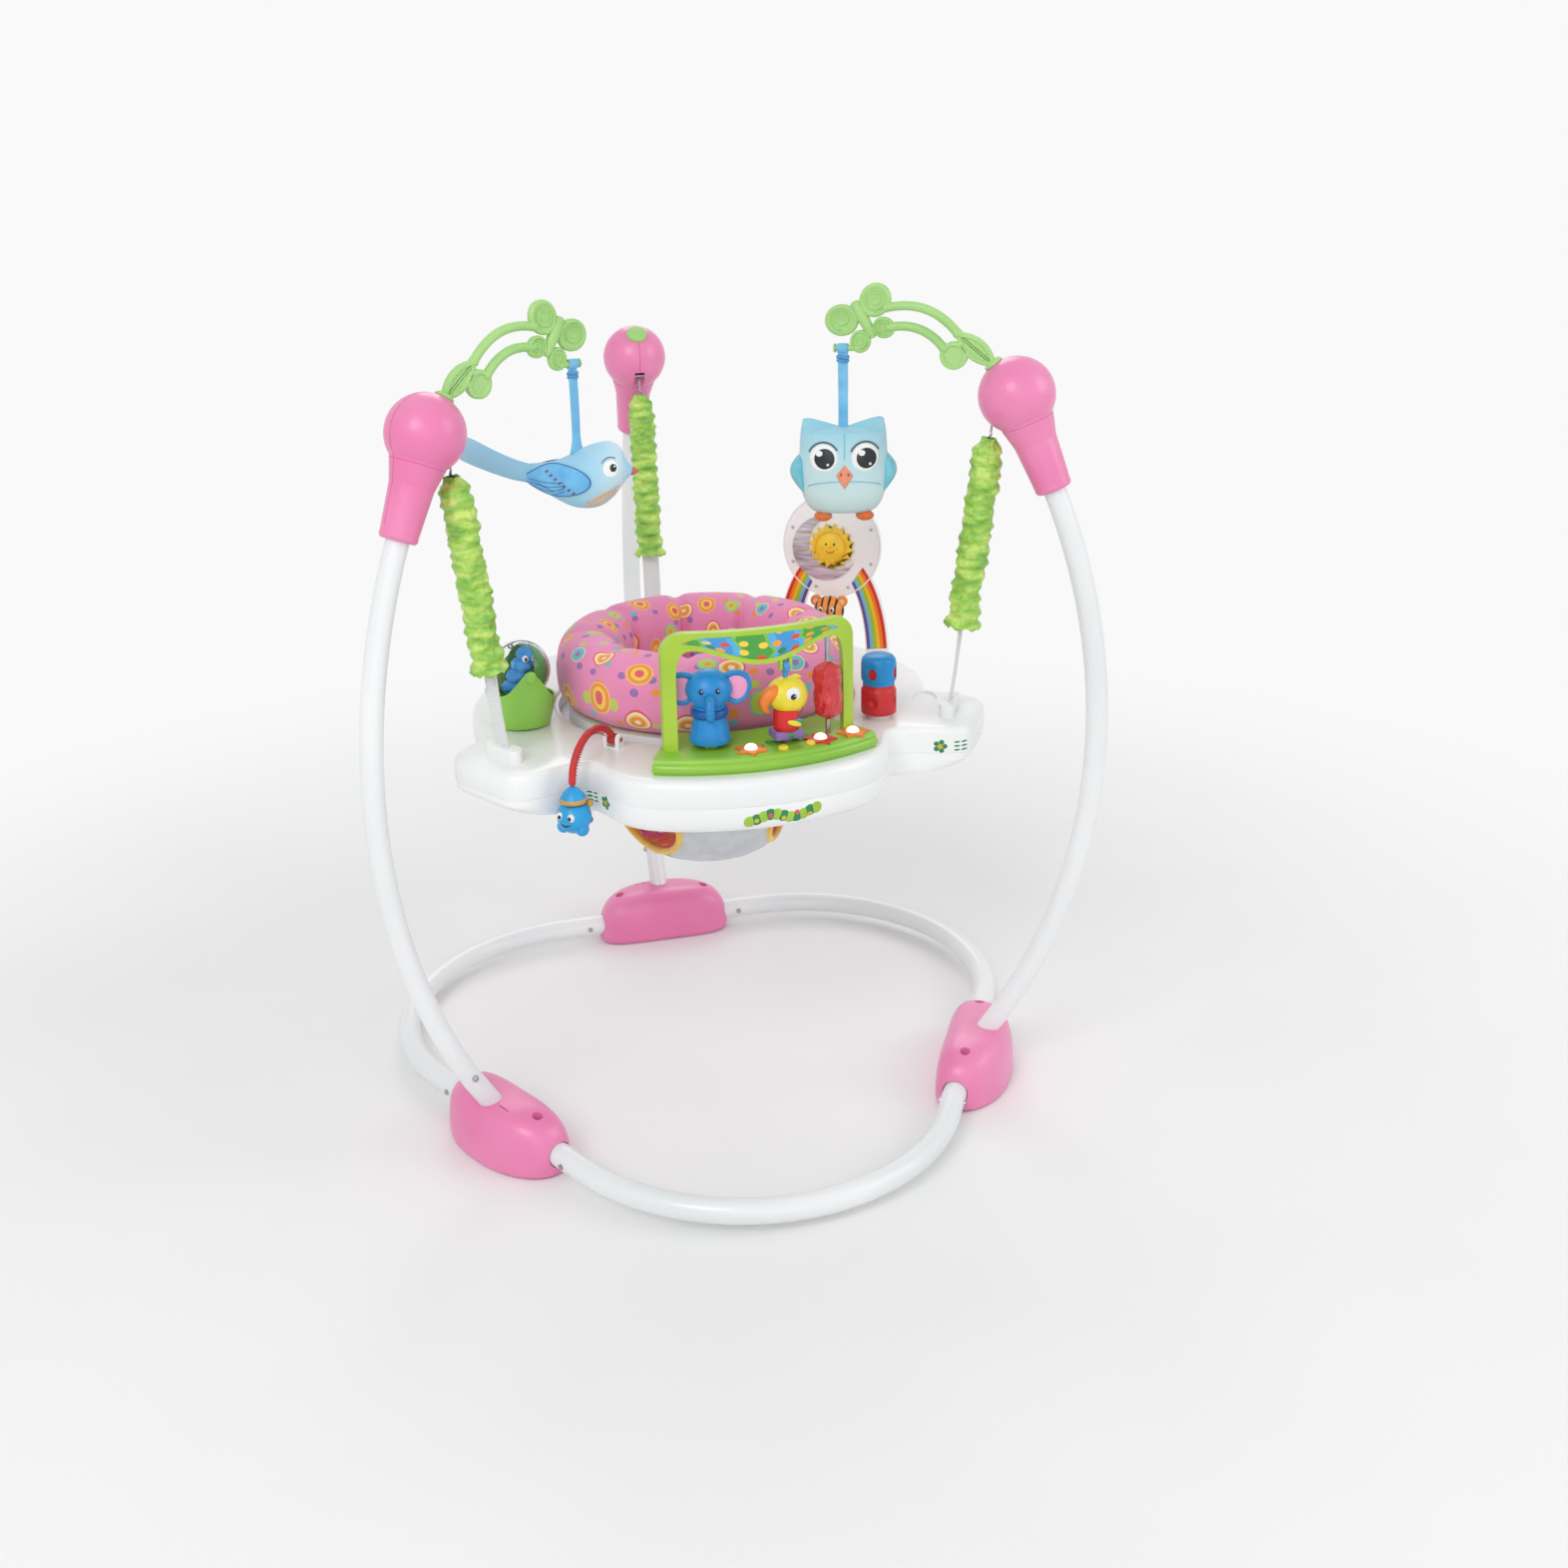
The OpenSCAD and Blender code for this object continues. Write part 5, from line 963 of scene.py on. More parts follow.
# Lamps and buttons: three clear domes over warm lamps, each in a moulded star, and two yellow push buttons
# with a pair of raised leaves behind each.

glow, tree, shader = new_finish("lit_lens", Roughness=0.15, Coat_Weight=0.5, Emission_Color=tint(255, 226, 190),
                                Emission_Strength=0.9)
place = object_place(tree)
painted(tree, shader, clouds(tree, place, 160, 2, tint(255, 244, 226), tint(255, 252, 246)))
raised(tree, shader, noise_at(tree, place, 420, 2), 0.0002)
star_red, star_orange = shade("red_star_plastic", 216, 50, 44), shade("orange_star_plastic", 240, 130, 45)
leaf_green, button_yellow = shade("dark_leaf_plastic", 70, 140, 50), shade("yellow_button_plastic", 246, 214, 52)
lamp_spots = ((-4.5, 0.228, star_orange), (13.5, 0.229, star_red), (22.5, 0.233, star_orange))
button_run, button_spots = 0.234, (3, 10)
lens_profile = ((0.0081, 0.0002), (0.0081, 0.0012), (0.0066, 0.0016), (0.0064, 0.003), (0.0052, 0.005),
                (0.0028, 0.0062), (0, 0.0065))
vein_half, vein_wide = 0.0075, 0.0042


def lathed(profile, count, place, finish):
    """Turned part of a toy, with its finish."""
    return put(turned(profile, count), place), finish


def star(points, outer, inner, thick):
    def outline(t):
        radius = inner if round(t * 2 * points) % 2 else outer
        return radius * math.cos(t * math.tau), radius * math.sin(t * math.tau)
    return plaque(outline, thick, 2 * points, edge=thick * 0.25)


def vein_outline(t):
    along = math.cos(t * math.tau)
    return vein_half * along, vein_wide * math.sin(t * math.tau) * (1 - 0.3 * along)


lenses, bezels = [], []
for off, run, finish in lamp_spots:
    place = on_station(off, run)
    lenses.append(lathed(lens_profile, 32, place, glow))
    for k in range(6):
        rib = [polar(0.0063 * math.cos(a), k * math.pi / 3, 0.0005 + 0.0062 * math.sin(a))
               for a in steps(8, 0.15, 1.3)]
        lenses.append((put(strand(rib, 0.0004, sides=1), place), glow))
    bezels.append((put(star(6, 0.0165, 0.0105, 0.003), place @ at(0, 0, 0.0007) @ turn_x(90)), finish))
for off in button_spots:
    for side in (-1, 1):
        vein = put(plaque(vein_outline, 0.003, 32, edge=0.0008), turn_x(90))
        place = on_station(off, button_run - 0.012) @ turn_z(180 + side * 38) @ at(vein_half, 0, 0.0002)
        bezels.append((put(vein, place), leaf_green))
made = make_piece("lamp_domes", lenses, "tray")
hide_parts("lamp_lenses")
made = make_piece("station_reliefs", bezels, "tray", crease=35)
dress(button_yellow, "button_left", "button_right")

# Elephant: a blue moulding with round ears, a short trunk and a scarf, that rocks on a pin in the station.
# The ears' pink insides, the scarf and the eyes are pad-printed or pressed in.

elephant_blue, scarf_blue = shade("elephant_blue_plastic", 22, 142, 216), shade("scarf_blue_plastic", 4, 88, 170)
ear_pink = shade("ear_pink_plastic", 245, 163, 206)
eye_black, eye_white = shade("eye_black", 26, 26, 30, 0.2), shade("eye_white", 246, 246, 244, 0.25)
place = on_station(-14, 0.206) @ at(0, 0, 0.009)
body = lathed([(0.0128, -0.0038), (0.0198, -0.0038), (0.0202, -0.0022), (0.0196, 0.003), (0.0172, 0.013),
               (0.0152, 0.0215), (0.0148, 0.032), (0, 0.034)], 40, place, elephant_blue)
hub = lathed([(0, -0.0045), (0.0048, -0.0045), (0.0055, -0.0038), (0.0055, 0.0038), (0.0048, 0.0045), (0, 0.0045)],
             28, place @ turn_z(90) @ turn_x(90), elephant_blue)
neck = (put(rod(0.0044, 0, 0.012, 20), place), elephant_blue)
scarf = lathed([(0.0142, 0.0205), (0.0166, 0.0212), (0.0182, 0.0235), (0.0184, 0.0265), (0.0174, 0.0292),
                (0.0142, 0.0302)], 40, place, scarf_blue)
parts = [body, hub, neck, scarf]
head = blob(place @ at(0, 0, 0.0462), (0.0205, 0.0225, 0.0215))
for corner in head.verts:
    local = place.inverted() @ corner.co
    squeeze = 1 - 0.2 * max(0.0, min(1.0, (0.046 - local.z) / 0.02))
    corner.co = place @ Vector((local.x, local.y * squeeze, local.z))
parts.append((head, elephant_blue))


def ear_outline(t):
    turn = t * math.tau
    return 0.0152 * math.cos(turn), 0.0166 * math.sin(turn) + 0.0012 * math.cos(2 * turn)


def blobs(place, *rows):
    """Balls of one toy, each with its spot, half sizes, fineness and finish."""
    return [(blob(place @ at(*spot), size, fine), finish) for spot, size, fine, finish in rows]


for side in (-1, 1):
    ear = plaque(ear_outline, 0.006, 48, 0.0024, 0.0012, 0.0012)
    parts.append((put(ear, place @ at(-0.002, side * 0.0255, 0.0495) @ turn_z(90)), elephant_blue))
    pad = plaque(lambda t: [c * 0.7 for c in ear_outline(t)], 0.0008, 40, edge=0.0003)
    parts.append((put(pad, place @ at(0.0001, side * 0.0262, 0.0490) @ turn_z(90)), ear_pink))
    parts += blobs(place @ at(0.0188, side * 0.0078, 0.0505),
                   ((0, 0, 0), (0.0016, 0.0022, 0.0027), 14, eye_black),
                   ((0.0013, 0.0007, 0.0009), (0.0005, 0.0007, 0.0007), 8, eye_white))
trunk = [Vector((0.0165 + 0.0115 * math.sin(a), 0, 0.0335 + 0.0115 * math.cos(a))) for a in steps(22, 0.05, 2.5)]
taper = [1.1 - 0.32 * t + 0.05 * math.sin(t * 40) for t in steps(22)]
parts.append((put(strand(trunk, 0.0047, radii=taper, sides=5), place), elephant_blue))
elephant = make_piece("elephant_toy", parts, "elephant", crease=60)
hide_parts("elephant")

# Parrot: a bird on a blue loop under the arch, assembled from coloured mouldings: yellow head, orange beak, red body,
# striped wing and a purple box that it stands on. It swings on its pin.

parrot_yellow, beak_orange = shade("parrot_yellow_plastic", 248, 226, 56), shade("beak_orange_plastic", 242, 134, 42)
parrot_red, box_purple = shade("parrot_red_plastic", 220, 36, 34), shade("box_purple_plastic", 142, 112, 182)
wing_green, loop_blue = shade("wing_green_plastic", 52, 146, 92), shade("loop_blue_plastic", 70, 160, 222)
place = on_station(5.5, arch_radius)
loop = lathed([(0.0025, -0.003), (0.0052, -0.003), (0.006, -0.0022), (0.006, 0.0022), (0.0052, 0.003),
               (0.0025, 0.003), (0.0025, -0.003)], 32, place @ at(0, 0, 0.076) @ turn_x(90), loop_blue)
shank = lathed([(0, 0.058), (0.0034, 0.058), (0.0026, 0.064), (0.0026, 0.0715), (0, 0.0715)], 20, place, loop_blue)
parts = [loop, shank]
head = blob(place @ at(0, 0.001, 0.0478), (0.0172, 0.0204, 0.0178))
for corner in head.verts:
    local = place.inverted() @ corner.co
    swing = max(0.0, (0.050 - local.z) / 0.018)
    corner.co = place @ Vector((local.x, local.y + 0.002 * swing, local.z))
parts.append((head, parrot_yellow))
tuft = [Vector((0, 0.006 + 0.010 * t, 0.0625 + 0.002 * math.sin(3 * t))) for t in steps(6)]
parts.append((put(strand(tuft, 0.003, radii=[1, 1, 0.95, 0.85, 0.7, 0.5, 0.3], sides=3), place), parrot_yellow))
hook = [Vector((0.0034, -0.0110 - 0.0125 * math.sin(a), 0.0420 + 0.0108 * math.cos(a)))
        for a in steps(18, 0.0, 2.45)]
taper = [0.98 - 0.82 * t ** 1.6 for t in steps(18)]
parts.append((put(strand(hook, 0.0082, radii=taper, sides=5), place), beak_orange))
eye = place @ at(0.0150, 0.0012, 0.0505) @ turn_y(8)
disc = [(0, 0.0026), (0.004, 0.0024), (0.0068, 0.0013), (0.0082, -0.0012)]
parts.append(lathed(disc, 32, eye @ turn_y(90), eye_white))
parts += blobs(eye, ((0.0024, -0.0006, 0), (0.0010, 0.0031, 0.0031), 14, eye_black),
               ((0.0033, 0.0006, 0.0011), (0.0004, 0.0007, 0.0007), 8, eye_white))
torso = [(0.0095, 0.0125), (0.0122, 0.014), (0.0126, 0.020), (0.0122, 0.028), (0.0118, 0.034), (0, 0.036)]
parts.append(lathed(torso, 36, place, parrot_red))
box = bmesh.new()
bmesh.ops.create_cube(box, size=1)
bmesh.ops.scale(box, vec=(0.021, 0.0285, 0.0088), verts=box.verts)
bmesh.ops.bevel(box, geom=box.edges[:], offset=0.0016, segments=3, profile=0.5, affect="EDGES", material=-1)
parts.append((put(box, place @ at(0, 0, 0.0096)), box_purple))
stud = [(0, 0.0012), (0.0026, 0.001), (0.0032, 0)]
parts.append(lathed(stud, 24, place @ at(0.0104, 0.001, 0.0096) @ turn_y(90), wing_green))
feathers = ((parrot_yellow, 20, 0.015), (wing_green, 2, 0.0165), (loop_blue, -16, 0.0155), (parrot_yellow, -34, 0.012))
for k, (finish, lean, length) in enumerate(feathers):
    feather = put(plaque(ellipse(length / 2, 0.0026), 0.0022, 24, edge=0.0006), at(length / 2, 0, 0))
    root = place @ at(0.0118 - 0.0004 * k, -0.0035, 0.0245 - 0.0022 * k)
    parts.append((put(feather, root @ turn_z(90) @ turn_y(lean)), finish))
parrot = make_piece("parrot_toy", parts, "parrot", crease=60)
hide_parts("parrot")

# Spinner: a red barrel with crumpled sides, moulded round a steel axle between the station and the arch.
# It turns freely, and its folds catch the light.

spinner_red = shade("spinner_red_plastic", 214, 42, 50, 0.22, Coat_Weight=0.4)


def spinner_place(u, v):
    turn = u * math.tau
    end = min(1.0, 4.5 * min(v, 1 - v) ** 0.75)
    spot = polar(1.8, turn, 4.2 * v)
    fold = 0.0016 * noise.noise(spot * 1.3) + 0.0008 * noise.noise(spot * 3.1)
    fold -= 0.0011 * abs(math.sin(2.5 * turn + 1.2 * math.sin(5 * v)))
    radius = max(0.0, (0.0138 + 0.0006 * math.cos(6 * math.pi * v)) * end + fold * end)
    return polar(radius, turn, 0.014 + 0.060 * v)


place = on_station(17.8, arch_radius)
barrel, axle = draped(72, 72, spinner_place), rod(0.0025, -0.006, 0.1089, 20)
parts = [(put(barrel, place), spinner_red), (put(axle, place), steel)]
spinner = make_piece("spinner_toy", parts, "spinner", crease=60)
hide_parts("spinner")

# Globe: a clear ball, half of it lined with dark green, round a shaggy blue figure. It rolls on two pins between the
# ears of a light green cup, whose rim sweeps up to them. A dark hoop joins the ball's halves.

# The cup's green is set lighter than the moulding's own green: painted light that makes up for the shade the cup stands
# in.
cup_green = moulded("cup_green_plastic", tint(152, 214, 88), tint(140, 203, 76), 0.32, 900, 0.00003, 14,
                    Coat_Weight=0.2)
globe_shell, tree, shader = new_finish("clear_globe_plastic", Roughness=0.03, Transmission_Weight=1.0, IOR=1.12,
                                       Coat_Weight=0.3)
place = object_place(tree)
painted(tree, shader, clouds(tree, place, 30, 2, tint(246, 250, 252), tint(252, 254, 254)))
raised(tree, shader, noise_at(tree, place, 90, 2), 0.00002)
dress(globe_shell, "globe")
globe_azimuth, globe_run, pin_up = 190, 0.202, 0.058
cup_frame = on_tray(globe_azimuth, globe_run, tray_top_z)
cup_rows = ([(0, 0, 0)] + [(1, share, 0) for share in (0, 0.05, 0.2, 0.4, 0.6, 0.8, 0.95, 1)]
            + [(1, share, 1) for share in (1, 0.95, 0.8, 0.6, 0.4, 0.2, 0.09)] + [(0, 0.09, 1)])
cup_foot, cup_wide, cup_wall, cup_low, cup_sweep = 0.0270, 0.0364, 0.0030, 0.0350, 0.0290


def cup_place(u, v):
    """Bowl whose rim sweeps up to the globe's two pins; v runs up the outside, over the rim and down the inside."""
    spread, share, inside = cup_rows[round(v * (len(cup_rows) - 1))]
    turn = u * math.tau
    height = share * (cup_low + cup_sweep * abs(math.sin(turn)) ** 7 + 0.005 * math.cos(turn))
    flare = (cup_wide - cup_foot) * min(1.0, height / 0.040) ** 0.75 + 0.0012 * share ** 6
    return cup_frame @ polar(spread * (cup_foot + flare - cup_wall * inside), turn, height)


parts = [(draped(72, len(cup_rows) - 1, cup_place), cup_green)]
boss = [(0, 0.0405), (0.0040, 0.0404), (0.0052, 0.0394), (0.0056, 0.0372), (0.0072, 0.0350)]
for side in (-1, 1):
    parts.append(lathed(boss, 32, cup_frame @ at(0, 0, pin_up) @ turn_x(90 * side), cup_green))
bowl_moulding = rounder(make_piece("globe_cup_moulding", parts, "tray"), 1)
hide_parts("globe_cup")
hoop_grey = shade("hoop_grey_plastic", 70, 76, 78)
half_green, figure_blue = shade("dark_green_plastic", 72, 146, 56), shade("figure_blue_plastic", 48, 150, 224, 0.6)
globe_place = on_tray(globe_azimuth, globe_run, tray_top_z + pin_up)
parts = []
for k in range(4):
    spine = blob(globe_place @ at(0.0085 - 0.0048 * k, 0.0050, -0.0150 + 0.0105 * k),
                 (0.0128 - 0.0009 * k, 0.0128, 0.0078), 22)
    for corner in spine.verts:
        corner.co += 0.0026 * abs(noise.noise(corner.co * 260)) * (corner.co - globe_place.translation).normalized()
    parts.append((spine, figure_blue))
for k in range(-2, 3):
    tuft = [Vector((-0.006 + 0.0012 * k * t, 0.005 + 0.0016 * k * t, 0.0185 + 0.0075 * t)) for t in steps(4)]
    parts.append((put(strand(tuft, 0.0012, radii=[1, 0.9, 0.75, 0.5, 0.2], sides=2), globe_place), figure_blue))
for side in (-1, 1):
    parts += blobs(globe_place,
                   ((-0.006 + side * 0.0046, 0.0165, 0.0155), (0.0032, 0.0022, 0.0036), 12, eye_white),
                   ((-0.006 + side * 0.0044, 0.0184, 0.0153), (0.0016, 0.0010, 0.002), 10, eye_black))
figure = make_piece("globe_figure_toy", parts, "globe", crease=80)
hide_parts("globe_figure")
bowl = turned([(0.0001, -0.0284), (0.009, -0.0270), (0.0185, -0.0216), (0.0255, -0.0126), (0.0279, -0.004),
               (0.0284, 0.001), (0.0274, 0.001), (0.0268, -0.004), (0.0244, -0.0122), (0.0176, -0.0206),
               (0.0086, -0.0256), (0.0001, -0.0272)], 40)
put(bowl, globe_place @ turn_z(14) @ turn_y(72))
hoop = [globe_place @ Vector((0.0299 * math.cos(a), 0, 0.0299 * math.sin(a))) for a in ring_steps(80, math.tau)]
curl = [globe_place @ Vector((0.008 + 0.0034 * t * math.cos(7 * t), 0.0020, 0.0268 + 0.0034 * t * math.sin(7 * t)))
        for t in steps(24)]
half = make_piece("globe_half", [(bowl, half_green), (strand(hoop, 0.0008, closed=True, sides=2), hoop_grey),
                                 (strand(curl, 0.0008, sides=2), hoop_grey)], "globe")

# Stalk: a red bendy stem in a fork on the tray, with a blue creature hung over the tray's edge.
# The stem is ribbed rubber over a spring; the creature is moulded, with an orange band.

stalk_red = shade("stalk_red_rubber", 204, 44, 48, 0.5)
creature_blue, band_orange = shade("creature_blue_plastic", 34, 166, 230), shade("band_orange_plastic", 214, 168, 84)
stalk_place = on_tray(228, 0.182, 0.429)
stalk_reach, stalk_fall, stalk_bulge = 0.076, 0.020, 0.030
dress(stalk_red, "stalk")


def stalk_point(s):
    """Point of the bowed stem, s of the way along it."""
    rise = Vector((stalk_fall, 0, stalk_reach)).normalized()
    return Vector((stalk_reach * s, 0, -stalk_fall * s)) + rise * 4 * stalk_bulge * s * (1 - s)


rings = []
for t in steps(34, 0.12, 0.97):
    spot, ahead = stalk_point(t), stalk_point(t + 0.01)
    facing = (ahead - spot).to_track_quat("Z", "X").to_matrix().to_4x4()
    rings.append(lathed([(0.0034, -0.0004), (0.0038, 0), (0.0034, 0.0004)], 16,
                        stalk_place @ Matrix.Translation(spot) @ facing, stalk_red))
ribs = make_piece("stalk_ribs", rings, "stalk")
place = stalk_place @ at(stalk_reach, 0, -stalk_fall - 0.0037)
cap = lathed([(0, 0), (0.0033, -0.0002), (0.0060, -0.0022), (0.0104, -0.0072), (0.0126, -0.0108), (0, -0.012)], 36,
             place, creature_blue)
band = lathed([(0.0112, -0.0102), (0.0128, -0.0108), (0.0134, -0.013), (0.0128, -0.0153), (0.0112, -0.016)], 36,
              place, band_orange)
parts = [cap, band] + blobs(place, ((0, 0, -0.0303), (0.0168, 0.0168, 0.0166), 24, creature_blue))
for side in (-1, 1):
    parts += blobs(place, ((0.003, side * 0.0105, -0.0412), (0.0068, 0.0066, 0.0066), 16, creature_blue),
                   ((0.0145, side * 0.0062, -0.0262), (0.0026, 0.0036, 0.0042), 14, eye_white),
                   ((0.0166, side * 0.0058, -0.0264), (0.0012, 0.0018, 0.0022), 10, eye_black))
humps = ((-0.011, -0.020), (0.011, -0.019), (0.0, -0.045), (-0.009, -0.034), (0.010, -0.036))
for k, (across, up) in enumerate(humps):
    finish = band_orange if k % 2 else creature_blue
    parts += blobs(place, ((-0.0105, across, up), (0.0042, 0.0038, 0.0038), 12, finish))
smile = [Vector((0.0166 - 0.0012 * abs(t), 0.005 * t, -0.0352 + 0.0018 * t * t)) for t in steps(10, -1, 1)]
parts.append((put(strand(smile, 0.0007, sides=1), place), eye_black))
creature = make_piece("stalk_creature_toy", parts, "stalk", crease=60)
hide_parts("stalk_creature")

# Drum: a red lower and a blue upper moulding on one post, that turn together. Round dimples give a grip.
# The two halves clip together at a narrow waist.

drum_red, drum_blue = shade("drum_red_plastic", 214, 38, 44), shade("drum_blue_plastic", 6, 146, 220)
place = on_tray(321, 0.200, 0.4243)
lower = lathed([(0.006, 0), (0.0165, 0), (0.0176, 0.0006), (0.018, 0.0018), (0.018, 0.0245), (0.0174, 0.0260),
                (0.0162, 0.0276), (0.0162, 0.031), (0.006, 0.031), (0.006, 0)], 48, place, drum_red)
upper = lathed([(0.006, 0.0312), (0.0162, 0.0312), (0.0162, 0.0338), (0.0174, 0.0354), (0.018, 0.0368),
                (0.018, 0.0520), (0.0172, 0.0570), (0.0148, 0.0602), (0.0105, 0.0618), (0, 0.0620)], 48, place,
               drum_blue)
drum = make_piece("drum_toy", [lower, upper], crease=40)
sides = [place @ turn_z(90 * k) for k in range(4)]
dimples = [blob(side @ at(0.0187, 0, 0.0136), (0.0046, 0.0055, 0.0055), 16) for side in sides]
dimples += [put(plaque(ellipse(0.0042, 0.0060), 0.004, 28), side @ at(0.0183, 0, 0.0445) @ turn_z(90))
            for side in sides]
carve(drum, dimples)
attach(drum, "drum")
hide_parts("drum")

# Sun tower: a white oval panel on two bowed legs, with rainbow foil on the legs, a mirror moon and a turning sun.
# Small grey studs hold the two halves of the panel.

tower_azimuth, tower_facing = 28, 240
tower_place = on_tray(tower_azimuth, 0.198, tray_top_z) @ turn_z(tower_facing - tower_azimuth)
sun_up = 0.130
stud_ring, bead_ring, foil_out = (0.0485, 0.0515), (0.0552, 0.0586), 0.00425
leg_outer, leg_inner = (0.065, 0.130), (0.039, 0.104)
# The panel's white is set a little lighter than the tray's white plastic: painted light that makes up for the shade the
# panel falls in.
tower_white = moulded("white_tower_plastic", tint(252, 252, 252), tint(247, 248, 249), 0.25, 1100, 0.00002, 6,
                      Coat_Weight=0.3)
dress(tower_white, "sun_tower")
foil, tree, shader = new_finish("rainbow_foil", Roughness=0.3, Coat_Weight=0.3)
across = add_node(tree, "SeparateXYZ", {"Vector": lay_of(tree)}).outputs["X"]
bands = [tint(110, 85, 160), tint(110, 195, 225), tint(165, 195, 30), tint(240, 195, 40), tint(245, 130, 25),
         tint(215, 40, 25)]
painted(tree, shader, colour_bar(tree, across, [(k / 6, colour) for k, colour in enumerate(bands)], "CONSTANT"))
raised(tree, shader, noise_at(tree, object_place(tree), 500, 2), 0.00003)


def foil_place(side, face):
    def place(u, v):
        share = 0.06 + 0.88 * u
        wide = leg_inner[0] + (leg_outer[0] - leg_inner[0]) * share
        tall = leg_inner[1] + (leg_outer[1] - leg_inner[1]) * share
        turn = math.radians(6 + 50 * v)
        return tower_place @ Vector((face * foil_out, side * wide * math.cos(turn), tall * math.sin(turn)))
    return place


strips = [(draped(12, 40, foil_place(side, face)), foil) for side in (-1, 1) for face in (-1, 1)]
stripes = make_piece("rainbow_strips", strips, "tray", crease=180)
stripes.modifiers.new("foil", "SOLIDIFY").thickness = 0.0005
stripes.modifiers["foil"].offset = 0
stud_grey = shade("stud_grey_plastic", 190, 194, 198)
stud = [(0, 0.0009), (0.0012, 0.0008), (0.002, 0.0002), (0.0021, -0.0006)]
studs = []
for k in range(8):
    turn = math.tau * (k + 0.5) / 8
    spot = tower_place @ at(0.004, stud_ring[0] * math.cos(turn), sun_up + stud_ring[1] * math.sin(turn))
    studs.append(lathed(stud, 20, spot @ turn_y(90), stud_grey))
bead = [tower_place @ Vector((0.0036, bead_ring[0] * math.cos(a), sun_up + bead_ring[1] * math.sin(a)))
        for a in ring_steps(64, math.tau)]
studs.append((strand(bead, 0.0012, closed=True, sides=2), tray_plastic))
trim = make_piece("tower_studs", studs, "tray")
mirror, tree, shader = new_finish("mirror_film", Metallic=1.0)
streak = noise_at(tree, scaled(tree, object_place(tree), (40, 40, 300)), 1.0, 4)
painted(tree, shader, colour_bar(tree, streak, [(0.3, tint(168, 172, 178)), (0.5, tint(206, 210, 214)),
                                                (0.7, tint(236, 238, 240))]))
tree.links.new(in_range(tree, streak, 0.3, 0.5), shader.inputs["Roughness"])
raised(tree, shader, streak, 0.0003, 0.5)
dress(mirror, "moon_mirror")
sun_yellow, sun_amber = shade("sun_yellow_plastic", 255, 214, 52), shade("sun_amber_plastic", 250, 186, 40)
cheek_pink, smile_red = shade("cheek_pink", 244, 140, 130), shade("smile_red", 214, 50, 40)
sun_place = tower_place @ at(0, 0, sun_up)
sun_face = 0.0102
rays = 16


def flame(t):
    ray = t * rays % 1
    radius = 0.0202 + 0.0068 * (ray / 0.62 if ray < 0.62 else (1 - ray) / 0.38) ** 1.2
    turn = t * math.tau + 0.03 * math.sin(ray * math.tau)
    return radius * math.cos(turn), radius * math.sin(turn)


disc = plaque(flame, 0.0045, rays * 10, edge=0.0008)
dome = [(0, 0.0030), (0.006, 0.0027), (0.0118, 0.0016), (0.0164, 0.0001), (0.0164, -0.001)]
parts = [(put(disc, sun_place @ at(sun_face - 0.0026, 0, 0) @ turn_z(90)), sun_yellow),
         lathed(dome, 40, sun_place @ at(sun_face, 0, 0) @ turn_y(90), sun_yellow)]
ring = [Vector((sun_face + 0.0003, 0.0168 * math.cos(a), 0.0168 * math.sin(a))) for a in ring_steps(48, math.tau)]
parts.append((put(strand(ring, 0.0010, closed=True, sides=2), sun_place), sun_amber))
parts.append((put(rod(0.0029, -0.004, 0.008, 20), sun_place @ turn_y(90)), sun_amber))
for side in (-1, 1):
    parts += blobs(sun_place, ((sun_face + 0.0024, side * 0.0046, 0.0034), (0.0008, 0.0012, 0.0017), 10, eye_black),
                   ((sun_face + 0.0017, side * 0.0080, -0.0018), (0.0007, 0.0019, 0.0016), 10, cheek_pink))
parts += blobs(sun_place, ((sun_face + 0.0028, 0, -0.0002), (0.0012, 0.0017, 0.0014), 10, sun_amber))
smile = [Vector((sun_face + 0.0026 - 0.0006 * abs(t), 0.0048 * t, -0.0062 + 0.0024 * t * t))
         for t in steps(12, -1, 1)]
parts.append((put(strand(smile, 0.0008, sides=2), sun_place), smile_red))
sun_toy = make_piece("sun_toy", parts, "sun", crease=40)
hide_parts("sun")

# Tiger: a small orange moulding that peers out under the panel, with painted black stripes and pale ears.
# It is screwed to the tray from below.

tiger_coat, tree, shader = new_finish("tiger_coat", Roughness=0.38)
place = object_place(tree)
local = add_node(tree, "Mapping", {"Vector": place, "Rotation": (0, 0, -math.radians(tower_facing))}).outputs["Vector"]
band = add_node(tree, "TexWave", {"Vector": local, "Scale": 42.0, "Distortion": 1.6, "Detail": 1.0},
                bands_direction="Y").outputs["Fac"]
painted(tree, shader, colour_bar(tree, band, [(0, tint(34, 28, 26)), (0.26, tint(240, 146, 52))], "CONSTANT"))
raised(tree, shader, noise_at(tree, place, 900, 2), 0.00004)
tiger_orange, ear_cream = shade("tiger_orange_plastic", 242, 150, 56), shade("ear_cream_plastic", 250, 214, 170)
place = tower_place @ at(0.020, 0, 0)
body = [(0.0142, 0.0002), (0.0150, 0.0008), (0.0150, 0.003), (0.0132, 0.022), (0.0112, 0.042), (0.0106, 0.052),
        (0, 0.054)]
parts = [lathed(body, 36, place, tiger_coat)]
parts += blobs(place, ((0, 0, 0.059), (0.0162, 0.0172, 0.0166), 24, tiger_coat),
               ((0.0118, 0, 0.0532), (0.0062, 0.0082, 0.0058), 18, ear_cream),
               ((0.0172, 0, 0.0562), (0.0018, 0.0027, 0.0019), 12, eye_black))
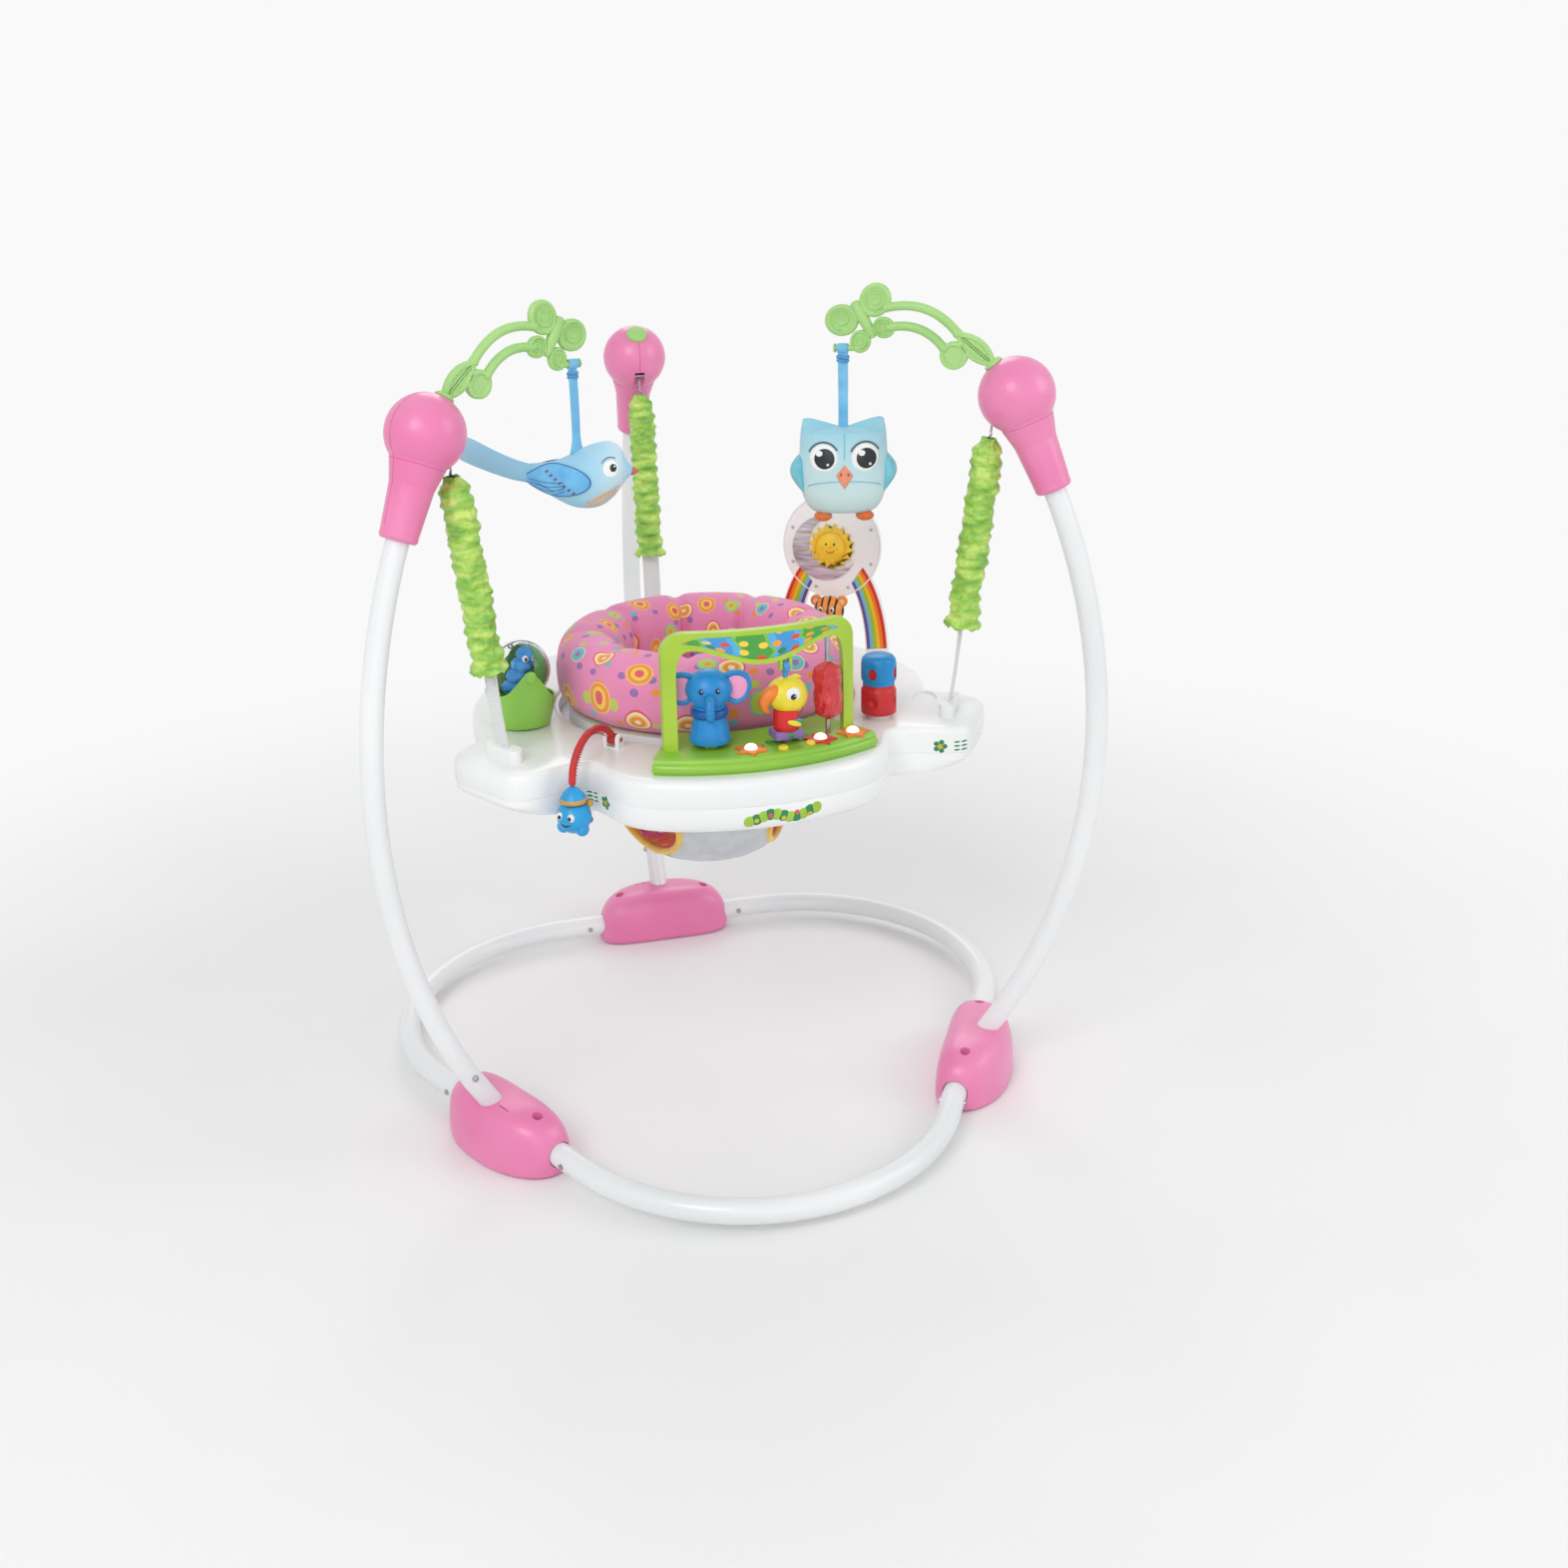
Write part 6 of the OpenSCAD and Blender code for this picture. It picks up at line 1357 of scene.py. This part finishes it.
for side in (-1, 1):
    ear = plaque(ellipse(0.0064, 0.0064), 0.0052, 32, 0.0016, 0.001, 0.0012)
    parts.append((put(ear, place @ at(-0.001, side * 0.0148, 0.0700) @ turn_z(90)), tiger_orange))
    pad = plaque(ellipse(0.0042, 0.0042), 0.0006, 24)
    parts.append((put(pad, place @ at(0.0009, side * 0.0148, 0.0700) @ turn_z(90)), ear_cream))
    parts += blobs(place, ((0.0142, side * 0.0066, 0.0636), (0.0018, 0.0024, 0.003), 12, eye_white),
                   ((0.0155, side * 0.0064, 0.0635), (0.0009, 0.0014, 0.0019), 10, eye_black))
tiger = make_piece("tiger_toy", parts, "tray", crease=60)
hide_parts("tiger")

# Stuffed bird: a plush body with a long tail that curves up behind it, hung from the left arm by a flat loop.
# Wings, eyes and breast are sewn on; the filling swells the cover between its seams.


def pile(name, colour_of):
    """Short-pile plush or felt with a fine fuzz; colour_of(tree, place) gives its colour."""
    finish, tree, shader = new_finish(name, Roughness=0.9, Sheen_Weight=0.35, Sheen_Roughness=0.45)
    place = object_place(tree)
    painted(tree, shader, colour_of(tree, place))
    raised(tree, shader, noise_at(tree, place, 1400, 2), 0.00022, 0.8)
    return finish


def knit(name, light, dark):
    return pile(name, lambda tree, place: clouds(tree, place, 75, 4, dark, light))


def graded_knit(name, *stops):
    """Plush printed with a gradient along the piece's own lay."""
    def grade(tree, place):
        along = add_node(tree, "SeparateXYZ", {"Vector": lay_of(tree)}).outputs["Y"]
        blur = maths(tree, "MULTIPLY_ADD", noise_at(tree, place, 60, 3), 0.16, along)
        return colour_bar(tree, blur, [(t + 0.08, colour) for t, colour in stops])
    return pile(name, grade)


def along_line(values, t):
    """Value at t of a smooth line through evenly spaced values."""
    spot = min(max(t, 0.0), 1.0) * (len(values) - 1)
    k = min(int(spot), len(values) - 2)
    share = spot - k
    before, first, second, after = (values[min(max(k + step, 0), len(values) - 1)] for step in (-1, 0, 1, 2))
    return 0.5 * (2 * first + (second - before) * share + (2 * before - 5 * first + 4 * second - after) * share ** 2
                  + (3 * first - before - 3 * second + after) * share ** 3)


def laid_on(surface, place, side, x, z, lift):
    """Point over x, z of a toy's face, lifted off its cover; side is the direction of y that it is seen from."""
    spot, out = surface.ray_cast(place @ Vector((x, side * 0.2, z)), place.to_3x3() @ Vector((0, -side, 0)))[:2]
    if spot is None:
        spot, out = surface.find_nearest(place @ Vector((x, side * 0.03, z)))[:2]
    return spot + out * lift


def patch(surface, place, side, middle, outline, lift=0.0006, rise=0.0006, around=40, rings=6):
    """Sewn-on patch that follows the cover; outline(angle) gives its x and z from the middle."""
    def spread(u, v):
        x, z = outline(u * math.tau)
        out = math.sin(v * math.pi)
        high = lift + rise * (1 - out * out) if v < 0.5 else -0.0004
        return laid_on(surface, place, side, middle[0] + x * out, middle[1] + z * out, high)
    return draped(around, 2 * rings, spread)


def sewn_line(surface, place, side, points, radius, lift=0.0003):
    return strand([laid_on(surface, place, side, x, z, lift) for x, z in points], radius, sides=2)


def oval(wide, tall, tip=0.0):
    return lambda angle: (wide * math.cos(angle), tall * math.sin(angle) * (1 - tip * max(0.0, math.cos(angle)) ** 2))


bird_plush = graded_knit("bird_plush", (0, tint(140, 196, 232)), (0.45, tint(160, 212, 238)),
                         (0.75, tint(205, 230, 242)), (1, tint(150, 208, 238)))
tail_plush = graded_knit("bird_tail_plush", (0, tint(148, 200, 232)), (0.6, tint(160, 205, 232)),
                         (1, tint(182, 212, 230)))
wing_plush = knit("bird_wing_plush", tint(122, 196, 240), tint(96, 172, 228))
outline_dark = knit("dark_blue_stitching", tint(60, 116, 172), tint(48, 98, 152))
dash_brown = knit("red_brown_stitching", tint(150, 62, 70), tint(128, 52, 60))
breast_beige = knit("beige_plush", tint(214, 202, 182), tint(198, 186, 168))
dot_orange = knit("orange_stitching", tint(238, 160, 110), tint(226, 144, 92))
beak_felt = knit("beak_felt", tint(206, 116, 104), tint(188, 98, 88))
white_felt = knit("white_felt", tint(248, 248, 247), tint(240, 242, 243))
black_bead = shade("black_bead", 30, 38, 44, 0.22)
brow_grey = knit("grey_stitching", tint(112, 132, 146), tint(96, 116, 130))
bird_place = leg_frame(left_leg) @ at(peg_run, 0, peg_height) @ turn_z(-42) @ at(0, 0, -0.10675)
bird_x = (0.0520, 0.0490, 0.0400, 0.0280, 0.0170, 0.0060, -0.0050, -0.0150, -0.0240, -0.0320, -0.0385, -0.0430,
          -0.0475, -0.0530, -0.0550)
bird_top = (0.0080, 0.0125, 0.0132, 0.0140, 0.0165, 0.0210, 0.0262, 0.0298, 0.0318, 0.0320, 0.0292, 0.0240,
            0.0140, 0.0062, 0.0030)
bird_low = (0.0010, -0.0052, -0.0110, -0.0182, -0.0250, -0.0302, -0.0322, -0.0318, -0.0290, -0.0232, -0.0165, -0.0105,
            -0.0045, 0.0000, 0.0020)
bird_half = (0.002, 0.0070, 0.0130, 0.0175, 0.0205, 0.0228, 0.0240, 0.0245, 0.0242, 0.0228, 0.0200, 0.0160,
             0.0095, 0.0032, 0.0008)
wing_middle, wing_lean = (0.0195, -0.0012), math.radians(4)


def bird_place_at(u, v):
    turn = u * math.tau
    high, low = along_line(bird_top, v), along_line(bird_low, v)
    middle, tall = (high + low) / 2, (high - low) / 2
    half = along_line(bird_half, v)
    return bird_place @ Vector((along_line(bird_x, v), half * math.cos(turn), middle + tall * math.sin(turn)))


def tail_place_at(u, v):
    turn = u * math.tau
    x = along_line((0.0440, 0.0530, 0.0660, 0.0820, 0.1000, 0.1140, 0.1185, 0.1190), v)
    middle = along_line((0.0036, 0.0052, 0.0094, 0.0165, 0.0255, 0.0320, 0.0340, 0.0342), v)
    tall = along_line((0.0088, 0.0098, 0.0108, 0.0120, 0.0132, 0.0122, 0.0076, 0.0002), v)
    half = along_line((0.0092, 0.0084, 0.0070, 0.0056, 0.0046, 0.0038, 0.0026, 0.0002), v)
    return bird_place @ Vector((x, half * math.cos(turn), middle + tall * math.sin(turn)))


inside_bird = bird_place.inverted()


def bird_seam(spot):
    local = inside_bird @ spot
    return abs(local.y) < 0.0011 or abs(local.x) > 0.044


def wing_outline(angle):
    x, z = oval(0.0325, 0.0145, 0.55)(angle)
    return x * math.cos(wing_lean) - z * math.sin(wing_lean), x * math.sin(wing_lean) + z * math.cos(wing_lean)


def breast_outline(angle):
    across, up = math.cos(angle), math.sin(angle)
    return 0.0150 * across - 0.004 * up, 0.0072 * up - 0.0052 * across


bird = make_piece("bird_cover", [(closed_ends(draped(56, 72, bird_place_at)), bird_plush)], crease=180)
stuffed(bird, bird_seam, 0.0025)
rounder(bird, 1)
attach(bird, "bird")
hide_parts("bird_body")
tail = make_piece("bird_tail_cover", [(closed_ends(draped(40, 40, tail_place_at)), tail_plush)], crease=180)
rounder(tail, 1)
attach(tail, "bird")
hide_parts("bird_tail")
cover = surface_of(bird)
parts = []
for side in (-1, 1):
    flank = (bird_place, side)
    leaf_pad = patch(cover, *flank, wing_middle, wing_outline, 0.0010, 0.0022, 56, 12)
    on_wing = BVHTree.FromBMesh(leaf_pad)
    parts.append((leaf_pad, wing_plush))
    edge_line = [(wing_middle[0] + x, wing_middle[1] + z) for x, z in map(wing_outline, steps(60, 0, math.tau))]
    parts.append((sewn_line(cover, *flank, edge_line, 0.0006, 0.0010), outline_dark))
    for k in range(4):
        bow = 0.0012 + 0.0018 * k
        quill = [(0.0465 - 0.034 * t, 0.0005 - 0.0026 * k - bow * math.sin(t * math.pi) - 0.0032 * t)
                 for t in steps(14)]
        parts.append((sewn_line(on_wing, *flank, quill, 0.00035, 0.0001), outline_dark))
    for k in range(7):
        x, z = 0.0290 - 0.0042 * k, 0.0078 - 0.0035 * k
        dash = [(x - 0.0011 + 0.0022 * t, z + 0.0009 - 0.0018 * t) for t in steps(3)]
        parts.append((sewn_line(on_wing, *flank, dash, 0.0009, 0.0001), dash_brown))
    parts.append((patch(cover, *flank, (-0.0325, 0.0092), oval(0.0072, 0.0080)), white_felt))
    parts.append((patch(cover, *flank, (-0.0348, 0.0098), oval(0.0034, 0.0040), 0.0010, 0.0009, 28, 4), black_bead))
    parts.append((patch(cover, *flank, (-0.0358, 0.0112), oval(0.0009, 0.0010), 0.0021, 0.0004, 12, 2), white_felt))
    brow = [(-0.0325 + 0.0092 * math.cos(a), 0.0092 + 0.0104 * math.sin(a)) for a in steps(16, 0.55, 2.1)]
    parts.append((sewn_line(cover, *flank, brow, 0.0006), brow_grey))
    parts.append((patch(cover, *flank, (-0.0225, -0.0205), breast_outline, 0.0003, 0.0003), breast_beige))
    for t in steps(9):
        x, z = -0.0085 - 0.0305 * t, -0.0240 + 0.0150 * t
        dot = [(x + 0.0007, z), (x - 0.0007, z + 0.0004)]
        parts.append((sewn_line(cover, *flank, dot, 0.0007, 0.0006), dot_orange))
beak = turned([(0.0044, 0), (0.0040, 0.0022), (0.0026, 0.0052), (0.0010, 0.0076), (0, 0.0082)], 24)
parts.append((put(beak, bird_place @ at(-0.0512, 0, 0.0025) @ turn_y(-90)), beak_felt))
face = make_piece("bird_trim", parts, "bird", crease=60)

strap_blue, tree, shader = new_finish("blue_ribbon", Roughness=0.6, Sheen_Weight=0.3)
place = object_place(tree)
painted(tree, shader, clouds(tree, place, 60, 3, tint(98, 178, 226), tint(126, 198, 236)))
raised(tree, shader, wave_at(tree, place, "Z", 260.0, 0.4), 0.0003, 0.6)
knot_blue = knit("blue_knot", tint(90, 158, 212), tint(72, 140, 198))
strap_drop, strap_wide, strap_flat = 0.0772, 0.0055, 0.0010


def hanging_strap(name, azimuth, body, node, foot_flare, sink):
    """Flat ribbon with a loop round the peg, a knot under the loop, and a foot sewn into the toy."""
    peg = leg_frame(azimuth) @ at(peg_run, 0, peg_height)

    def ribbon(u, v):
        around = u * math.tau
        low = max(0.0, 1 - v / 0.22)
        half = strap_wide * (0.86 + 0.08 * v) + foot_flare * low * low
        thick = strap_flat * (1 + 0.8 * low)
        across = squared_off(math.sin(around), 0.6) * thick + 0.0007 * math.sin(v * math.pi)
        drop = strap_drop + sink
        return peg @ Vector((squared_off(math.cos(around), 0.35) * half, across, -drop + (drop - 0.0036) * v))
    band = closed_ends(draped(28, 48, ribbon))
    eye = [(0.0033, -0.0054), (0.0046, -0.0052), (0.0049, 0), (0.0046, 0.0052), (0.0033, 0.0054), (0.0033, -0.0054)]
    knot = [peg @ Vector((0.0050 * math.cos(a), 0.0020 * math.sin(a), -0.0088 + 0.0007 * math.sin(2 * a)))
            for a in ring_steps(40, math.tau)]
    second = [spot + Vector((0, 0, -0.0034)) for spot in knot]
    parts = [(band, strap_blue), lathed(eye, 32, peg @ turn_y(90), strap_blue),
             (strand(knot, 0.0018, closed=True, sides=2), knot_blue),
             (strand(second, 0.0016, closed=True, sides=2), knot_blue)]
    made = make_piece(name, parts, body)
    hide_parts(node)


hanging_strap("bird_ribbon", left_leg, "bird", "bird_strap", 0.0035, 0.0075)

# Stuffed owl: a round-cornered plush block with pointed ears, sewn-on eyes and beak, two padded wings and felt feet.
# It hangs from the right arm by the same kind of loop.

owl_plush = graded_knit("owl_plush", (0, tint(176, 204, 206)), (0.35, tint(205, 229, 230)),
                        (0.6, tint(186, 222, 232)), (1, tint(150, 208, 226)))
owl_wing_plush = knit("owl_wing_plush", tint(128, 206, 222), tint(100, 186, 204))
brow_dark = knit("dark_brow_stitching", tint(84, 104, 118), tint(66, 86, 100))
owl_beak_felt = knit("owl_beak_felt", tint(240, 156, 124), tint(228, 138, 106))
nostril_brown = knit("brown_stitching", tint(176, 86, 62), tint(158, 74, 52))
owl_foot_felt = knit("orange_felt", tint(232, 124, 62), tint(216, 106, 48))
owl_place = leg_frame(right_leg) @ at(peg_run, 0, peg_height) @ turn_z(15) @ at(0, 0, -0.1633)
owl_wide, owl_tall, owl_ear = 0.0480, 0.0860, 0.0125
owl_levels = (0.0, 0.012, 0.05, 0.14, 0.28, 0.45, 0.62, 0.76, 0.87, 0.94, 0.98, 1.0)
owl_widths = (0.02, 0.50, 0.68, 0.80, 0.885, 0.925, 0.925, 0.91, 0.895, 0.86, 0.74, 0.02)
owl_ears = (0, 0, 0, 0, 0, 0, 0, 0.04, 0.22, 0.62, 0.95, 0.0)


def owl_place_at(u, v):
    turn = u * math.tau
    width = owl_wide * along_line(owl_widths, v)
    ear = owl_ear * max(0.0, along_line(owl_ears, v)) * abs(math.cos(turn)) ** 26
    deep = width * (0.58 - 0.16 * max(0.0, (v - 0.7) / 0.3) * abs(math.cos(turn)))
    x = width * squared_off(math.cos(turn), 0.78)
    y = deep * squared_off(math.sin(turn), 0.85)
    return owl_place @ Vector((x, y, owl_tall * max(0.0, along_line(owl_levels, v)) + ear))


inside_owl = owl_place.inverted()


def owl_seam(spot):
    local = inside_owl @ spot
    return abs(local.y) < 0.0011 or local.z > 0.084


owl = make_piece("owl_cover", [(closed_ends(draped(72, 66, owl_place_at)), owl_plush)], crease=180)
stuffed(owl, owl_seam, 0.003)
rounder(owl, 1)
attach(owl, "owl")
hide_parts("owl_body")
cover = surface_of(owl)
face = (owl_place, -1)
eye_layers = ((0, 0, (0.0138, 0.0142), (0.0005, 0.0010, 44, 6), white_felt),
              (0.0010, -0.0006, (0.0102, 0.0106), (0.0012, 0.0012, 40, 5), black_bead),
              (-0.0038, 0.0048, (0.0036, 0.0032), (0.0027, 0.0003, 24, 3), white_felt),
              (0.0042, -0.0062, (0.0016, 0.0016), (0.0027, 0.0003, 16, 2), white_felt))
parts = []
for side in (-1, 1):
    x, z = side * 0.0205, 0.0590
    for right, up, half, lay, finish in eye_layers:
        parts.append((patch(cover, *face, (x + right, z + up), oval(*half), *lay), finish))
    brow = [(x + 0.0150 * math.cos(a), z + 0.0156 * math.sin(a)) for a in steps(24, 0.5, 2.75)]
    parts.append((sewn_line(cover, *face, brow, 0.0009), brow_dark))
    nostril = patch(cover, *face, (side * 0.0036, 0.0428), oval(0.0013, 0.0022), 0.0026, 0.0003, 16, 2)
    parts.append((nostril, nostril_brown))
    foot = blob(owl_place @ at(side * 0.0210, -0.0085, -0.0022), (0.0092, 0.0105, 0.0052), 16)
    parts.append((foot, owl_foot_felt))
    for toe in (side * 0.0210 - 0.0032, side * 0.0210 + 0.0032):
        claw = strand([Vector((toe, -0.0185, -0.0040)), Vector((toe, -0.0150, 0.0014))], 0.0005, sides=1)
        parts.append((put(claw, owl_place), nostril_brown))


def beak_outline(angle):
    wide, tall = math.cos(angle), math.sin(angle)
    reach = 1 / (abs(wide) + abs(tall)) ** 0.9
    return 0.0084 * wide * reach, (0.0105 if tall > 0 else 0.0140) * tall * reach


parts.append((patch(cover, *face, (0, 0.0415), beak_outline, 0.0008, 0.0018), owl_beak_felt))
belly = [(0.036 * math.cos(a), 0.0295 - 0.006 * math.sin(a)) for a in steps(30, math.pi, math.tau)]
parts.append((sewn_line(cover, *face, belly, 0.0004), owl_wing_plush))
seam = [(0, 0.0565 + 0.026 * t) for t in steps(12)]
parts.append((sewn_line(cover, *face, seam, 0.0004, 0.0001), owl_wing_plush))
trim = make_piece("owl_trim", parts, "owl", crease=60)


def wing_place_at(side):
    """A padded leaf along the owl's side: its inner face lies in the side seam, its outer face stands out."""
    def place(u, v):
        turn = u * math.tau
        full = math.sin(v * math.pi) ** 0.6
        out = 0.0420 + 0.0128 * math.sin(v ** 0.8 * math.pi) ** 0.8 - 0.0050 * v * v
        across = (out - 0.0370) / 2 * full
        return owl_place @ Vector((side * (0.0370 + across * (1 + math.cos(turn))),
                                   0.0165 * full * math.sin(turn) + 0.0005, 0.0660 - 0.0520 * v))
    return place


pads = [(closed_ends(draped(36, 36, wing_place_at(side))), owl_wing_plush) for side in (-1, 1)]
wings = rounder(make_piece("owl_wing_pads", pads, crease=180), 1)
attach(wings, "owl")
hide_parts("owl_wings")
hanging_strap("owl_ribbon", right_leg, "owl", "owl_strap", 0.0004, 0.0035)

# Stickers: printed vinyl on the tray's skirt, one on each front arm and a leafy strip on the lower shell in front.
# Their print is plain: a flower with waves, and a row of leaves with gold and rose dots.

vinyl_green, vinyl_lime = shade("green_vinyl", 40, 140, 78, 0.4), shade("lime_vinyl", 164, 206, 62, 0.4)
vinyl_gold, vinyl_rose = shade("gold_vinyl", 226, 186, 60, 0.4), shade("rose_vinyl", 226, 92, 96, 0.4)
sticker_lift, sticker_edge, petal_turn = 0.00025, 0.0001, 1.257
tray_skins = {name: surface_of(bpy.data.objects[name]) for name in ("tray_top_shell", "tray_bottom_shell")}


def sticker(shell, azimuth, height, prints):
    """Flat prints on the skirt, each with its place across and up, its outline, its layer and its finish."""
    out = leg_frame(azimuth).to_3x3() @ Vector((1, 0, 0))
    spot, facing = tray_skins[shell].ray_cast(Vector((0, axis_y, height)) + out * 0.5, -out)[:2]
    across = Vector((0, 0, 1)).cross(facing).normalized()
    place = Matrix((across, facing, facing.cross(-across))).transposed().to_4x4()
    place.translation = spot
    return [(patch(tray_skins[shell], place, 1, (x, z), outline, sticker_lift * layer, sticker_edge, 24, 3), finish)
            for x, z, outline, layer, finish in prints]


def flower(x, z, size):
    turns = [k * petal_turn for k in range(5)]
    petal, heart = oval(size * 0.62, size * 0.62), oval(size * 0.6, size * 0.6)
    petals = [(x + size * math.cos(a), z + size * math.sin(a), petal, 1, vinyl_green) for a in turns]
    return petals + [(x, z, heart, 2, vinyl_gold)]


def waves(x, z):
    return [(x + 0.0074 * k, z + 0.0028 * row, oval(0.0034, 0.0010), 1, vinyl_green)
            for k in (-0.5, 0.5) for row in (-1.5, 0, 1.5)]


prints = sticker("tray_top_shell", 319.2, 0.4005, flower(-0.0130, 0, 0.0046) + waves(0.0076, 0))
prints += sticker("tray_bottom_shell", 231.5, 0.3855, flower(0.0105, 0, 0.0046) + waves(-0.0095, -0.001))
strip = [(0.0066 * k, 0.0030 * math.sin(k * 0.9), oval(0.0062, 0.0066), 1, vinyl_lime if k % 2 else vinyl_green)
         for k in range(-5, 6)]
strip += [(0.0132 * k, 0.0022 - 0.004 * (k % 2), oval(0.0026, 0.0026), 2, vinyl_rose if k % 2 else vinyl_gold)
          for k in range(-2, 3)]
prints += sticker("tray_bottom_shell", 273.5, 0.3800, strip)
stickers = make_piece("tray_stickers", prints, "tray", crease=60)

# Setting: a plain pale floor that keeps the shadow and fades to white, soft lamps round the object, and a camera at the
# height and tilt of a person who stands before it.


def seen_directly(tree):
    """1 where the eye, a reflection or a clear piece looks at a surface, and 0 where it only sends light back."""
    ray = add_node(tree, "LightPath", {}).outputs
    straight = maths(tree, "MAXIMUM", ray["Is Camera Ray"], ray["Is Glossy Ray"])
    return maths(tree, "MAXIMUM", straight, ray["Is Transmission Ray"])


def shown_as(tree, output, share, first, second):
    both = add_node(tree, "MixShader", {"Fac": share, 1: first.outputs[0], 2: second.outputs[0]})
    tree.links.new(both.outputs[0], tree.nodes.new("ShaderNodeOutput" + output).inputs["Surface"])


backdrop = tint(249, 249, 249)
floor_finish = bpy.data.materials.new("pale_floor")
floor_finish.use_nodes = True
tree = floor_finish.node_tree
tree.nodes.clear()
place = object_place(tree)
away = add_node(tree, "VectorMath", {0: place}, operation="LENGTH").outputs["Value"]
reach = add_node(tree, "MapRange", {"Value": away, "From Min": 0.5, "From Max": 1.6}).outputs["Result"]
fade = colour_bar(tree, reach, [(0, (0, 0, 0, 1)), (1, (1, 1, 1, 1))], "EASE")
matt = add_node(tree, "BsdfDiffuse", {"Color": clouds(tree, place, 3, 2, tint(243, 243, 243), tint(246, 246, 246))})
white = add_node(tree, "Emission", {"Color": backdrop, "Strength": 1.0})
shown_as(tree, "Material", maths(tree, "MULTIPLY", seen_directly(tree), fade), matt, white)
ground = bmesh.new()
bmesh.ops.create_circle(ground, cap_ends=True, segments=96, radius=9)
floor = make_piece("floor", [(put(ground, at(0, 0, -0.0004)), floor_finish)], outwards=False)

world = bpy.data.worlds.new("studio")
bpy.context.scene.world = world
world.use_nodes = True
tree = world.node_tree
tree.nodes.clear()
dim = add_node(tree, "Background", {"Color": (1, 1, 1, 1), "Strength": 0.62})
white = add_node(tree, "Background", {"Color": backdrop, "Strength": 1.0})
shown_as(tree, "World", seen_directly(tree), dim, white)

middle = Vector((0, axis_y, 0.425))
lamps = (("key", (-1.5, -2.1, 2.3), 1.5, 27), ("side", (2.3, -1.2, 1.7), 1.6, 13),
         ("back", (0.5, 2.3, 2.3), 1.6, 14), ("fill", (-0.5, -2.7, 1.1), 1.8, 6))
for name, spot, size, power in lamps:
    lamp = bpy.data.lights.new(name, "AREA")
    lamp.shape = "DISK"
    lamp.size = size
    lamp.energy = power
    holder = bpy.data.objects.new(name, lamp)
    holder.location = spot
    holder.rotation_euler = (middle - Vector(spot)).to_track_quat("-Z", "Y").to_euler()
    bpy.context.scene.collection.objects.link(holder)

eye_azimuth, eye_height, eye_roll = math.radians(-12.396), math.radians(17.978), math.radians(-1.869)
eye_distance = 1.779
level = math.cos(eye_height)
back = Vector((math.sin(eye_azimuth) * level, -math.cos(eye_azimuth) * level, math.sin(eye_height)))
right = Vector((math.cos(eye_azimuth), math.sin(eye_azimuth), 0))
up = back.cross(right)
right, up = (right * math.cos(eye_roll) + up * math.sin(eye_roll),
             up * math.cos(eye_roll) - right * math.sin(eye_roll))
lens = bpy.data.cameras.new("camera")
lens.lens = 37.934
lens.sensor_width = 36
lens.shift_x, lens.shift_y = 0.0514, -0.0601
camera = bpy.data.objects.new("camera", lens)
camera.matrix_world = Matrix((right, up, back)).transposed().to_4x4()
camera.location = middle + back * eye_distance
bpy.context.scene.collection.objects.link(camera)
bpy.context.scene.camera = camera
bpy.context.scene.view_settings.view_transform = "Standard"
